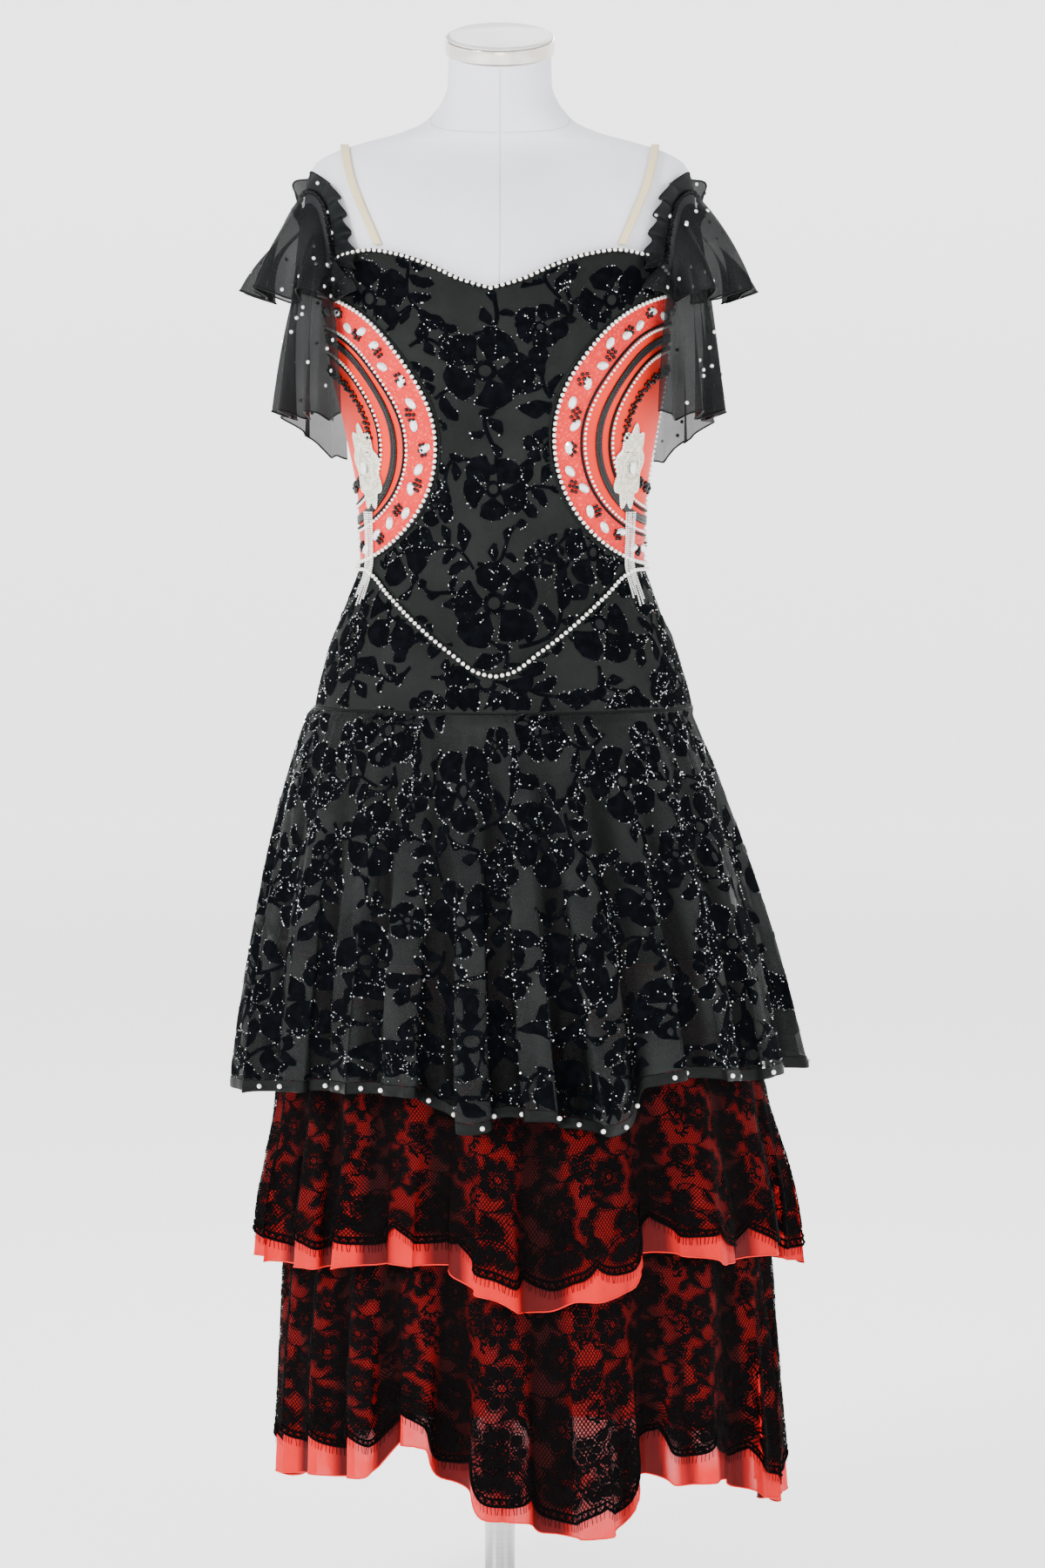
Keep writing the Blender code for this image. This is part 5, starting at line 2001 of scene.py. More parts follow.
# ---- velvet flowers and glitter


def half_drop(
    u_span: tuple[float, float], v_span: tuple[float, float], pitch: tuple[float, float],
    dice: Dice, shift: float,
) -> Array:
    """The places of a half-drop repeat, each moved a little.

    Args:
        u_span: from and to, along.
        v_span: from and to, down.
        pitch: along and down.
        dice: the random numbers.
        shift: the most that a place is moved.

    Returns:
        One u and v for each.
    """
    across = max(1, round((u_span[1] - u_span[0]) / pitch[0]))
    down = math.ceil((v_span[1] - v_span[0]) / pitch[1]) + 1
    column, row = np.meshgrid(np.arange(across), np.arange(down))
    u = u_span[0] + (column.ravel() + 0.5) * (u_span[1] - u_span[0]) / across
    v = v_span[0] + (row.ravel() + 0.5 * (column.ravel() % 2)) * pitch[1]
    return np.stack([u, v], axis=1) + dice.uniform(-shift, shift, (len(u), 2))


def lay_repeat(
    heap: Heap, chart: Chart, spots: Array, pitch: tuple[float, float],
    layout: tuple[tuple[Motif, float, float, float, float, float, float], ...],
    dice: Dice, lift: float, step: float,
) -> list[Array]:
    """Lays the figures of a repeat at each of its places, turned and sized at random.

    Args:
        heap: where their shapes go.
        chart: the cloth.
        spots: u and v of each place.
        pitch: of the repeat, along and down.
        layout: each figure with its place in the repeat, its turns' and its sizes' limits.
        dice: the random numbers.
        lift: of the first figure off the cloth.
        step: that each further figure lies higher.

    Returns:
        The u and v of the lines that glitter runs along.
    """
    lines: list[Array] = []
    for at in spots:
        for i, (figure, right, down, start, end, least, most) in enumerate(layout):
            spot = (at[0] + right * pitch[0], at[1] + down * pitch[1])
            lines += figure.lay(
                heap, chart, spot, dice.uniform(start, end), dice.uniform(least, most),
                bool(dice.integers(2)), (lift + step * i) * MM,
            )
    return lines


@dataclass
class Devore:
    """The cut velvet and silver glitter of the black cloth."""

    pitch: tuple[float, float] = (0.100, 0.108)
    shift: float = 7 * MM
    facet: tuple[float, float] = (0.45 * MM, 1.2 * MM)  # the glitter's least and greatest size
    facet_step: float = 1.2 * MM
    flower: Motif = field(default_factory=lambda: velvet_flower(35 * MM, 5))
    small_flower: Motif = field(default_factory=lambda: velvet_flower(18 * MM, 5))
    spray: Motif = field(default_factory=lambda: velvet_spray(84 * MM, 7, 0.14))
    twig: Motif = field(default_factory=lambda: velvet_spray(46 * MM, 4, -0.20))

    def cover(
        self, name: str, chart: Chart, u_span: tuple[float, float],
        v_span: tuple[float, float], seed: int, density: float = 0.75,
    ) -> None:
        """Covers one piece of cloth.

        Args:
            name: of the piece.
            chart: the piece.
            u_span: from and to, along.
            v_span: from and to, down.
            seed: of its random numbers.
            density: of the glitter.
        """
        dice = np.random.default_rng(seed)
        velvet, glitter = Heap(), Heap()
        layout = (
            (self.flower, 0.0, 0.0, 0, 2 * math.pi, 0.85, 1.15),
            (self.spray, 0.52, 0.05, 0, 2 * math.pi, 0.8, 1.1),
            (self.small_flower, 0.44, -0.36, 0, 2 * math.pi, 0.8, 1.25),
            (self.twig, 0.05, 0.50, 0, 2 * math.pi, 0.9, 1.2),
            (self.twig, 0.62, 0.42, 0, 2 * math.pi, 0.8, 1.1),
        )
        spots = half_drop(u_span, v_span, self.pitch, dice, self.shift)
        lines = lay_repeat(velvet, chart, spots, self.pitch, layout, dice, 0.35, 0.12)
        scattered_facets(glitter, chart, lines, self.facet_step, self.facet, dice, density)
        velvet.make(f"{name}_velvet", Finish.VELVET, "black_devore")
        glitter.make(f"{name}_glitter", Finish.GLITTER, "silver_beads", soft=False)


# ---- bodice and yoke


@dataclass
class Bodice:
    """The fitted bodice and the hip yoke, with their velvet and beaded lines."""

    beads: BeadBox
    devore: Devore
    rows: int = 76
    front_columns: int = 128
    side_columns: int = 40
    back_columns: int = 56
    yoke_rows: int = 30
    wall: float = 1.2 * MM
    seam: float = 0.4 * MM
    margin: float = 2.6 * MM
    pearl_pitch: float = 5.5 * MM
    piping: float = 1.7 * MM  # radius of the black cord under the pearls
    seam_cord: float = 0.8 * MM  # radius of the rolled seams that carry no pearls
    line_cord: float = 1.25 * MM  # radius of the cords beside the lines of small pearls
    edge_cord: float = 1.1 * MM  # radius of the cord inside the panels' edges
    edge_aside: float = 1.4  # degrees from the panels' edges to that cord
    line_aside: tuple[float, float] = (1.3, 3 * MM)  # degrees and height to the others
    small_pitch: float = 4.6 * MM
    small_size: float = 0.76  # of the small pearls, as a share of the others
    rope_half: float = 1.5 * MM  # from the rope's middle line to its two rows of bugles
    rope_slant: float = 0.8  # radians
    rope_size: float = 1.35  # of its bugles, as a factor
    second_line: tuple[float, float] = (63.3, 0.0935)
    rope_line: tuple[float, float] = (57.0, 0.0830)
    third_line: tuple[float, float] = (50.4, 0.0715)
    flower_line: tuple[float, float] = (43.0, 0.0540)

    def build(self) -> None:
        """Builds the cloth, then what is sewn on it."""
        self.front()
        self.sides()
        self.backs()
        self.yoke()
        self.cover()
        self.pearl_lines()
        self.panel_lines()
        self.panel_flowers()

    def sewn(
        self, name: str, points: Array, finish: Finish, slot: str, node: str
    ) -> None:
        """A piece of fitted cloth with its thickness.

        Args:
            name: of the piece.
            points: its grid.
            finish: what it is made of.
            slot: its material slot.
            node: the solid that it replaces.
        """
        patch = Patch(points)
        made = sheet_object(name, patch, finish)
        faces = np.array([polygon.area for polygon in made.data.polygons])
        Workbench.apply(made, "SOLIDIFY", thickness=self.wall, offset=-1)
        size = points.reshape(-1, 3)
        flat = (round(patch.width * 1.02, 3), round(float(np.ptp(size[:, 2])) * 1.04, 3))
        area = min(round(float(faces.sum()) * 1.01, 4), 0.99 * flat[0] * flat[1])
        LOG.info("%s: cut %s m, area %.4f m2", name, flat, area)
        declare(made, slot, node, flat=flat, held="stretched", rests_on=("linen_form",), area=area)

    def edge(self) -> tuple[Array, Array]:
        """The front panel's side edge, down the side seam, the oval and the side seam again.

        Returns:
            Bearings and heights.
        """
        bearing, height = oval_line(self.rows)
        top, foot = np.linspace(NECK_SIDE_HEIGHT, height[0], 5)[:-1], WAIST_SIDE_HEIGHT
        bearing = np.concatenate([np.full(4, SIDE_SEAM), bearing, [SIDE_SEAM]])
        return bearing, np.concatenate([top, height, [foot]])

    def front(self) -> None:
        """The black front: sweetheart neckline, sides curved inwards and a pointed waist."""
        reach, levels = self.edge()
        shares = np.linspace(-1, 1, self.front_columns)
        top, foot = NECKLINE.at("height", abs(shares)), WAIST_SEAM.at("height", abs(shares))
        down = (levels[0] - levels) / (levels[0] - levels[-1])
        heights = top + (foot - top) * down[:, None]
        points = on_dress(shares * (reach[:, None] - 0.15), heights)
        self.sewn("front_panel", points, Finish.DEVORE, "black_devore", "bodice_front")

    def sides(self) -> None:
        """The coral side panels, with a sequinned band inside their curved edge."""
        edge, levels = oval_line(self.rows)
        inner, inner_levels = oval_line(self.rows, *self.second_line)
        across = np.linspace(0, 1, self.side_columns)
        for side in Side:
            bearings = edge[:, None] + 0.15 + (SIDE_SEAM - edge[:, None] - 0.15) * across
            points = on_dress(side.value * bearings, levels[:, None])
            bands = np.linspace(0.02, 1, 12)
            band = on_dress(
                side.value * (edge[:, None] + (inner - edge)[:, None] * bands),
                levels[:, None] + (inner_levels - levels)[:, None] * bands,
                0.4 * MM,
            )
            points, band = side.ordered(points), side.ordered(band)
            name = side.label
            self.sewn(
                f"coral_panel_{name}", points, Finish.CORAL, "coral_sateen", f"bodice_side_{name}"
            )
            made = sheet_object(f"sequin_band_{name}", Patch(band), Finish.CORAL_BAND)
            panel = (f"coral_panel_{name}",)
            declare(made, "coral_sateen", flat=(0.30, 0.03), held="stretched", rests_on=panel)

    def backs(self) -> None:
        """The two backs, which meet in the closing seam down the middle of the back."""
        for side in Side:
            bearings = np.linspace(SIDE_SEAM + 0.4, 179.8, self.back_columns)
            share = (bearings - SIDE_SEAM) / (180 - SIDE_SEAM)
            top = NECK_SIDE_HEIGHT + (NECK_BACK_HEIGHT - NECK_SIDE_HEIGHT) * share
            down = np.linspace(0, 1, self.rows)[:, None]
            points = on_dress(side.value * bearings, top + (WAIST_SIDE_HEIGHT - top) * down)
            self.sewn(
                f"back_panel_{side.label}", side.ordered(points), Finish.DEVORE, "black_devore",
                f"bodice_back_{side.label}",
            )

    def yoke(self) -> None:
        """The hip yoke, front and back, from the waist seam down to the gathers."""
        down = np.linspace(0, 1, self.yoke_rows)[:, None]
        for name, start in (("front", -SIDE_SEAM), ("back", SIDE_SEAM)):
            end = SIDE_SEAM if name == "front" else 360 - SIDE_SEAM
            bearings = np.linspace(start + 0.2, end - 0.2, self.front_columns)
            share = np.minimum(abs(bearings) / SIDE_SEAM, 1)
            top = WAIST_SEAM.at("height", share) - 1.5 * self.seam
            points = on_dress(bearings, top + (YOKE_HEM - top) * down)
            self.sewn(
                f"yoke_{name}", points, Finish.DEVORE, "black_devore", f"hip_yoke_{name}"
            )

    def front_cloth(self, bearing: Array, height: Array) -> Array:
        """Whether places lie on the black front panel, clear of its edges.

        Args:
            bearing: of each place.
            height: of each place.

        Returns:
            True or False for each.
        """
        share = np.clip(abs(bearing) / SIDE_SEAM, 0, 1)
        rise = np.clip((height - OVAL_MIDDLE) / (OVAL_HALF_HEIGHT + self.margin), -1, 1)
        reach = SIDE_SEAM - (OVAL_WIDTH + 1.2) * np.sqrt(1 - rise**2) ** OVAL_POWER
        level = height < NECKLINE.at("height", share) - self.margin
        level &= height > WAIST_SEAM.at("height", share) + self.margin
        return level & (abs(bearing) < reach - 0.5)

    def back_cloth(self, bearing: Array, height: Array) -> Array:
        """Whether places lie on the backs, clear of their edges.

        Args:
            bearing: of each place.
            height: of each place.

        Returns:
            True or False for each.
        """
        level = height < NECK_BACK_HEIGHT - self.margin
        level &= height > WAIST_SIDE_HEIGHT + self.margin
        aside = abs(bearing - 180)
        return level & (aside < 179 - SIDE_SEAM) & (aside > 0.6)

    def yoke_cloth(self, bearing: Array, height: Array) -> Array:
        """Whether places lie on the yoke, clear of its edges.

        Args:
            bearing: of each place.
            height: of each place.

        Returns:
            True or False for each.
        """
        share = np.clip(abs((bearing + 180) % 360 - 180) / SIDE_SEAM, 0, 1)
        level = height < WAIST_SEAM.at("height", share) - self.margin
        return level & (height > YOKE_HEM + 1.5 * MM)

    def cover(self) -> None:
        """Lays velvet and glitter on the black pieces."""
        full = CHART_RADIUS * math.pi
        spans = (
            ("front_panel", self.front_cloth, (-0.6 * full, 0.6 * full), (0.03, 0.42), 11),
            ("back_panel", self.back_cloth, (0.52 * full, 1.48 * full), (0.06, 0.33), 12),
            ("yoke", self.yoke_cloth, (-full, full), (0.31, 0.46), 13),
        )
        for name, region, u_span, v_span, seed in spans:
            self.devore.cover(name, FittedChart(region), u_span, v_span, seed)

    def pearl_lines(self) -> None:
        """Pearls along the neckline, the pointed waist, the panels' edges and the side seams."""
        heap, cords = Heap(), Heap()
        lift = 1.15 * self.beads.pearl_radius
        around = np.linspace(-180, 180, 721)
        share = np.minimum(abs(around) / SIDE_SEAM, 1)
        behind = np.clip((abs(around) - SIDE_SEAM) / (180 - SIDE_SEAM), 0, 1)
        neck = NECKLINE.at("height", share) + (NECK_BACK_HEIGHT - NECK_SIDE_HEIGHT) * behind
        front = np.linspace(-90, 90, 361)
        waist = WAIST_SEAM.at("height", abs(front) / SIDE_SEAM)
        oval, level = oval_line(240)
        lines = [(around, neck - 0.4 * MM), (front, waist)]
        lines += [(side.value * oval, level) for side in Side]
        for i, (bearing, height) in enumerate(lines):
            line = on_dress(bearing, height, lift)
            self.beads.pearl.string(heap, line, self.pearl_pitch, closed=not i)
            cords.add(*tube(on_dress(bearing, height, 0.2 * MM), self.piping))
        for bearing, height in self.plain_seams():
            cords.add(*tube(on_dress(bearing, height, 0.1 * MM), self.seam_cord))
        heap.make("seam_pearls", Finish.PEARL, "silver_beads")
        cords.make("pearl_piping", Finish.CORD, "black_satin")

    @staticmethod
    def plain_seams() -> list[tuple[Array, Array]]:
        """The seams without pearls: waist behind, closing seam, the yoke's sides and hem.

        Returns:
            Bearings and heights along each.
        """
        behind = np.linspace(90, 270, 241)
        waist = WAIST_SEAM.at("height", np.minimum(np.minimum(behind, 360 - behind) / SIDE_SEAM, 1))
        closing = np.linspace(NECK_BACK_HEIGHT - MM, WAIST_SIDE_HEIGHT, 80)
        down = np.linspace(WAIST_SIDE_HEIGHT, YOKE_HEM, 40)
        lines = [(behind, waist), (np.full(80, 180.0), closing)]
        lines += [(np.full(40, side.value * SIDE_SEAM), down) for side in Side]
        return lines + [(np.linspace(-180, 180, 361), np.full(361, YOKE_HEM))]

    def panel_lines(self) -> None:
        """The curved lines of small pearls, black beads and rope on the coral panels."""
        pearls, blacks, cords = Heap(), Heap(), Heap()
        lift = 1.4 * MM
        for side in Side:
            for width, half_height in (self.second_line, self.third_line):
                bearing, height = oval_line(200, width, half_height)
                line = on_dress(side.value * bearing, height, lift)
                self.small_pearls(pearls, line)
                turn, rise = (side.value * aside for aside in self.line_aside)
                beside = width + turn, half_height + rise
                bearing, height = oval_line(200, *beside)
                line = on_dress(side.value * bearing, height, 0.9 * MM)
                cords.add(*tube(line, self.line_cord))
            bearing, height = oval_line(240)
            line = on_dress(side.value * (bearing - self.edge_aside), height, 0.7 * MM)
            cords.add(*tube(line, self.edge_cord))
            self.rope(blacks, side)
            heights = np.linspace(NECK_SIDE_HEIGHT - 8 * MM, WAIST_SIDE_HEIGHT + 7 * MM, 90)
            seam = on_dress(np.full(90, side.value * SIDE_SEAM), heights, lift)
            self.small_pearls(pearls, seam)
        pearls.make("panel_pearls", Finish.PEARL, "silver_beads")
        blacks.make("panel_black_beads", Finish.BLACK_BEAD, "silver_beads")
        cords.make("panel_cords", Finish.CORD, "black_satin")

    @staticmethod
    def chart_line(
        side: Side, count: int, width: float, half_height: float
    ) -> tuple[Array, Array, Array]:
        """An oval line of one side panel on the flat chart.

        Args:
            side: of the dress.
            count: points along it.
            width: how far in front of the side seam its middle lies, in degrees.
            half_height: from its middle to its end.

        Returns:
            u, v and the way that the line points, in radians.
        """
        bearing, height = oval_line(count, width, half_height)
        u, v = np.radians(side.value * bearing) * CHART_RADIUS, CHART_TOP - height
        return u, v, np.arctan2(np.gradient(v), np.gradient(u))

    def small_pearls(self, heap: Heap, line: Array) -> None:
        """Threads pearls of three quarters of the size along a line.

        Args:
            heap: where they go.
            line: its points.
        """
        middle, along = spaced(line, self.small_pitch)
        across = unit(np.cross([[0, 0, 1.0]], along))
        up = np.cross(along, across)
        self.beads.pearl.copies(heap, middle, along, across, up, self.small_size)

    def rope(self, heap: Heap, side: Side) -> None:
        """Black bugles laid slantwise side by side, so that they read as a rope.

        Args:
            heap: where they go.
            side: of the dress.
        """
        u, v, way = self.chart_line(side, 150, *self.rope_line)
        for shift in (-self.rope_half, self.rope_half):
            us, vs = u - np.sin(way) * shift, v + np.cos(way) * shift
            frames = frames_on(WHOLE_CHART, us, vs, way + self.rope_slant, 0.9 * MM)
            self.beads.bugle.copies(heap, *frames, self.rope_size)

    def panel_flowers(self) -> None:
        """Marquise stones and black bead flowers on the band, and bead flowers inside the lines."""
        stones, blacks = Heap(), Heap()
        dice = np.random.default_rng(31)
        width = (OVAL_WIDTH + self.second_line[0]) / 2
        half_height = (OVAL_HALF_HEIGHT + self.second_line[1]) / 2
        for side in Side:
            for count, phase, flowers in ((20, 0.0, False), (13, 1.9, True)):
                u, v, way = self.chart_line(side, count, width, half_height)
                aside = 4.6 * MM * np.sin(2.2 * np.arange(count) + phase + 1.1 * side.value)
                u, v = u - np.sin(way) * aside, v + np.cos(way) * aside
                turn = way + dice.uniform(-0.9, 0.9, count)
                if flowers:
                    self.bead_flowers(blacks, u, v, way, dice)
                else:
                    frames = frames_on(WHOLE_CHART, u, v, turn, 0.6 * MM)
                    self.beads.stone.copies(stones, *frames)
            self.bead_flowers(blacks, *self.chart_line(side, 17, *self.flower_line), dice)
        stones.make("marquise_stones", Finish.STONE, "silver_beads", soft=False)
        blacks.make("black_bead_flowers", Finish.BLACK_BEAD, "silver_beads")

    def bead_flowers(self, heap: Heap, u: Array, v: Array, way: Array, dice: Dice) -> None:
        """Flowers along a line: six black beads round one, drawn out along it.

        Args:
            heap: where they go.
            u: of their middles.
            v: of their middles.
            way: of the line at each, in radians.
            dice: the random numbers.
        """
        lift = np.append(np.full(6, 1.2 * MM), 2.2 * MM)
        sizes = np.append(np.full(6, 1.95), 2.1)
        for middle_u, middle_v, turn in zip(u, v, way):
            turns = np.arange(6) * math.pi / 3 + dice.uniform(0, 1)
            along = np.append(5.4 * MM * np.cos(turns), 0)
            aside = np.append(3.7 * MM * np.sin(turns), 0)
            us = middle_u + along * math.cos(turn) - aside * math.sin(turn)
            vs = middle_v + along * math.sin(turn) + aside * math.cos(turn)
            self.beads.seed.copies(heap, *frames_on(WHOLE_CHART, us, vs, 0.0, lift), sizes)


# ---- skirt

OVERSKIRT_LAYER = SkirtLayer(
    Table(
        "height valley rise",
        (0.450, 0.0290, 0.0340), (0.501, 0.0275, 0.0310), (0.557, 0.0260, 0.0230),
        (0.600, 0.0230, 0.0180), (0.653, 0.0180, 0.0130), (0.733, 0.0100, 0.0080),
        (0.800, 0.0055, 0.0035), (0.853, 0.0016, 0.0000),
    ),
    Table(
        "bearing height",
        (-90, 1.00), (-72, 1.00), (-54, 0.85), (-38, 0.60), (-24, 0.75), (-10, 1.05), (4, 0.90),
        (17, 1.10), (32, 0.70), (47, 0.75), (64, 0.85), (83, 1.15), (100, 0.90), (117, 0.80),
        (136, 1.00), (158, 0.75), (180, 0.95), (201, 0.80), (222, 1.00), (246, 0.85),
    ),
    YOKE_HEM,
    pleat_depth=7.5 * MM,
)
FLOUNCE_RIDGES = Table(
    "bearing height",
    (-90, 1.00), (-74, 0.95), (-58, 0.80), (-43, 0.95), (-27, 0.75), (-10, 1.00), (15, 1.00),
    (44, 0.95), (67, 1.00), (89, 0.95), (109, 0.85), (129, 1.00), (149, 0.80), (170, 0.95),
    (190, 0.85), (210, 1.00), (230, 0.85), (250, 0.95),
)
UPPER_LAYER = SkirtLayer(
    Table(
        "height valley rise",
        (0.300, 0.0150, 0.0300), (0.345, 0.0140, 0.0275), (0.397, 0.0120, 0.0235),
        (0.429, 0.0100, 0.0200), (0.493, 0.0060, 0.0130), (0.550, 0.0040, 0.0090),
        (0.632, 0.0016, 0.0020),
    ),
    FLOUNCE_RIDGES,
    0.632,
    pleats=40,
    pleat_depth=9.0 * MM,
    pleat_fall=(0.11, 0.24),
    pleat_seed=1.9,
)
LOWER_LAYER = SkirtLayer(
    Table(
        "height valley rise",
        (0.100, 0.0040, 0.0270), (0.173, 0.0040, 0.0230), (0.250, 0.0040, 0.0190),
        (0.340, 0.0040, 0.0160), (0.400, 0.0030, 0.0080), (0.456, 0.0018, 0.0012),
    ),
    FLOUNCE_RIDGES,
    0.456,
    pleats=38,
    pleat_depth=9.5 * MM,
    pleat_fall=(0.10, 0.22),
    pleat_seed=4.1,
)
OVERSKIRT_HEM = Table(
    "bearing height",
    (-90, 0.5000), (-71, 0.5070), (-54, 0.5160), (-36, 0.5205), (-22, 0.5220), (-16, 0.5050),
    (-10, 0.4925), (-3, 0.5040), (4, 0.5040), (11, 0.4935), (19, 0.4910), (24, 0.5030),
    (28, 0.5280), (36, 0.5330), (47, 0.5290), (56, 0.5225), (66, 0.5260), (82, 0.5240),
    (98, 0.5200), (130, 0.5080), (180, 0.5120), (230, 0.5050),
)
UPPER_HEM = Table(
    "bearing height lace",
    (-90, 0.3440, 0.012), (-73, 0.3500, 0.016), (-56, 0.3540, 0.017), (-43, 0.3620, 0.018),
    (-34, 0.3670, 0.019), (-20, 0.3695, 0.020), (-14, 0.3550, 0.019), (-8, 0.3460, 0.018),
    (-3, 0.3310, 0.017), (4, 0.3290, 0.017), (9, 0.3405, 0.017), (16, 0.3420, 0.017),
    (22, 0.3490, 0.017), (27, 0.3780, 0.018), (37, 0.3740, 0.018), (51, 0.3610, 0.014),
    (65, 0.3610, 0.012), (80, 0.3490, 0.010), (90, 0.3380, 0.010), (130, 0.3480, 0.016),
    (180, 0.3400, 0.018), (230, 0.3490, 0.016),
)
LOWER_HEM = Table(
    "bearing height lace",
    (-90, 0.1400, 0.026), (-73, 0.1530, 0.030), (-64, 0.1600, 0.028), (-46, 0.1670, 0.026),
    (-38, 0.1780, 0.024), (-34, 0.2040, 0.018), (-26, 0.2040, 0.018), (-21, 0.1760, 0.016),
    (-14, 0.1640, 0.015), (-9, 0.1450, 0.014), (-2, 0.1400, 0.012), (4, 0.1290, 0.012),
    (13, 0.1270, 0.012), (21, 0.1380, 0.014), (26, 0.1800, 0.030), (35, 0.1670, 0.027),
    (49, 0.1630, 0.025), (71, 0.1300, 0.022), (87, 0.1240, 0.020), (120, 0.1400, 0.024),
    (150, 0.1520, 0.022), (180, 0.1450, 0.024), (210, 0.1530, 0.022), (240, 0.1430, 0.024),
)


@dataclass
class Flounce:
    """One gathered flounce: coral chiffon, lace over it with a scalloped edge, and its hem."""

    name: str
    layer: SkirtLayer
    hem: Table
    middle: float  # height of the ring halfway down
    nodes: tuple[str, ...]
    lace_node: str
    motif_top: float  # the lace's figures start below this height, where they are seen
    seed: int
    columns: int = 480
    rows: int = 40
    lace_lift: float = 1.7 * MM
    scallops: int = 24
    scallop_depth: float = 0.015
    bar_pitch: float = 5.0 * MM
    lash_pitch: float = 2.6 * MM
    lash_length: float = 7.5 * MM
    lash_half_width: float = 0.32 * MM
    pitch: tuple[float, float] = (0.053, 0.051)

    def grid(self, foot: Array, out: float = 0.0) -> Array:
        """Rows of points from the gathers down to a hem.

        Args:
            foot: the hem's height at each bearing.
            out: distance off the chiffon's face.

        Returns:
            rows x columns x 3.
        """
        bearings = np.arange(self.columns) * 360 / self.columns
        top, middle = self.layer.gather_top, self.middle
        down = np.linspace(0, 1, self.rows)[:, None]
        upper = top + (middle - top) * np.minimum(down * 2, 1)
        heights = upper + (foot - middle) * np.clip(down * 2 - 1, 0, 1)
        return self.layer.point(bearings, heights, out)

    def build(self) -> None:
        """Builds the chiffon, the net and what is sewn on them."""
        bearings = np.arange(self.columns) * 360 / self.columns
        hem = self.hem.around("height", bearings)
        chiffon = Patch(self.grid(hem), closed=True)
        made = sheet_object(f"{self.name}_flounce", chiffon, Finish.CORAL_CHIFFON, True)
        declare(
            made, "coral_chiffon", *self.nodes, flat=chiffon.cut(1.12), held="gathered",
            rests_on=("plain_underskirt",),
        )
        heap = Heap()
        heap.add(*tube(chiffon.points[-1] + [0, 0, 0.3 * MM], 0.7 * MM, 5))
        heap.make(f"{self.name}_rolled_hem", Finish.CORAL_EDGE, "coral_chiffon")
        self.lace(hem + self.hem.around("lace", bearings))

    def lace(self, edge: Array) -> None:
        """The net with its figures, its scalloped cords and its eyelashes.

        Args:
            edge: the height of the scallops' points at each column.
        """
        turns = np.arange(self.columns) * self.scallops / self.columns
        cusps = self.scallop_depth * (1 - np.abs(np.sin(np.pi * turns)) ** 0.8)
        straight = self.grid(edge, self.lace_lift)
        lifted = self.grid(edge + cusps, self.lace_lift)
        share = ease_in(np.linspace(0, 1, self.rows), 0.72, 1.0)[:, None, None]
        net = Patch(straight + (lifted - straight) * share, closed=True)
        made = sheet_object(f"{self.name}_net", net, Finish.NET)
        declare(
            made, "black_lace", self.lace_node, flat=net.cut(1.12), held="gathered",
            rests_on=(f"{self.name}_flounce",),
        )
        self.figures(net)
        self.edging(net)

    def figures(self, net: Patch) -> None:
        """Lace flowers, leaves and curls over the part of the net that is seen.

        Args:
            net: the net that they lie on.
        """
        heights = net.points[:, :, 2].mean(axis=1)
        first = float(np.interp(-self.motif_top, -heights, net.v))
        dice = np.random.default_rng(self.seed)
        heap = Heap()
        bud, leaves = lace_flower(9.5 * MM, 6), lace_leaf_pair(40 * MM)
        layout = (
            (lace_flower(19 * MM, 8), 0.0, 0.0, -3.0, 3.0, 0.92, 1.08),
            (leaves, 0.0, 0.5, -0.25, 0.25, 0.92, 1.08),
            (bud, 0.5, 0.28, -3.0, 3.0, 0.85, 1.1),
            (lace_scroll(20 * MM), 0.5, 0.78, -3.0, 3.0, 0.85, 1.1),
            (leaves, 0.5, 0.52, -0.5, 0.5, 0.55, 0.7),
        )
        spots = half_drop((0, net.width), (first, net.drop - 0.040), self.pitch, dice, 2 * MM)
        spots = spots[spots[:, 1] < net.drop - 0.034]
        lay_repeat(heap, net, spots, self.pitch, layout, dice, 0.30, 0.10)
        step = net.width / self.scallops
        border = (
            (lace_fan(21 * MM, 5), 0.5, 8 * MM, 1.0),
            (bud, 1.0, 19 * MM, 1.1),
            (bud, 0.5, 38 * MM, 1.0),
        )
        for i in range(self.scallops):
            for figure, right, up, size in border:
                spot = ((i + right) * step, net.drop - up)
                figure.lay(heap, net, spot, dice.uniform(-0.15, 0.15), size, False, 0.95 * MM)
        heap.make(f"{self.name}_lace_figures", Finish.LACE, "black_lace")

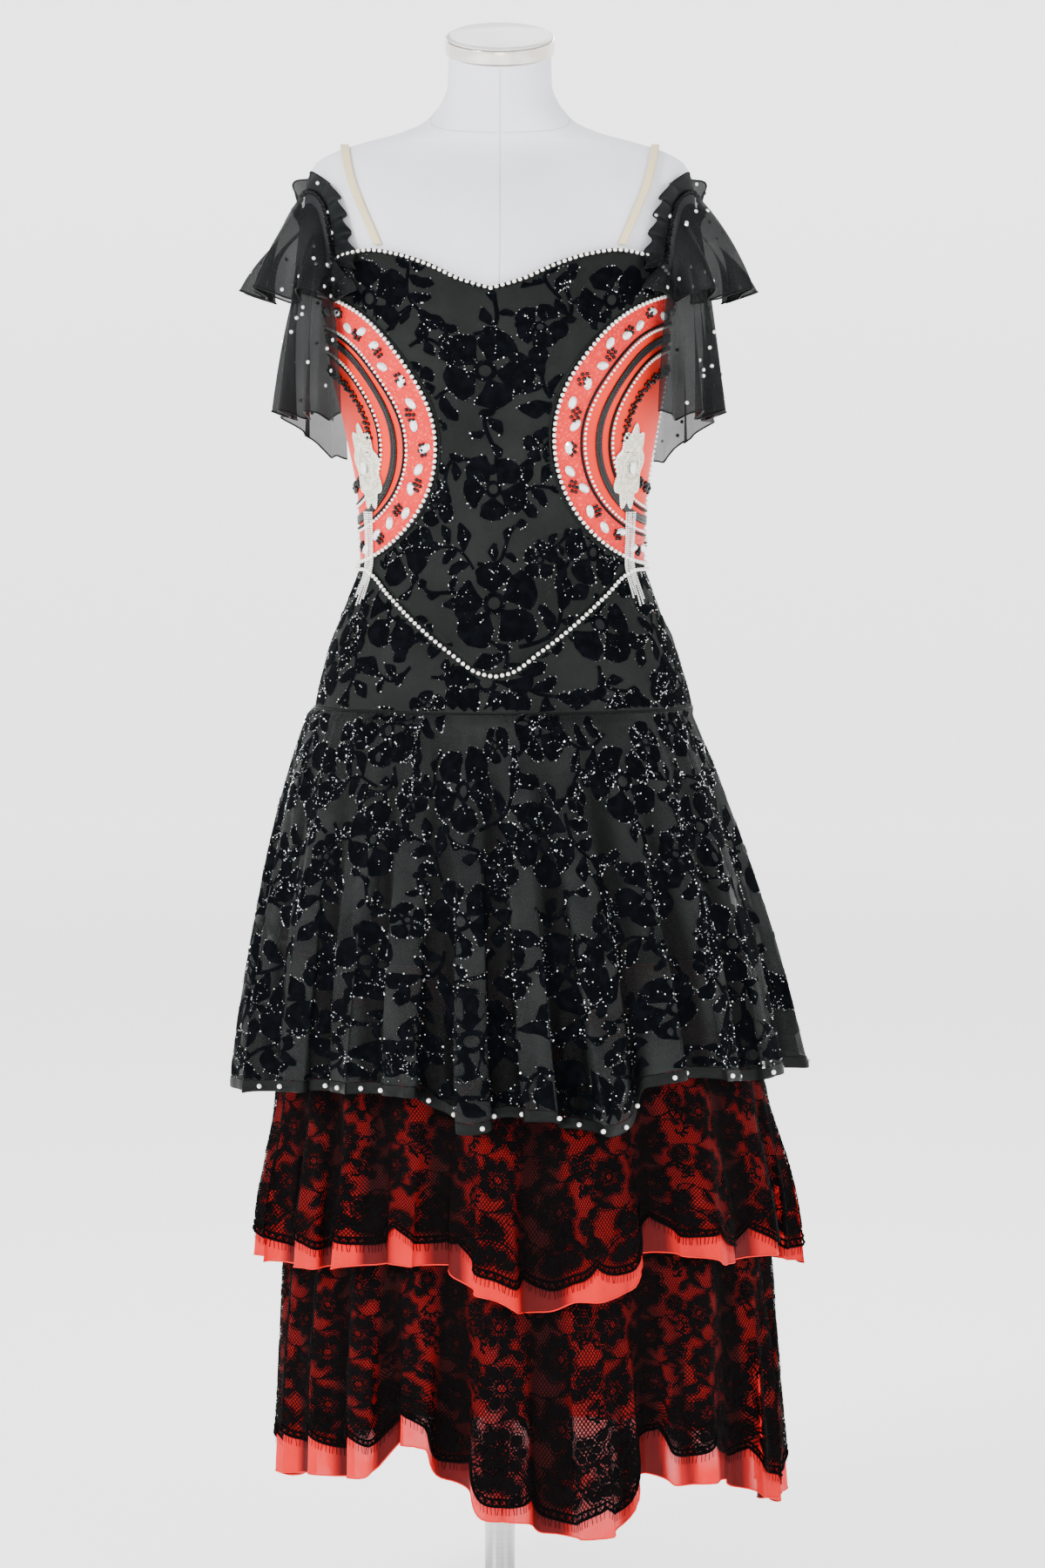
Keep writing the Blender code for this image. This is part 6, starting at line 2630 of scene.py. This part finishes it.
    def edging(self, net: Patch) -> None:
        """Two cords along the scallops with small bars between them, and fine eyelashes.

        Args:
            net: the net that they edge.
        """
        heap = Heap()
        u = np.linspace(0, net.width, 4 * self.columns)
        for up, radius in ((0.6 * MM, 1.35 * MM), (6.0 * MM, 1.05 * MM)):
            line = net.place(u, np.full(len(u), net.drop - up), 0.5 * MM)
            heap.add(*tube(line, radius, 4))
        at = np.arange(0, net.width, self.bar_pitch)
        foot = np.full(len(at), net.drop)
        corners = ((-0.9, 5), (-0.9, 0.5), (0.9, 0.5), (0.9, 5))
        bars = [net.place(at + x * MM, foot - up * MM, 0.6 * MM) for x, up in corners]
        heap.add(np.stack(bars, axis=1), QUAD)
        at = np.arange(0, net.width, self.lash_pitch)
        foot = np.full(len(at), net.drop)
        root = net.place(at, foot, 0.3 * MM)
        dice = np.random.default_rng(self.seed + 1)
        lean = dice.uniform(-1.5, 1.5, (len(at), 1)) * MM
        along = unit(net.place(at + 0.5 * MM, foot, 0.3 * MM) - root)
        tip = root + along * lean - [[0, 0, self.lash_length]]
        wide = along * self.lash_half_width
        lashes = [root - wide, tip - wide, tip + wide, root + wide]
        heap.add(np.stack(lashes, axis=1), QUAD)
        heap.make(f"{self.name}_lace_edge", Finish.LACE, "black_lace")


@dataclass
class Skirt:
    """The underskirt, the two flounces and the gathered overskirt with its bound hem."""

    beads: BeadBox
    devore: Devore
    columns: int = 560
    rows: int = 56
    gathers: int = 36  # soft ones round the underskirt's top
    gather_depth: float = 1.1 * MM
    gather_fade: float = 0.12  # the share of the drop over which they fade
    underskirt_top: float = 0.800
    underskirt_hem: float = 0.445
    overskirt_top: float = 0.8455
    binding: float = 0.010
    hem_pearl_pitch: float = 39 * MM

    def build(self) -> None:
        """Builds from the inside out."""
        self.underskirt()
        Flounce(
            "lower", LOWER_LAYER, LOWER_HEM, 0.335,
            tuple(f"lower_flounce_chiffon_{gore}" for gore in ("front", "right", "back", "left")),
            "lower_flounce_lace", 0.395, 41,
        ).build()
        Flounce(
            "upper", UPPER_LAYER, UPPER_HEM, 0.480, ("upper_flounce_chiffon",),
            "upper_flounce_lace", 0.575, 51,
        ).build()
        self.overskirt()

    @staticmethod
    def under_yoke(bearings: Array, out: float) -> Array:
        """Points just under the yoke's lower edge."""
        return on_dress(bearings - DRESS_TURN, YOKE_HEM, out) - [0, 0, 0.8 * MM]

    def underskirt(self) -> None:
        """The plain black underskirt that carries the flounces, softly gathered at its top."""
        bearings = np.arange(240) * 1.5
        share = np.linspace(0, 1, 30)[1:, None]
        top = self.underskirt_top
        heights = top + (self.underskirt_hem - top) * share
        waves = np.sin(np.radians(self.gathers * bearings))
        pull = self.gather_depth * waves * np.exp(-share / self.gather_fade)
        rows = on_skirt(bearings, np.vstack([np.full(240, top), heights * np.ones(240)]), 0.0)
        rows[1:] += (rows[1:] - on_skirt(bearings, heights, -1.0)) * pull[..., None]
        points = np.concatenate([self.under_yoke(bearings, -0.6 * MM)[None], rows])
        patch = Patch(points, closed=True)
        made = sheet_object("plain_underskirt", patch, Finish.LINING)
        nodes = tuple(f"underskirt_{gore}" for gore in ("front", "right", "back", "left"))
        declare(
            made, "black_lining", *nodes, flat=patch.cut(1.05), held="hung",
            rests_on=("linen_form",),
        )

    def overskirt(self) -> None:
        """The gathered overskirt of sheer cloth with velvet on it, and its bound hem."""
        bearings = np.arange(self.columns) * 360 / self.columns
        hem = OVERSKIRT_HEM.around("height", bearings)
        share = np.linspace(0, 1, self.rows)[:, None] ** 1.12
        edge = hem + self.binding + 0.4 * MM
        top = self.overskirt_top
        rows = OVERSKIRT_LAYER.point(bearings, top + (edge - top) * share)
        points = np.concatenate([self.under_yoke(bearings, 1.2 * MM)[None], rows])
        cloth = Patch(points, closed=True)
        made = sheet_object("gathered_overskirt", cloth, Finish.SHEER_DEVORE, True)
        declare(
            made, "black_devore", "overskirt", flat=cloth.cut(1.25), held="gathered",
            rests_on=("upper_net",),
        )
        self.devore.cover("overskirt", cloth, (0, cloth.width), (0.012, cloth.drop), 61, 0.95)
        self.bind(bearings, hem)

    def bind(self, bearings: Array, hem: Array) -> None:
        """The satin binding, folded over the edge, with a pearl at every few centimetres.

        Args:
            bearings: of its columns.
            hem: its lower edge's height at each.
        """
        width = self.binding
        profile = (
            (0.7 * MM, width), (1.1 * MM, width * 0.55), (0.8 * MM, 0.8 * MM), (0.0, 0.0),
            (-1.0 * MM, 1.6 * MM), (-1.2 * MM, width * 0.9),
        )
        points = np.stack([OVERSKIRT_LAYER.point(bearings, hem + up, out) for out, up in profile])
        patch = Patch(points, closed=True)
        made = sheet_object("hem_binding", patch, Finish.SATIN)
        declare(
            made, "black_satin", "overskirt_binding", flat=patch.cut(1.0), held="stretched",
            rests_on=("gathered_overskirt",),
        )
        heap = Heap()
        count = round(patch.width / self.hem_pearl_pitch)
        dice = np.random.default_rng(71)
        u = (np.arange(count) + dice.uniform(-0.28, 0.28, count)) * patch.width / count
        frames = frames_on(patch, u, np.full(count, patch.v[1] + 0.6 * MM), 0.0, 1.5 * MM)
        self.beads.pearl.copies(heap, *frames, 1.15)
        heap.make("hem_pearls", Finish.PEARL, "silver_beads")


# ---- sleeves and straps


def inside_form(points: Array, outs: Array | float = 0.0) -> Array:
    """Where points lie against the form grown by a distance.

    Args:
        points: the points.
        outs: the distances.

    Returns:
        Below 1 for each point inside it.
    """
    height = np.clip(points[..., 2], FORM.key[0], FORM.key[-1])
    front, back = FORM.at("front_depth", height), FORM.at("back_depth", height)
    depth = np.where(points[..., 1] < 0, front, back)
    across = (points[..., 0] - FORM.at("centre", height)) / (FORM.at("half_width", height) + outs)
    share = across**2 + (points[..., 1] / (depth + outs)) ** 2
    return np.where(points[..., 2] > FORM.key[-1], 2.0, share)


@dataclass(frozen=True)
class Ruffle:
    """The sizes of one flutter flounce."""

    band_x: float  # X of its band
    open_to: float  # degrees round the arm, from the outside to its ends
    reach: float  # of its hem in X
    depth: float  # of its hem in Y
    hem: float  # height
    lift: float  # the band's clearance
    wave_size: float  # of its folds
    back_drop: float  # how much lower it hangs behind
    folds: int = 6


@dataclass
class Sleeve:
    """The two flutter flounces and the heading over one shoulder, with their stones."""

    side: Side
    beads: BeadBox
    columns: int = 181
    rows: int = 30
    band_y: float = 0.010
    band_z: float = 1.268
    band_start: float = -103
    band_end: float = 108
    band_lean: float = 48
    lean_turn: float = 8
    lean_spread: float = 34
    band_ends: float = 0.22
    sinks: tuple[float, float] = (0.0, 0.6 * MM)  # how much lower the left and right ones lie
    band_curve: float = 0.012
    upper: Ruffle = Ruffle(0.158, 106, 0.074, 0.088, 1.227, 4.5 * MM, 13.5 * MM, 0.0)
    lower: Ruffle = Ruffle(0.165, 98, 0.049, 0.070, 1.119, 1.7 * MM, 9.5 * MM, 0.045)
    middle: tuple[float, float] = (0.150, 0.006)
    out: float = 0.80
    down: float = 0.35
    heading_x: float = 0.1575
    heading_lift: float = 2.9 * MM
    heading_widths: tuple[float, float] = (0.012, 0.021)
    heading_wave: float = 4.6 * MM
    heading_folds: int = 15
    band_cord: float = 2.2 * MM  # radius of the gathered band between heading and flounce
    rim_cord: float = 0.85 * MM  # radius of the ruffles' rolled edges
    edge_lift: float = 1.0 * MM
    stone_area: float = 0.0011  # of cloth for each stone
    heading_stones: int = 9
    pleat_x: float = 0.080
    strap_ends: tuple[float, float] = (0.108, 0.112)  # X in front and behind
    strap_top: float = 0.1415
    strap_width: float = 7.5 * MM
    strap_wall: float = 1.0 * MM
    strap_lift: float = 2.9 * MM

    def over_shoulder(
        self, x: Array, turns: Array, outs: Array, leans: Array | float = 0.0
    ) -> Array:
        """Where rays from the shoulder's middle leave the form, and a distance further.

        Args:
            x: of each ray's start.
            turns: degrees from straight up towards the back.
            outs: the further distances.
            leans: degrees that the rays lean outwards.

        Returns:
            The points.
        """
        start = np.stack([x, np.full_like(x, self.band_y), np.full_like(x, self.band_z)], axis=1)
        turn, lean = np.radians(turns), np.radians(leans) + np.zeros_like(turns)
        flat = np.cos(lean)
        way = np.stack([np.sin(lean), np.sin(turn) * flat, np.cos(turn) * flat], axis=1)
        near, far = np.zeros(len(turns)), np.full(len(turns), 0.30)
        for _ in range(26):
            half = (near + far) / 2
            inside = inside_form(start + way * half[:, None]) < 1
            near, far = np.where(inside, half, near), np.where(inside, far, half)
        return start + way * (near + outs)[:, None]

    @staticmethod
    def push_clear(points: Array, outs: Array) -> Array:
        """Points, with those too near the form moved out sideways.

        Args:
            points: the points.
            outs: the least clearance of each.

        Returns:
            The points that are clear.
        """
        share = inside_form(points, outs)
        scale = np.where(share < 1, 1 / np.sqrt(np.maximum(share, 1e-6)), 1.0)
        return points * np.stack([scale, scale, np.ones_like(scale)], axis=-1)

    def armhole(self, x: Array | float, lift: float, count: int) -> tuple[Array, Array]:
        """The line that carries the sleeve, from the front over the shoulder.

        Args:
            x: of the line.
            lift: its clearance of the form.
            count: points along it.

        Returns:
            The line and its clearances.
        """
        turns = np.linspace(self.band_start, self.band_end, count)
        shares = np.linspace(-1, 1, count)
        end = np.clip((np.abs(shares) - 1) / self.band_ends + 1, 0, 1)
        outs = lift + EASE.columns["ease"][-1] * end * end * (3 - 2 * end)
        leans = self.band_lean * np.exp(-(((turns - self.lean_turn) / self.lean_spread) ** 2))
        line = self.over_shoulder(x - self.band_curve * shares**2, turns, outs, leans)
        return self.push_clear(line, outs), outs

    def flounce(self, cut: Ruffle, sink: float) -> Array:
        """Rows of points on one flounce, with small ripples between its folds.

        Args:
            cut: its sizes.
            sink: how much lower its band lies than they say.

        Returns:
            rows x columns x 3.
        """
        n = self.columns
        band, outs = self.armhole(cut.band_x, cut.lift - sink, n)
        turns = np.radians(np.linspace(-cut.open_to, cut.open_to, n))
        share = np.linspace(0, 1, n)
        phase = 0.10 if self.side is Side.RIGHT else 0.35
        sharp = np.sin(2 * np.pi * (cut.folds * share + phase))
        wave = np.sign(sharp) * np.abs(sharp) ** 0.85 * cut.wave_size
        small = np.sin(2 * np.pi * (2.4 * cut.folds * share + 2 * phase)) * 0.34 * cut.wave_size
        drop = cut.back_drop * np.clip(share - 0.6, 0, 1) / 0.4
        down = np.linspace(0, 1, self.rows)[:, None]
        swing = (wave + small * down) * down
        hems = np.stack(
            [
                self.middle[0] + (cut.reach + swing) * np.cos(turns),
                self.middle[1] + (cut.depth + swing) * np.sin(turns),
                cut.hem - drop + 0.4 * wave + 0.25 * small + np.zeros_like(swing),
            ],
            axis=-1,
        )
        over = band + (hems - band) * [self.out, self.out, self.down]
        near, far = down[..., None], 1 - down[..., None]
        points = band * far**2 + over * 2 * near * far + hems * near**2
        fade = np.exp(-down / 0.10) * np.minimum(down * 12, 1)
        points[..., 0] += 0.9 * MM * np.sin(2 * np.pi * 31 * share) * fade
        return self.push_clear(points, outs)

    def heading(self, lift: float) -> Array:
        """The narrow ruffle beyond the band, which leans over the strap towards the neck.

        Args:
            lift: its clearance of the form.

        Returns:
            rows x columns x 3.
        """
        n = 16 * self.heading_folds + 1
        foot = self.armhole(self.heading_x, lift, n)[0]
        wave = np.sin(2 * np.pi * self.heading_folds * np.linspace(0, 1, n))
        least, most = self.heading_widths
        width = least + (most - least) * np.linspace(-1, 1, n) ** 2
        edge = self.armhole(self.heading_x - width, lift + self.edge_lift, n)[0]
        away = unit(edge - [self.pleat_x, self.band_y, self.band_z])
        edge = edge + away * ((1 + wave) * self.heading_wave)[:, None]
        share = np.linspace(0, 1, 7)[:, None, None]
        bow = away * (1.2 * MM * np.sin(np.pi * share))
        return edge + (foot - edge) * share + bow

    def build(self) -> None:
        """Builds the three ruffles, their rolled edges and their stones."""
        sink = self.sinks[self.side is Side.RIGHT]
        pieces = {
            "upper": self.flounce(self.upper, sink),
            "lower": self.flounce(self.lower, 0.0),
            "heading": self.heading(self.heading_lift - sink),
        }
        edges, stones = Heap(), Heap()
        label = self.side.label
        for i, (part, points) in enumerate(pieces.items()):
            patch = Patch(self.side.ordered(points * [self.side.value, 1, 1]))
            finish = Finish.RUCHE if part == "heading" else Finish.CHIFFON
            made = sheet_object(f"{part}_ruffle_{label}", patch, finish)
            declare(
                made, "black_chiffon", f"sleeve_{part}_{label}", flat=patch.cut(1.1, 3),
                held="gathered", rests_on=("linen_form",),
            )
            rim = patch.points[0] if part == "heading" else patch.points[-1]
            edges.add(*tube(rim, self.rim_cord))
            dice = np.random.default_rng(80 + 3 * i + self.side.value)
            count = self.heading_stones
            if part != "heading":
                count = round(patch.width * patch.drop / self.stone_area)
            u = dice.uniform(0.02, 0.98, count) * patch.width
            v = dice.uniform(0.12, 0.95, count) * patch.drop
            frames = frames_on(patch, u, v, dice.uniform(0, 3), 0.3 * MM)
            self.beads.gem.copies(stones, *frames, 1.15)
        band = self.armhole(self.heading_x + 1 * MM, 4.6 * MM - sink, 241)[0]
        band[:, 0] += 0.8 * MM * np.sin(np.arange(241) * 1.4)
        edges.add(*tube(band * [self.side.value, 1, 1], self.band_cord, 8))
        edges.make(f"sleeve_edges_{label}", Finish.CORD, "black_chiffon")
        stones.make(f"sleeve_stones_{label}", Finish.STONE, "silver_beads", soft=False)
        self.strap()

    def strap(self) -> None:
        """The flat elastic strap from the front neckline over the shoulder to the back."""
        turns = np.linspace(-88, 106, 90)
        over = np.clip(np.cos(np.radians(turns)), 0, 1)
        ends = np.where(turns < 10, *self.strap_ends)
        x = ends + (self.strap_top - ends) * over
        middle = self.over_shoulder(x, turns, np.full(90, self.strap_lift))
        across = np.linspace(-0.5, 0.5, 5)[:, None] * [[self.strap_width, 0, 0]]
        rows = middle[:, None] + across[None]
        rows = self.side.ordered(rows * [self.side.value, 1, 1])
        patch = Patch(rows.transpose(1, 0, 2)[::-1])
        made = sheet_object(f"elastic_strap_{self.side.label}", patch, Finish.ELASTIC)
        Workbench.apply(made, "SOLIDIFY", thickness=self.strap_wall, offset=-1)
        declare(made, "nude_elastic", f"strap_{self.side.label}")


# ---- brooches


@dataclass
class Brooch:
    """A petalled brooch of silver beads over a domed plate, with strands of beads under it."""

    side: Side
    beads: BeadBox
    bearing: float = 60
    height: float = 1.072
    half_width: float = 22 * MM
    half_height: float = 39 * MM
    thickness: float = 4.5 * MM
    plate_share: float = 0.55  # of the thickness that the plate takes up
    dome_share: float = 0.62  # of the thickness that the beads' middles lie at
    petals: int = 9
    lift: float = 0.95 * MM
    radius: float = 0.125
    ring_pitch: float = 2.15 * MM
    bead_pitch: float = 1.9 * MM
    strand_lift: float = 1.9 * MM
    strands: int = 6
    strand_pitch: float = 3.1 * MM
    strand_top: float = 1.031
    strand_length: float = 0.078
    strand_turn: float = 4.0
    shortest: float = 0.72

    def point(self, turns: Array, share: Array | float, out: Array | float) -> Array:
        """Points of the brooch.

        Args:
            turns: radians round it.
            share: of the way from its middle to its petalled outline.
            out: off the cloth.

        Returns:
            The points.
        """
        outline = (0.90 + 0.10 * np.cos(turns * self.petals)) * share
        bearing = np.degrees(outline * self.half_width * np.sin(turns) / self.radius)
        height = self.height + outline * self.half_height * np.cos(turns)
        return on_dress(bearing + self.bearing * self.side.value, height, out)

    def build(self) -> None:
        """Builds the plate, its beads and the strands."""
        self.plate()
        self.pave()
        self.fringe()

    def plate(self) -> None:
        """A round plate drawn out into a petalled dome."""
        made = Workbench.plate(90, 1.0)
        outs, shares = (0.0, 0.0, 0.35, 0.70, 0.95, 1.0), (0.92, 1.0, 0.92, 0.62, 0.30)
        wide = 1.0
        for share in shares:
            Workbench.rise(1.0, share / wide)
            wide = share
        bpy.ops.object.mode_set(mode="OBJECT")
        for vertex in made.data.vertices:
            turn = math.atan2(vertex.co.x, vertex.co.y)
            share = math.hypot(vertex.co.x, vertex.co.y) * (0.92 if vertex.co.z < 0.5 else 1.0)
            out = self.lift + self.plate_share * self.thickness * outs[round(vertex.co.z)]
            vertex.co = self.point(np.array(turn), share, out)
        bpy.ops.object.mode_set(mode="EDIT")
        Workbench.face_out()
        Workbench.close(made, f"brooch_plate_{self.side.label}", Finish.SILVER_BEAD, 60)
        declare(made, "silver_beads", f"brooch_{self.side.label}")

    def pave(self) -> None:
        """Rings of small beads all over the dome, a stone in the middle and pearls round it."""
        silver, white = Heap(), Heap()
        dome = (
            (1.0, 0.30), (0.90, 0.50), (0.79, 0.66), (0.67, 0.78), (0.55, 0.86), (0.43, 0.92),
            (0.31, 0.96),
        )
        for i, (share, out) in enumerate(dome):
            turns = np.linspace(0, 2 * np.pi, 240)
            line = self.point(turns, share, self.lift + self.thickness * self.dome_share * out)
            heap = white if i in (0, 4) else silver
            self.beads.seed.string(heap, line, self.ring_pitch, True)
        start = np.array([0.0])
        middle = self.point(start, 0.0, self.lift + self.thickness * self.dome_share)
        normal = unit(middle - self.point(start, 0.0, 0.0))
        across = unit(np.cross(normal, [[0, 0, 1.0]]))
        stones = Heap()
        self.beads.stone.copies(stones, middle, np.cross(across, normal), across, normal, 1.1)
        label = self.side.label
        silver.make(f"brooch_beads_{label}", Finish.SILVER_BEAD, "silver_beads")
        white.make(f"brooch_pearls_{label}", Finish.PEARL, "silver_beads")
        stones.make(f"brooch_stone_{label}", Finish.STONE, "silver_beads", soft=False)

    def fringe(self) -> None:
        """Six uneven strands of beads that hang from under the brooch."""
        heap = Heap()
        middle = (self.bearing + self.strand_turn) * self.side.value
        for i in range(self.strands):
            across = (i - (self.strands - 1) / 2) * self.strand_pitch
            length = self.strand_length * (
                self.shortest + (1 - self.shortest) * abs(math.sin(1.9 * i + 0.7))
            )
            down = np.linspace(0, 1, 40)
            sway = 0.6 * MM * np.sin(5 * down + 1.7 * i)
            bearing = middle + np.degrees((across + sway) / self.radius)
            height = self.strand_top - (length + 6 * MM) * down
            line = on_dress(bearing, height, self.strand_lift)
            self.beads.seed.string(heap, line, self.bead_pitch)
        side = self.side.label
        name, node = f"brooch_strands_{side}", f"brooch_fringe_{side}"
        heap.make(name, Finish.WHITE_BEAD, "silver_beads", node)


# ---- studio


@dataclass
class Studio:
    """A pale bowl-shaped backdrop, soft lights and the camera."""

    floor_radius: float = 8.5
    wall_radius: float = 10.5
    wall_height: float = 6.0
    camera_at: tuple[float, float, float] = (0.0, -4.2, 1.11)
    aim: tuple[float, float, float] = (0.0, 0.0, 0.7813)
    frame_height: float = 1.44  # metres seen at the aim
    shift: float = 26 / 1800
    lamps: tuple[tuple[str, tuple[float, float, float], float, float], ...] = (
        ("key", (-2.6, -2.6, 2.9), 1.3, 190.0),
        ("fill", (2.6, -2.6, 1.8), 2.4, 45.0),
        ("top", (0.4, 1.8, 3.4), 2.0, 90.0),
        ("low", (0.0, -3.6, 0.7), 1.6, 22.0),
    )  # name, place, size and power
    lit_height: float = 0.85  # where the lamps point
    world_strength: float = 0.5

    def build(self) -> None:
        """Builds the set."""
        self.backdrop()
        self.lights()
        self.camera()

    def backdrop(self) -> None:
        """A floor that curves up into a wall all round."""
        lift = self.wall_radius - self.floor_radius
        turn = np.linspace(0, np.pi / 2, 14)
        bend = self.floor_radius + lift * np.sin(turn)
        reach = np.concatenate([[0.02, 1.5, 3.5], bend, [self.wall_radius]])
        height = np.concatenate([[0, 0, 0], lift * (1 - np.cos(turn)), [self.wall_height]])
        bearings = np.radians(np.arange(0, 360, 5.0))
        points = np.stack(
            [
                reach[:, None] * np.sin(bearings),
                -reach[:, None] * np.cos(bearings),
                height[:, None] * np.ones(len(bearings)) - 1 * MM,
            ],
            axis=-1,
        )
        made = sheet_object("backdrop", Patch(points[::-1], closed=True), Finish.PAPER)
        made.data.flip_normals()

    def lights(self) -> None:
        """Large soft lights from all sides, and a pale world."""
        for name, spot, size, power in self.lamps:
            data = bpy.data.lights.new(name, "AREA")
            data.shape = "DISK"
            data.size = size
            data.energy = power
            lamp = bpy.data.objects.new(name, data)
            lamp.location = spot
            aim = Vector((0, 0, self.lit_height)) - Vector(spot)
            lamp.rotation_euler = aim.to_track_quat("-Z", "Y").to_euler()
            bpy.context.scene.collection.objects.link(lamp)
        world = bpy.data.worlds.new("studio")
        world.use_nodes = True
        bpy.context.scene.world = world
        background = world.node_tree.nodes["Background"]
        background.inputs["Color"].default_value = (1.0, 1.0, 1.0, 1)
        background.inputs["Strength"].default_value = self.world_strength

    def camera(self) -> None:
        """The camera, in front and a little above."""
        data = bpy.data.cameras.new("camera")
        data.sensor_fit = "VERTICAL"
        data.sensor_height = 36
        spot, aim = Vector(self.camera_at), Vector(self.aim)
        data.angle = 2 * math.atan(self.frame_height / 2 / (aim - spot).length)
        data.shift_x = self.shift
        camera = bpy.data.objects.new("camera", data)
        camera.location = spot
        camera.rotation_euler = (aim - spot).to_track_quat("-Z", "Y").to_euler()
        bpy.context.scene.collection.objects.link(camera)
        bpy.context.scene.camera = camera


def main() -> None:
    """Builds the dress on its form in the frame of the solids."""
    logging.basicConfig(level=logging.INFO, format="%(message)s")
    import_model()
    beads = BeadBox()
    devore = Devore()
    DressForm().build()
    Bodice(beads, devore).build()
    Skirt(beads, devore).build()
    for side in Side:
        Sleeve(side, beads).build()
        Brooch(side, beads).build()
    Studio().build()


if __name__ == "__main__":
    main()
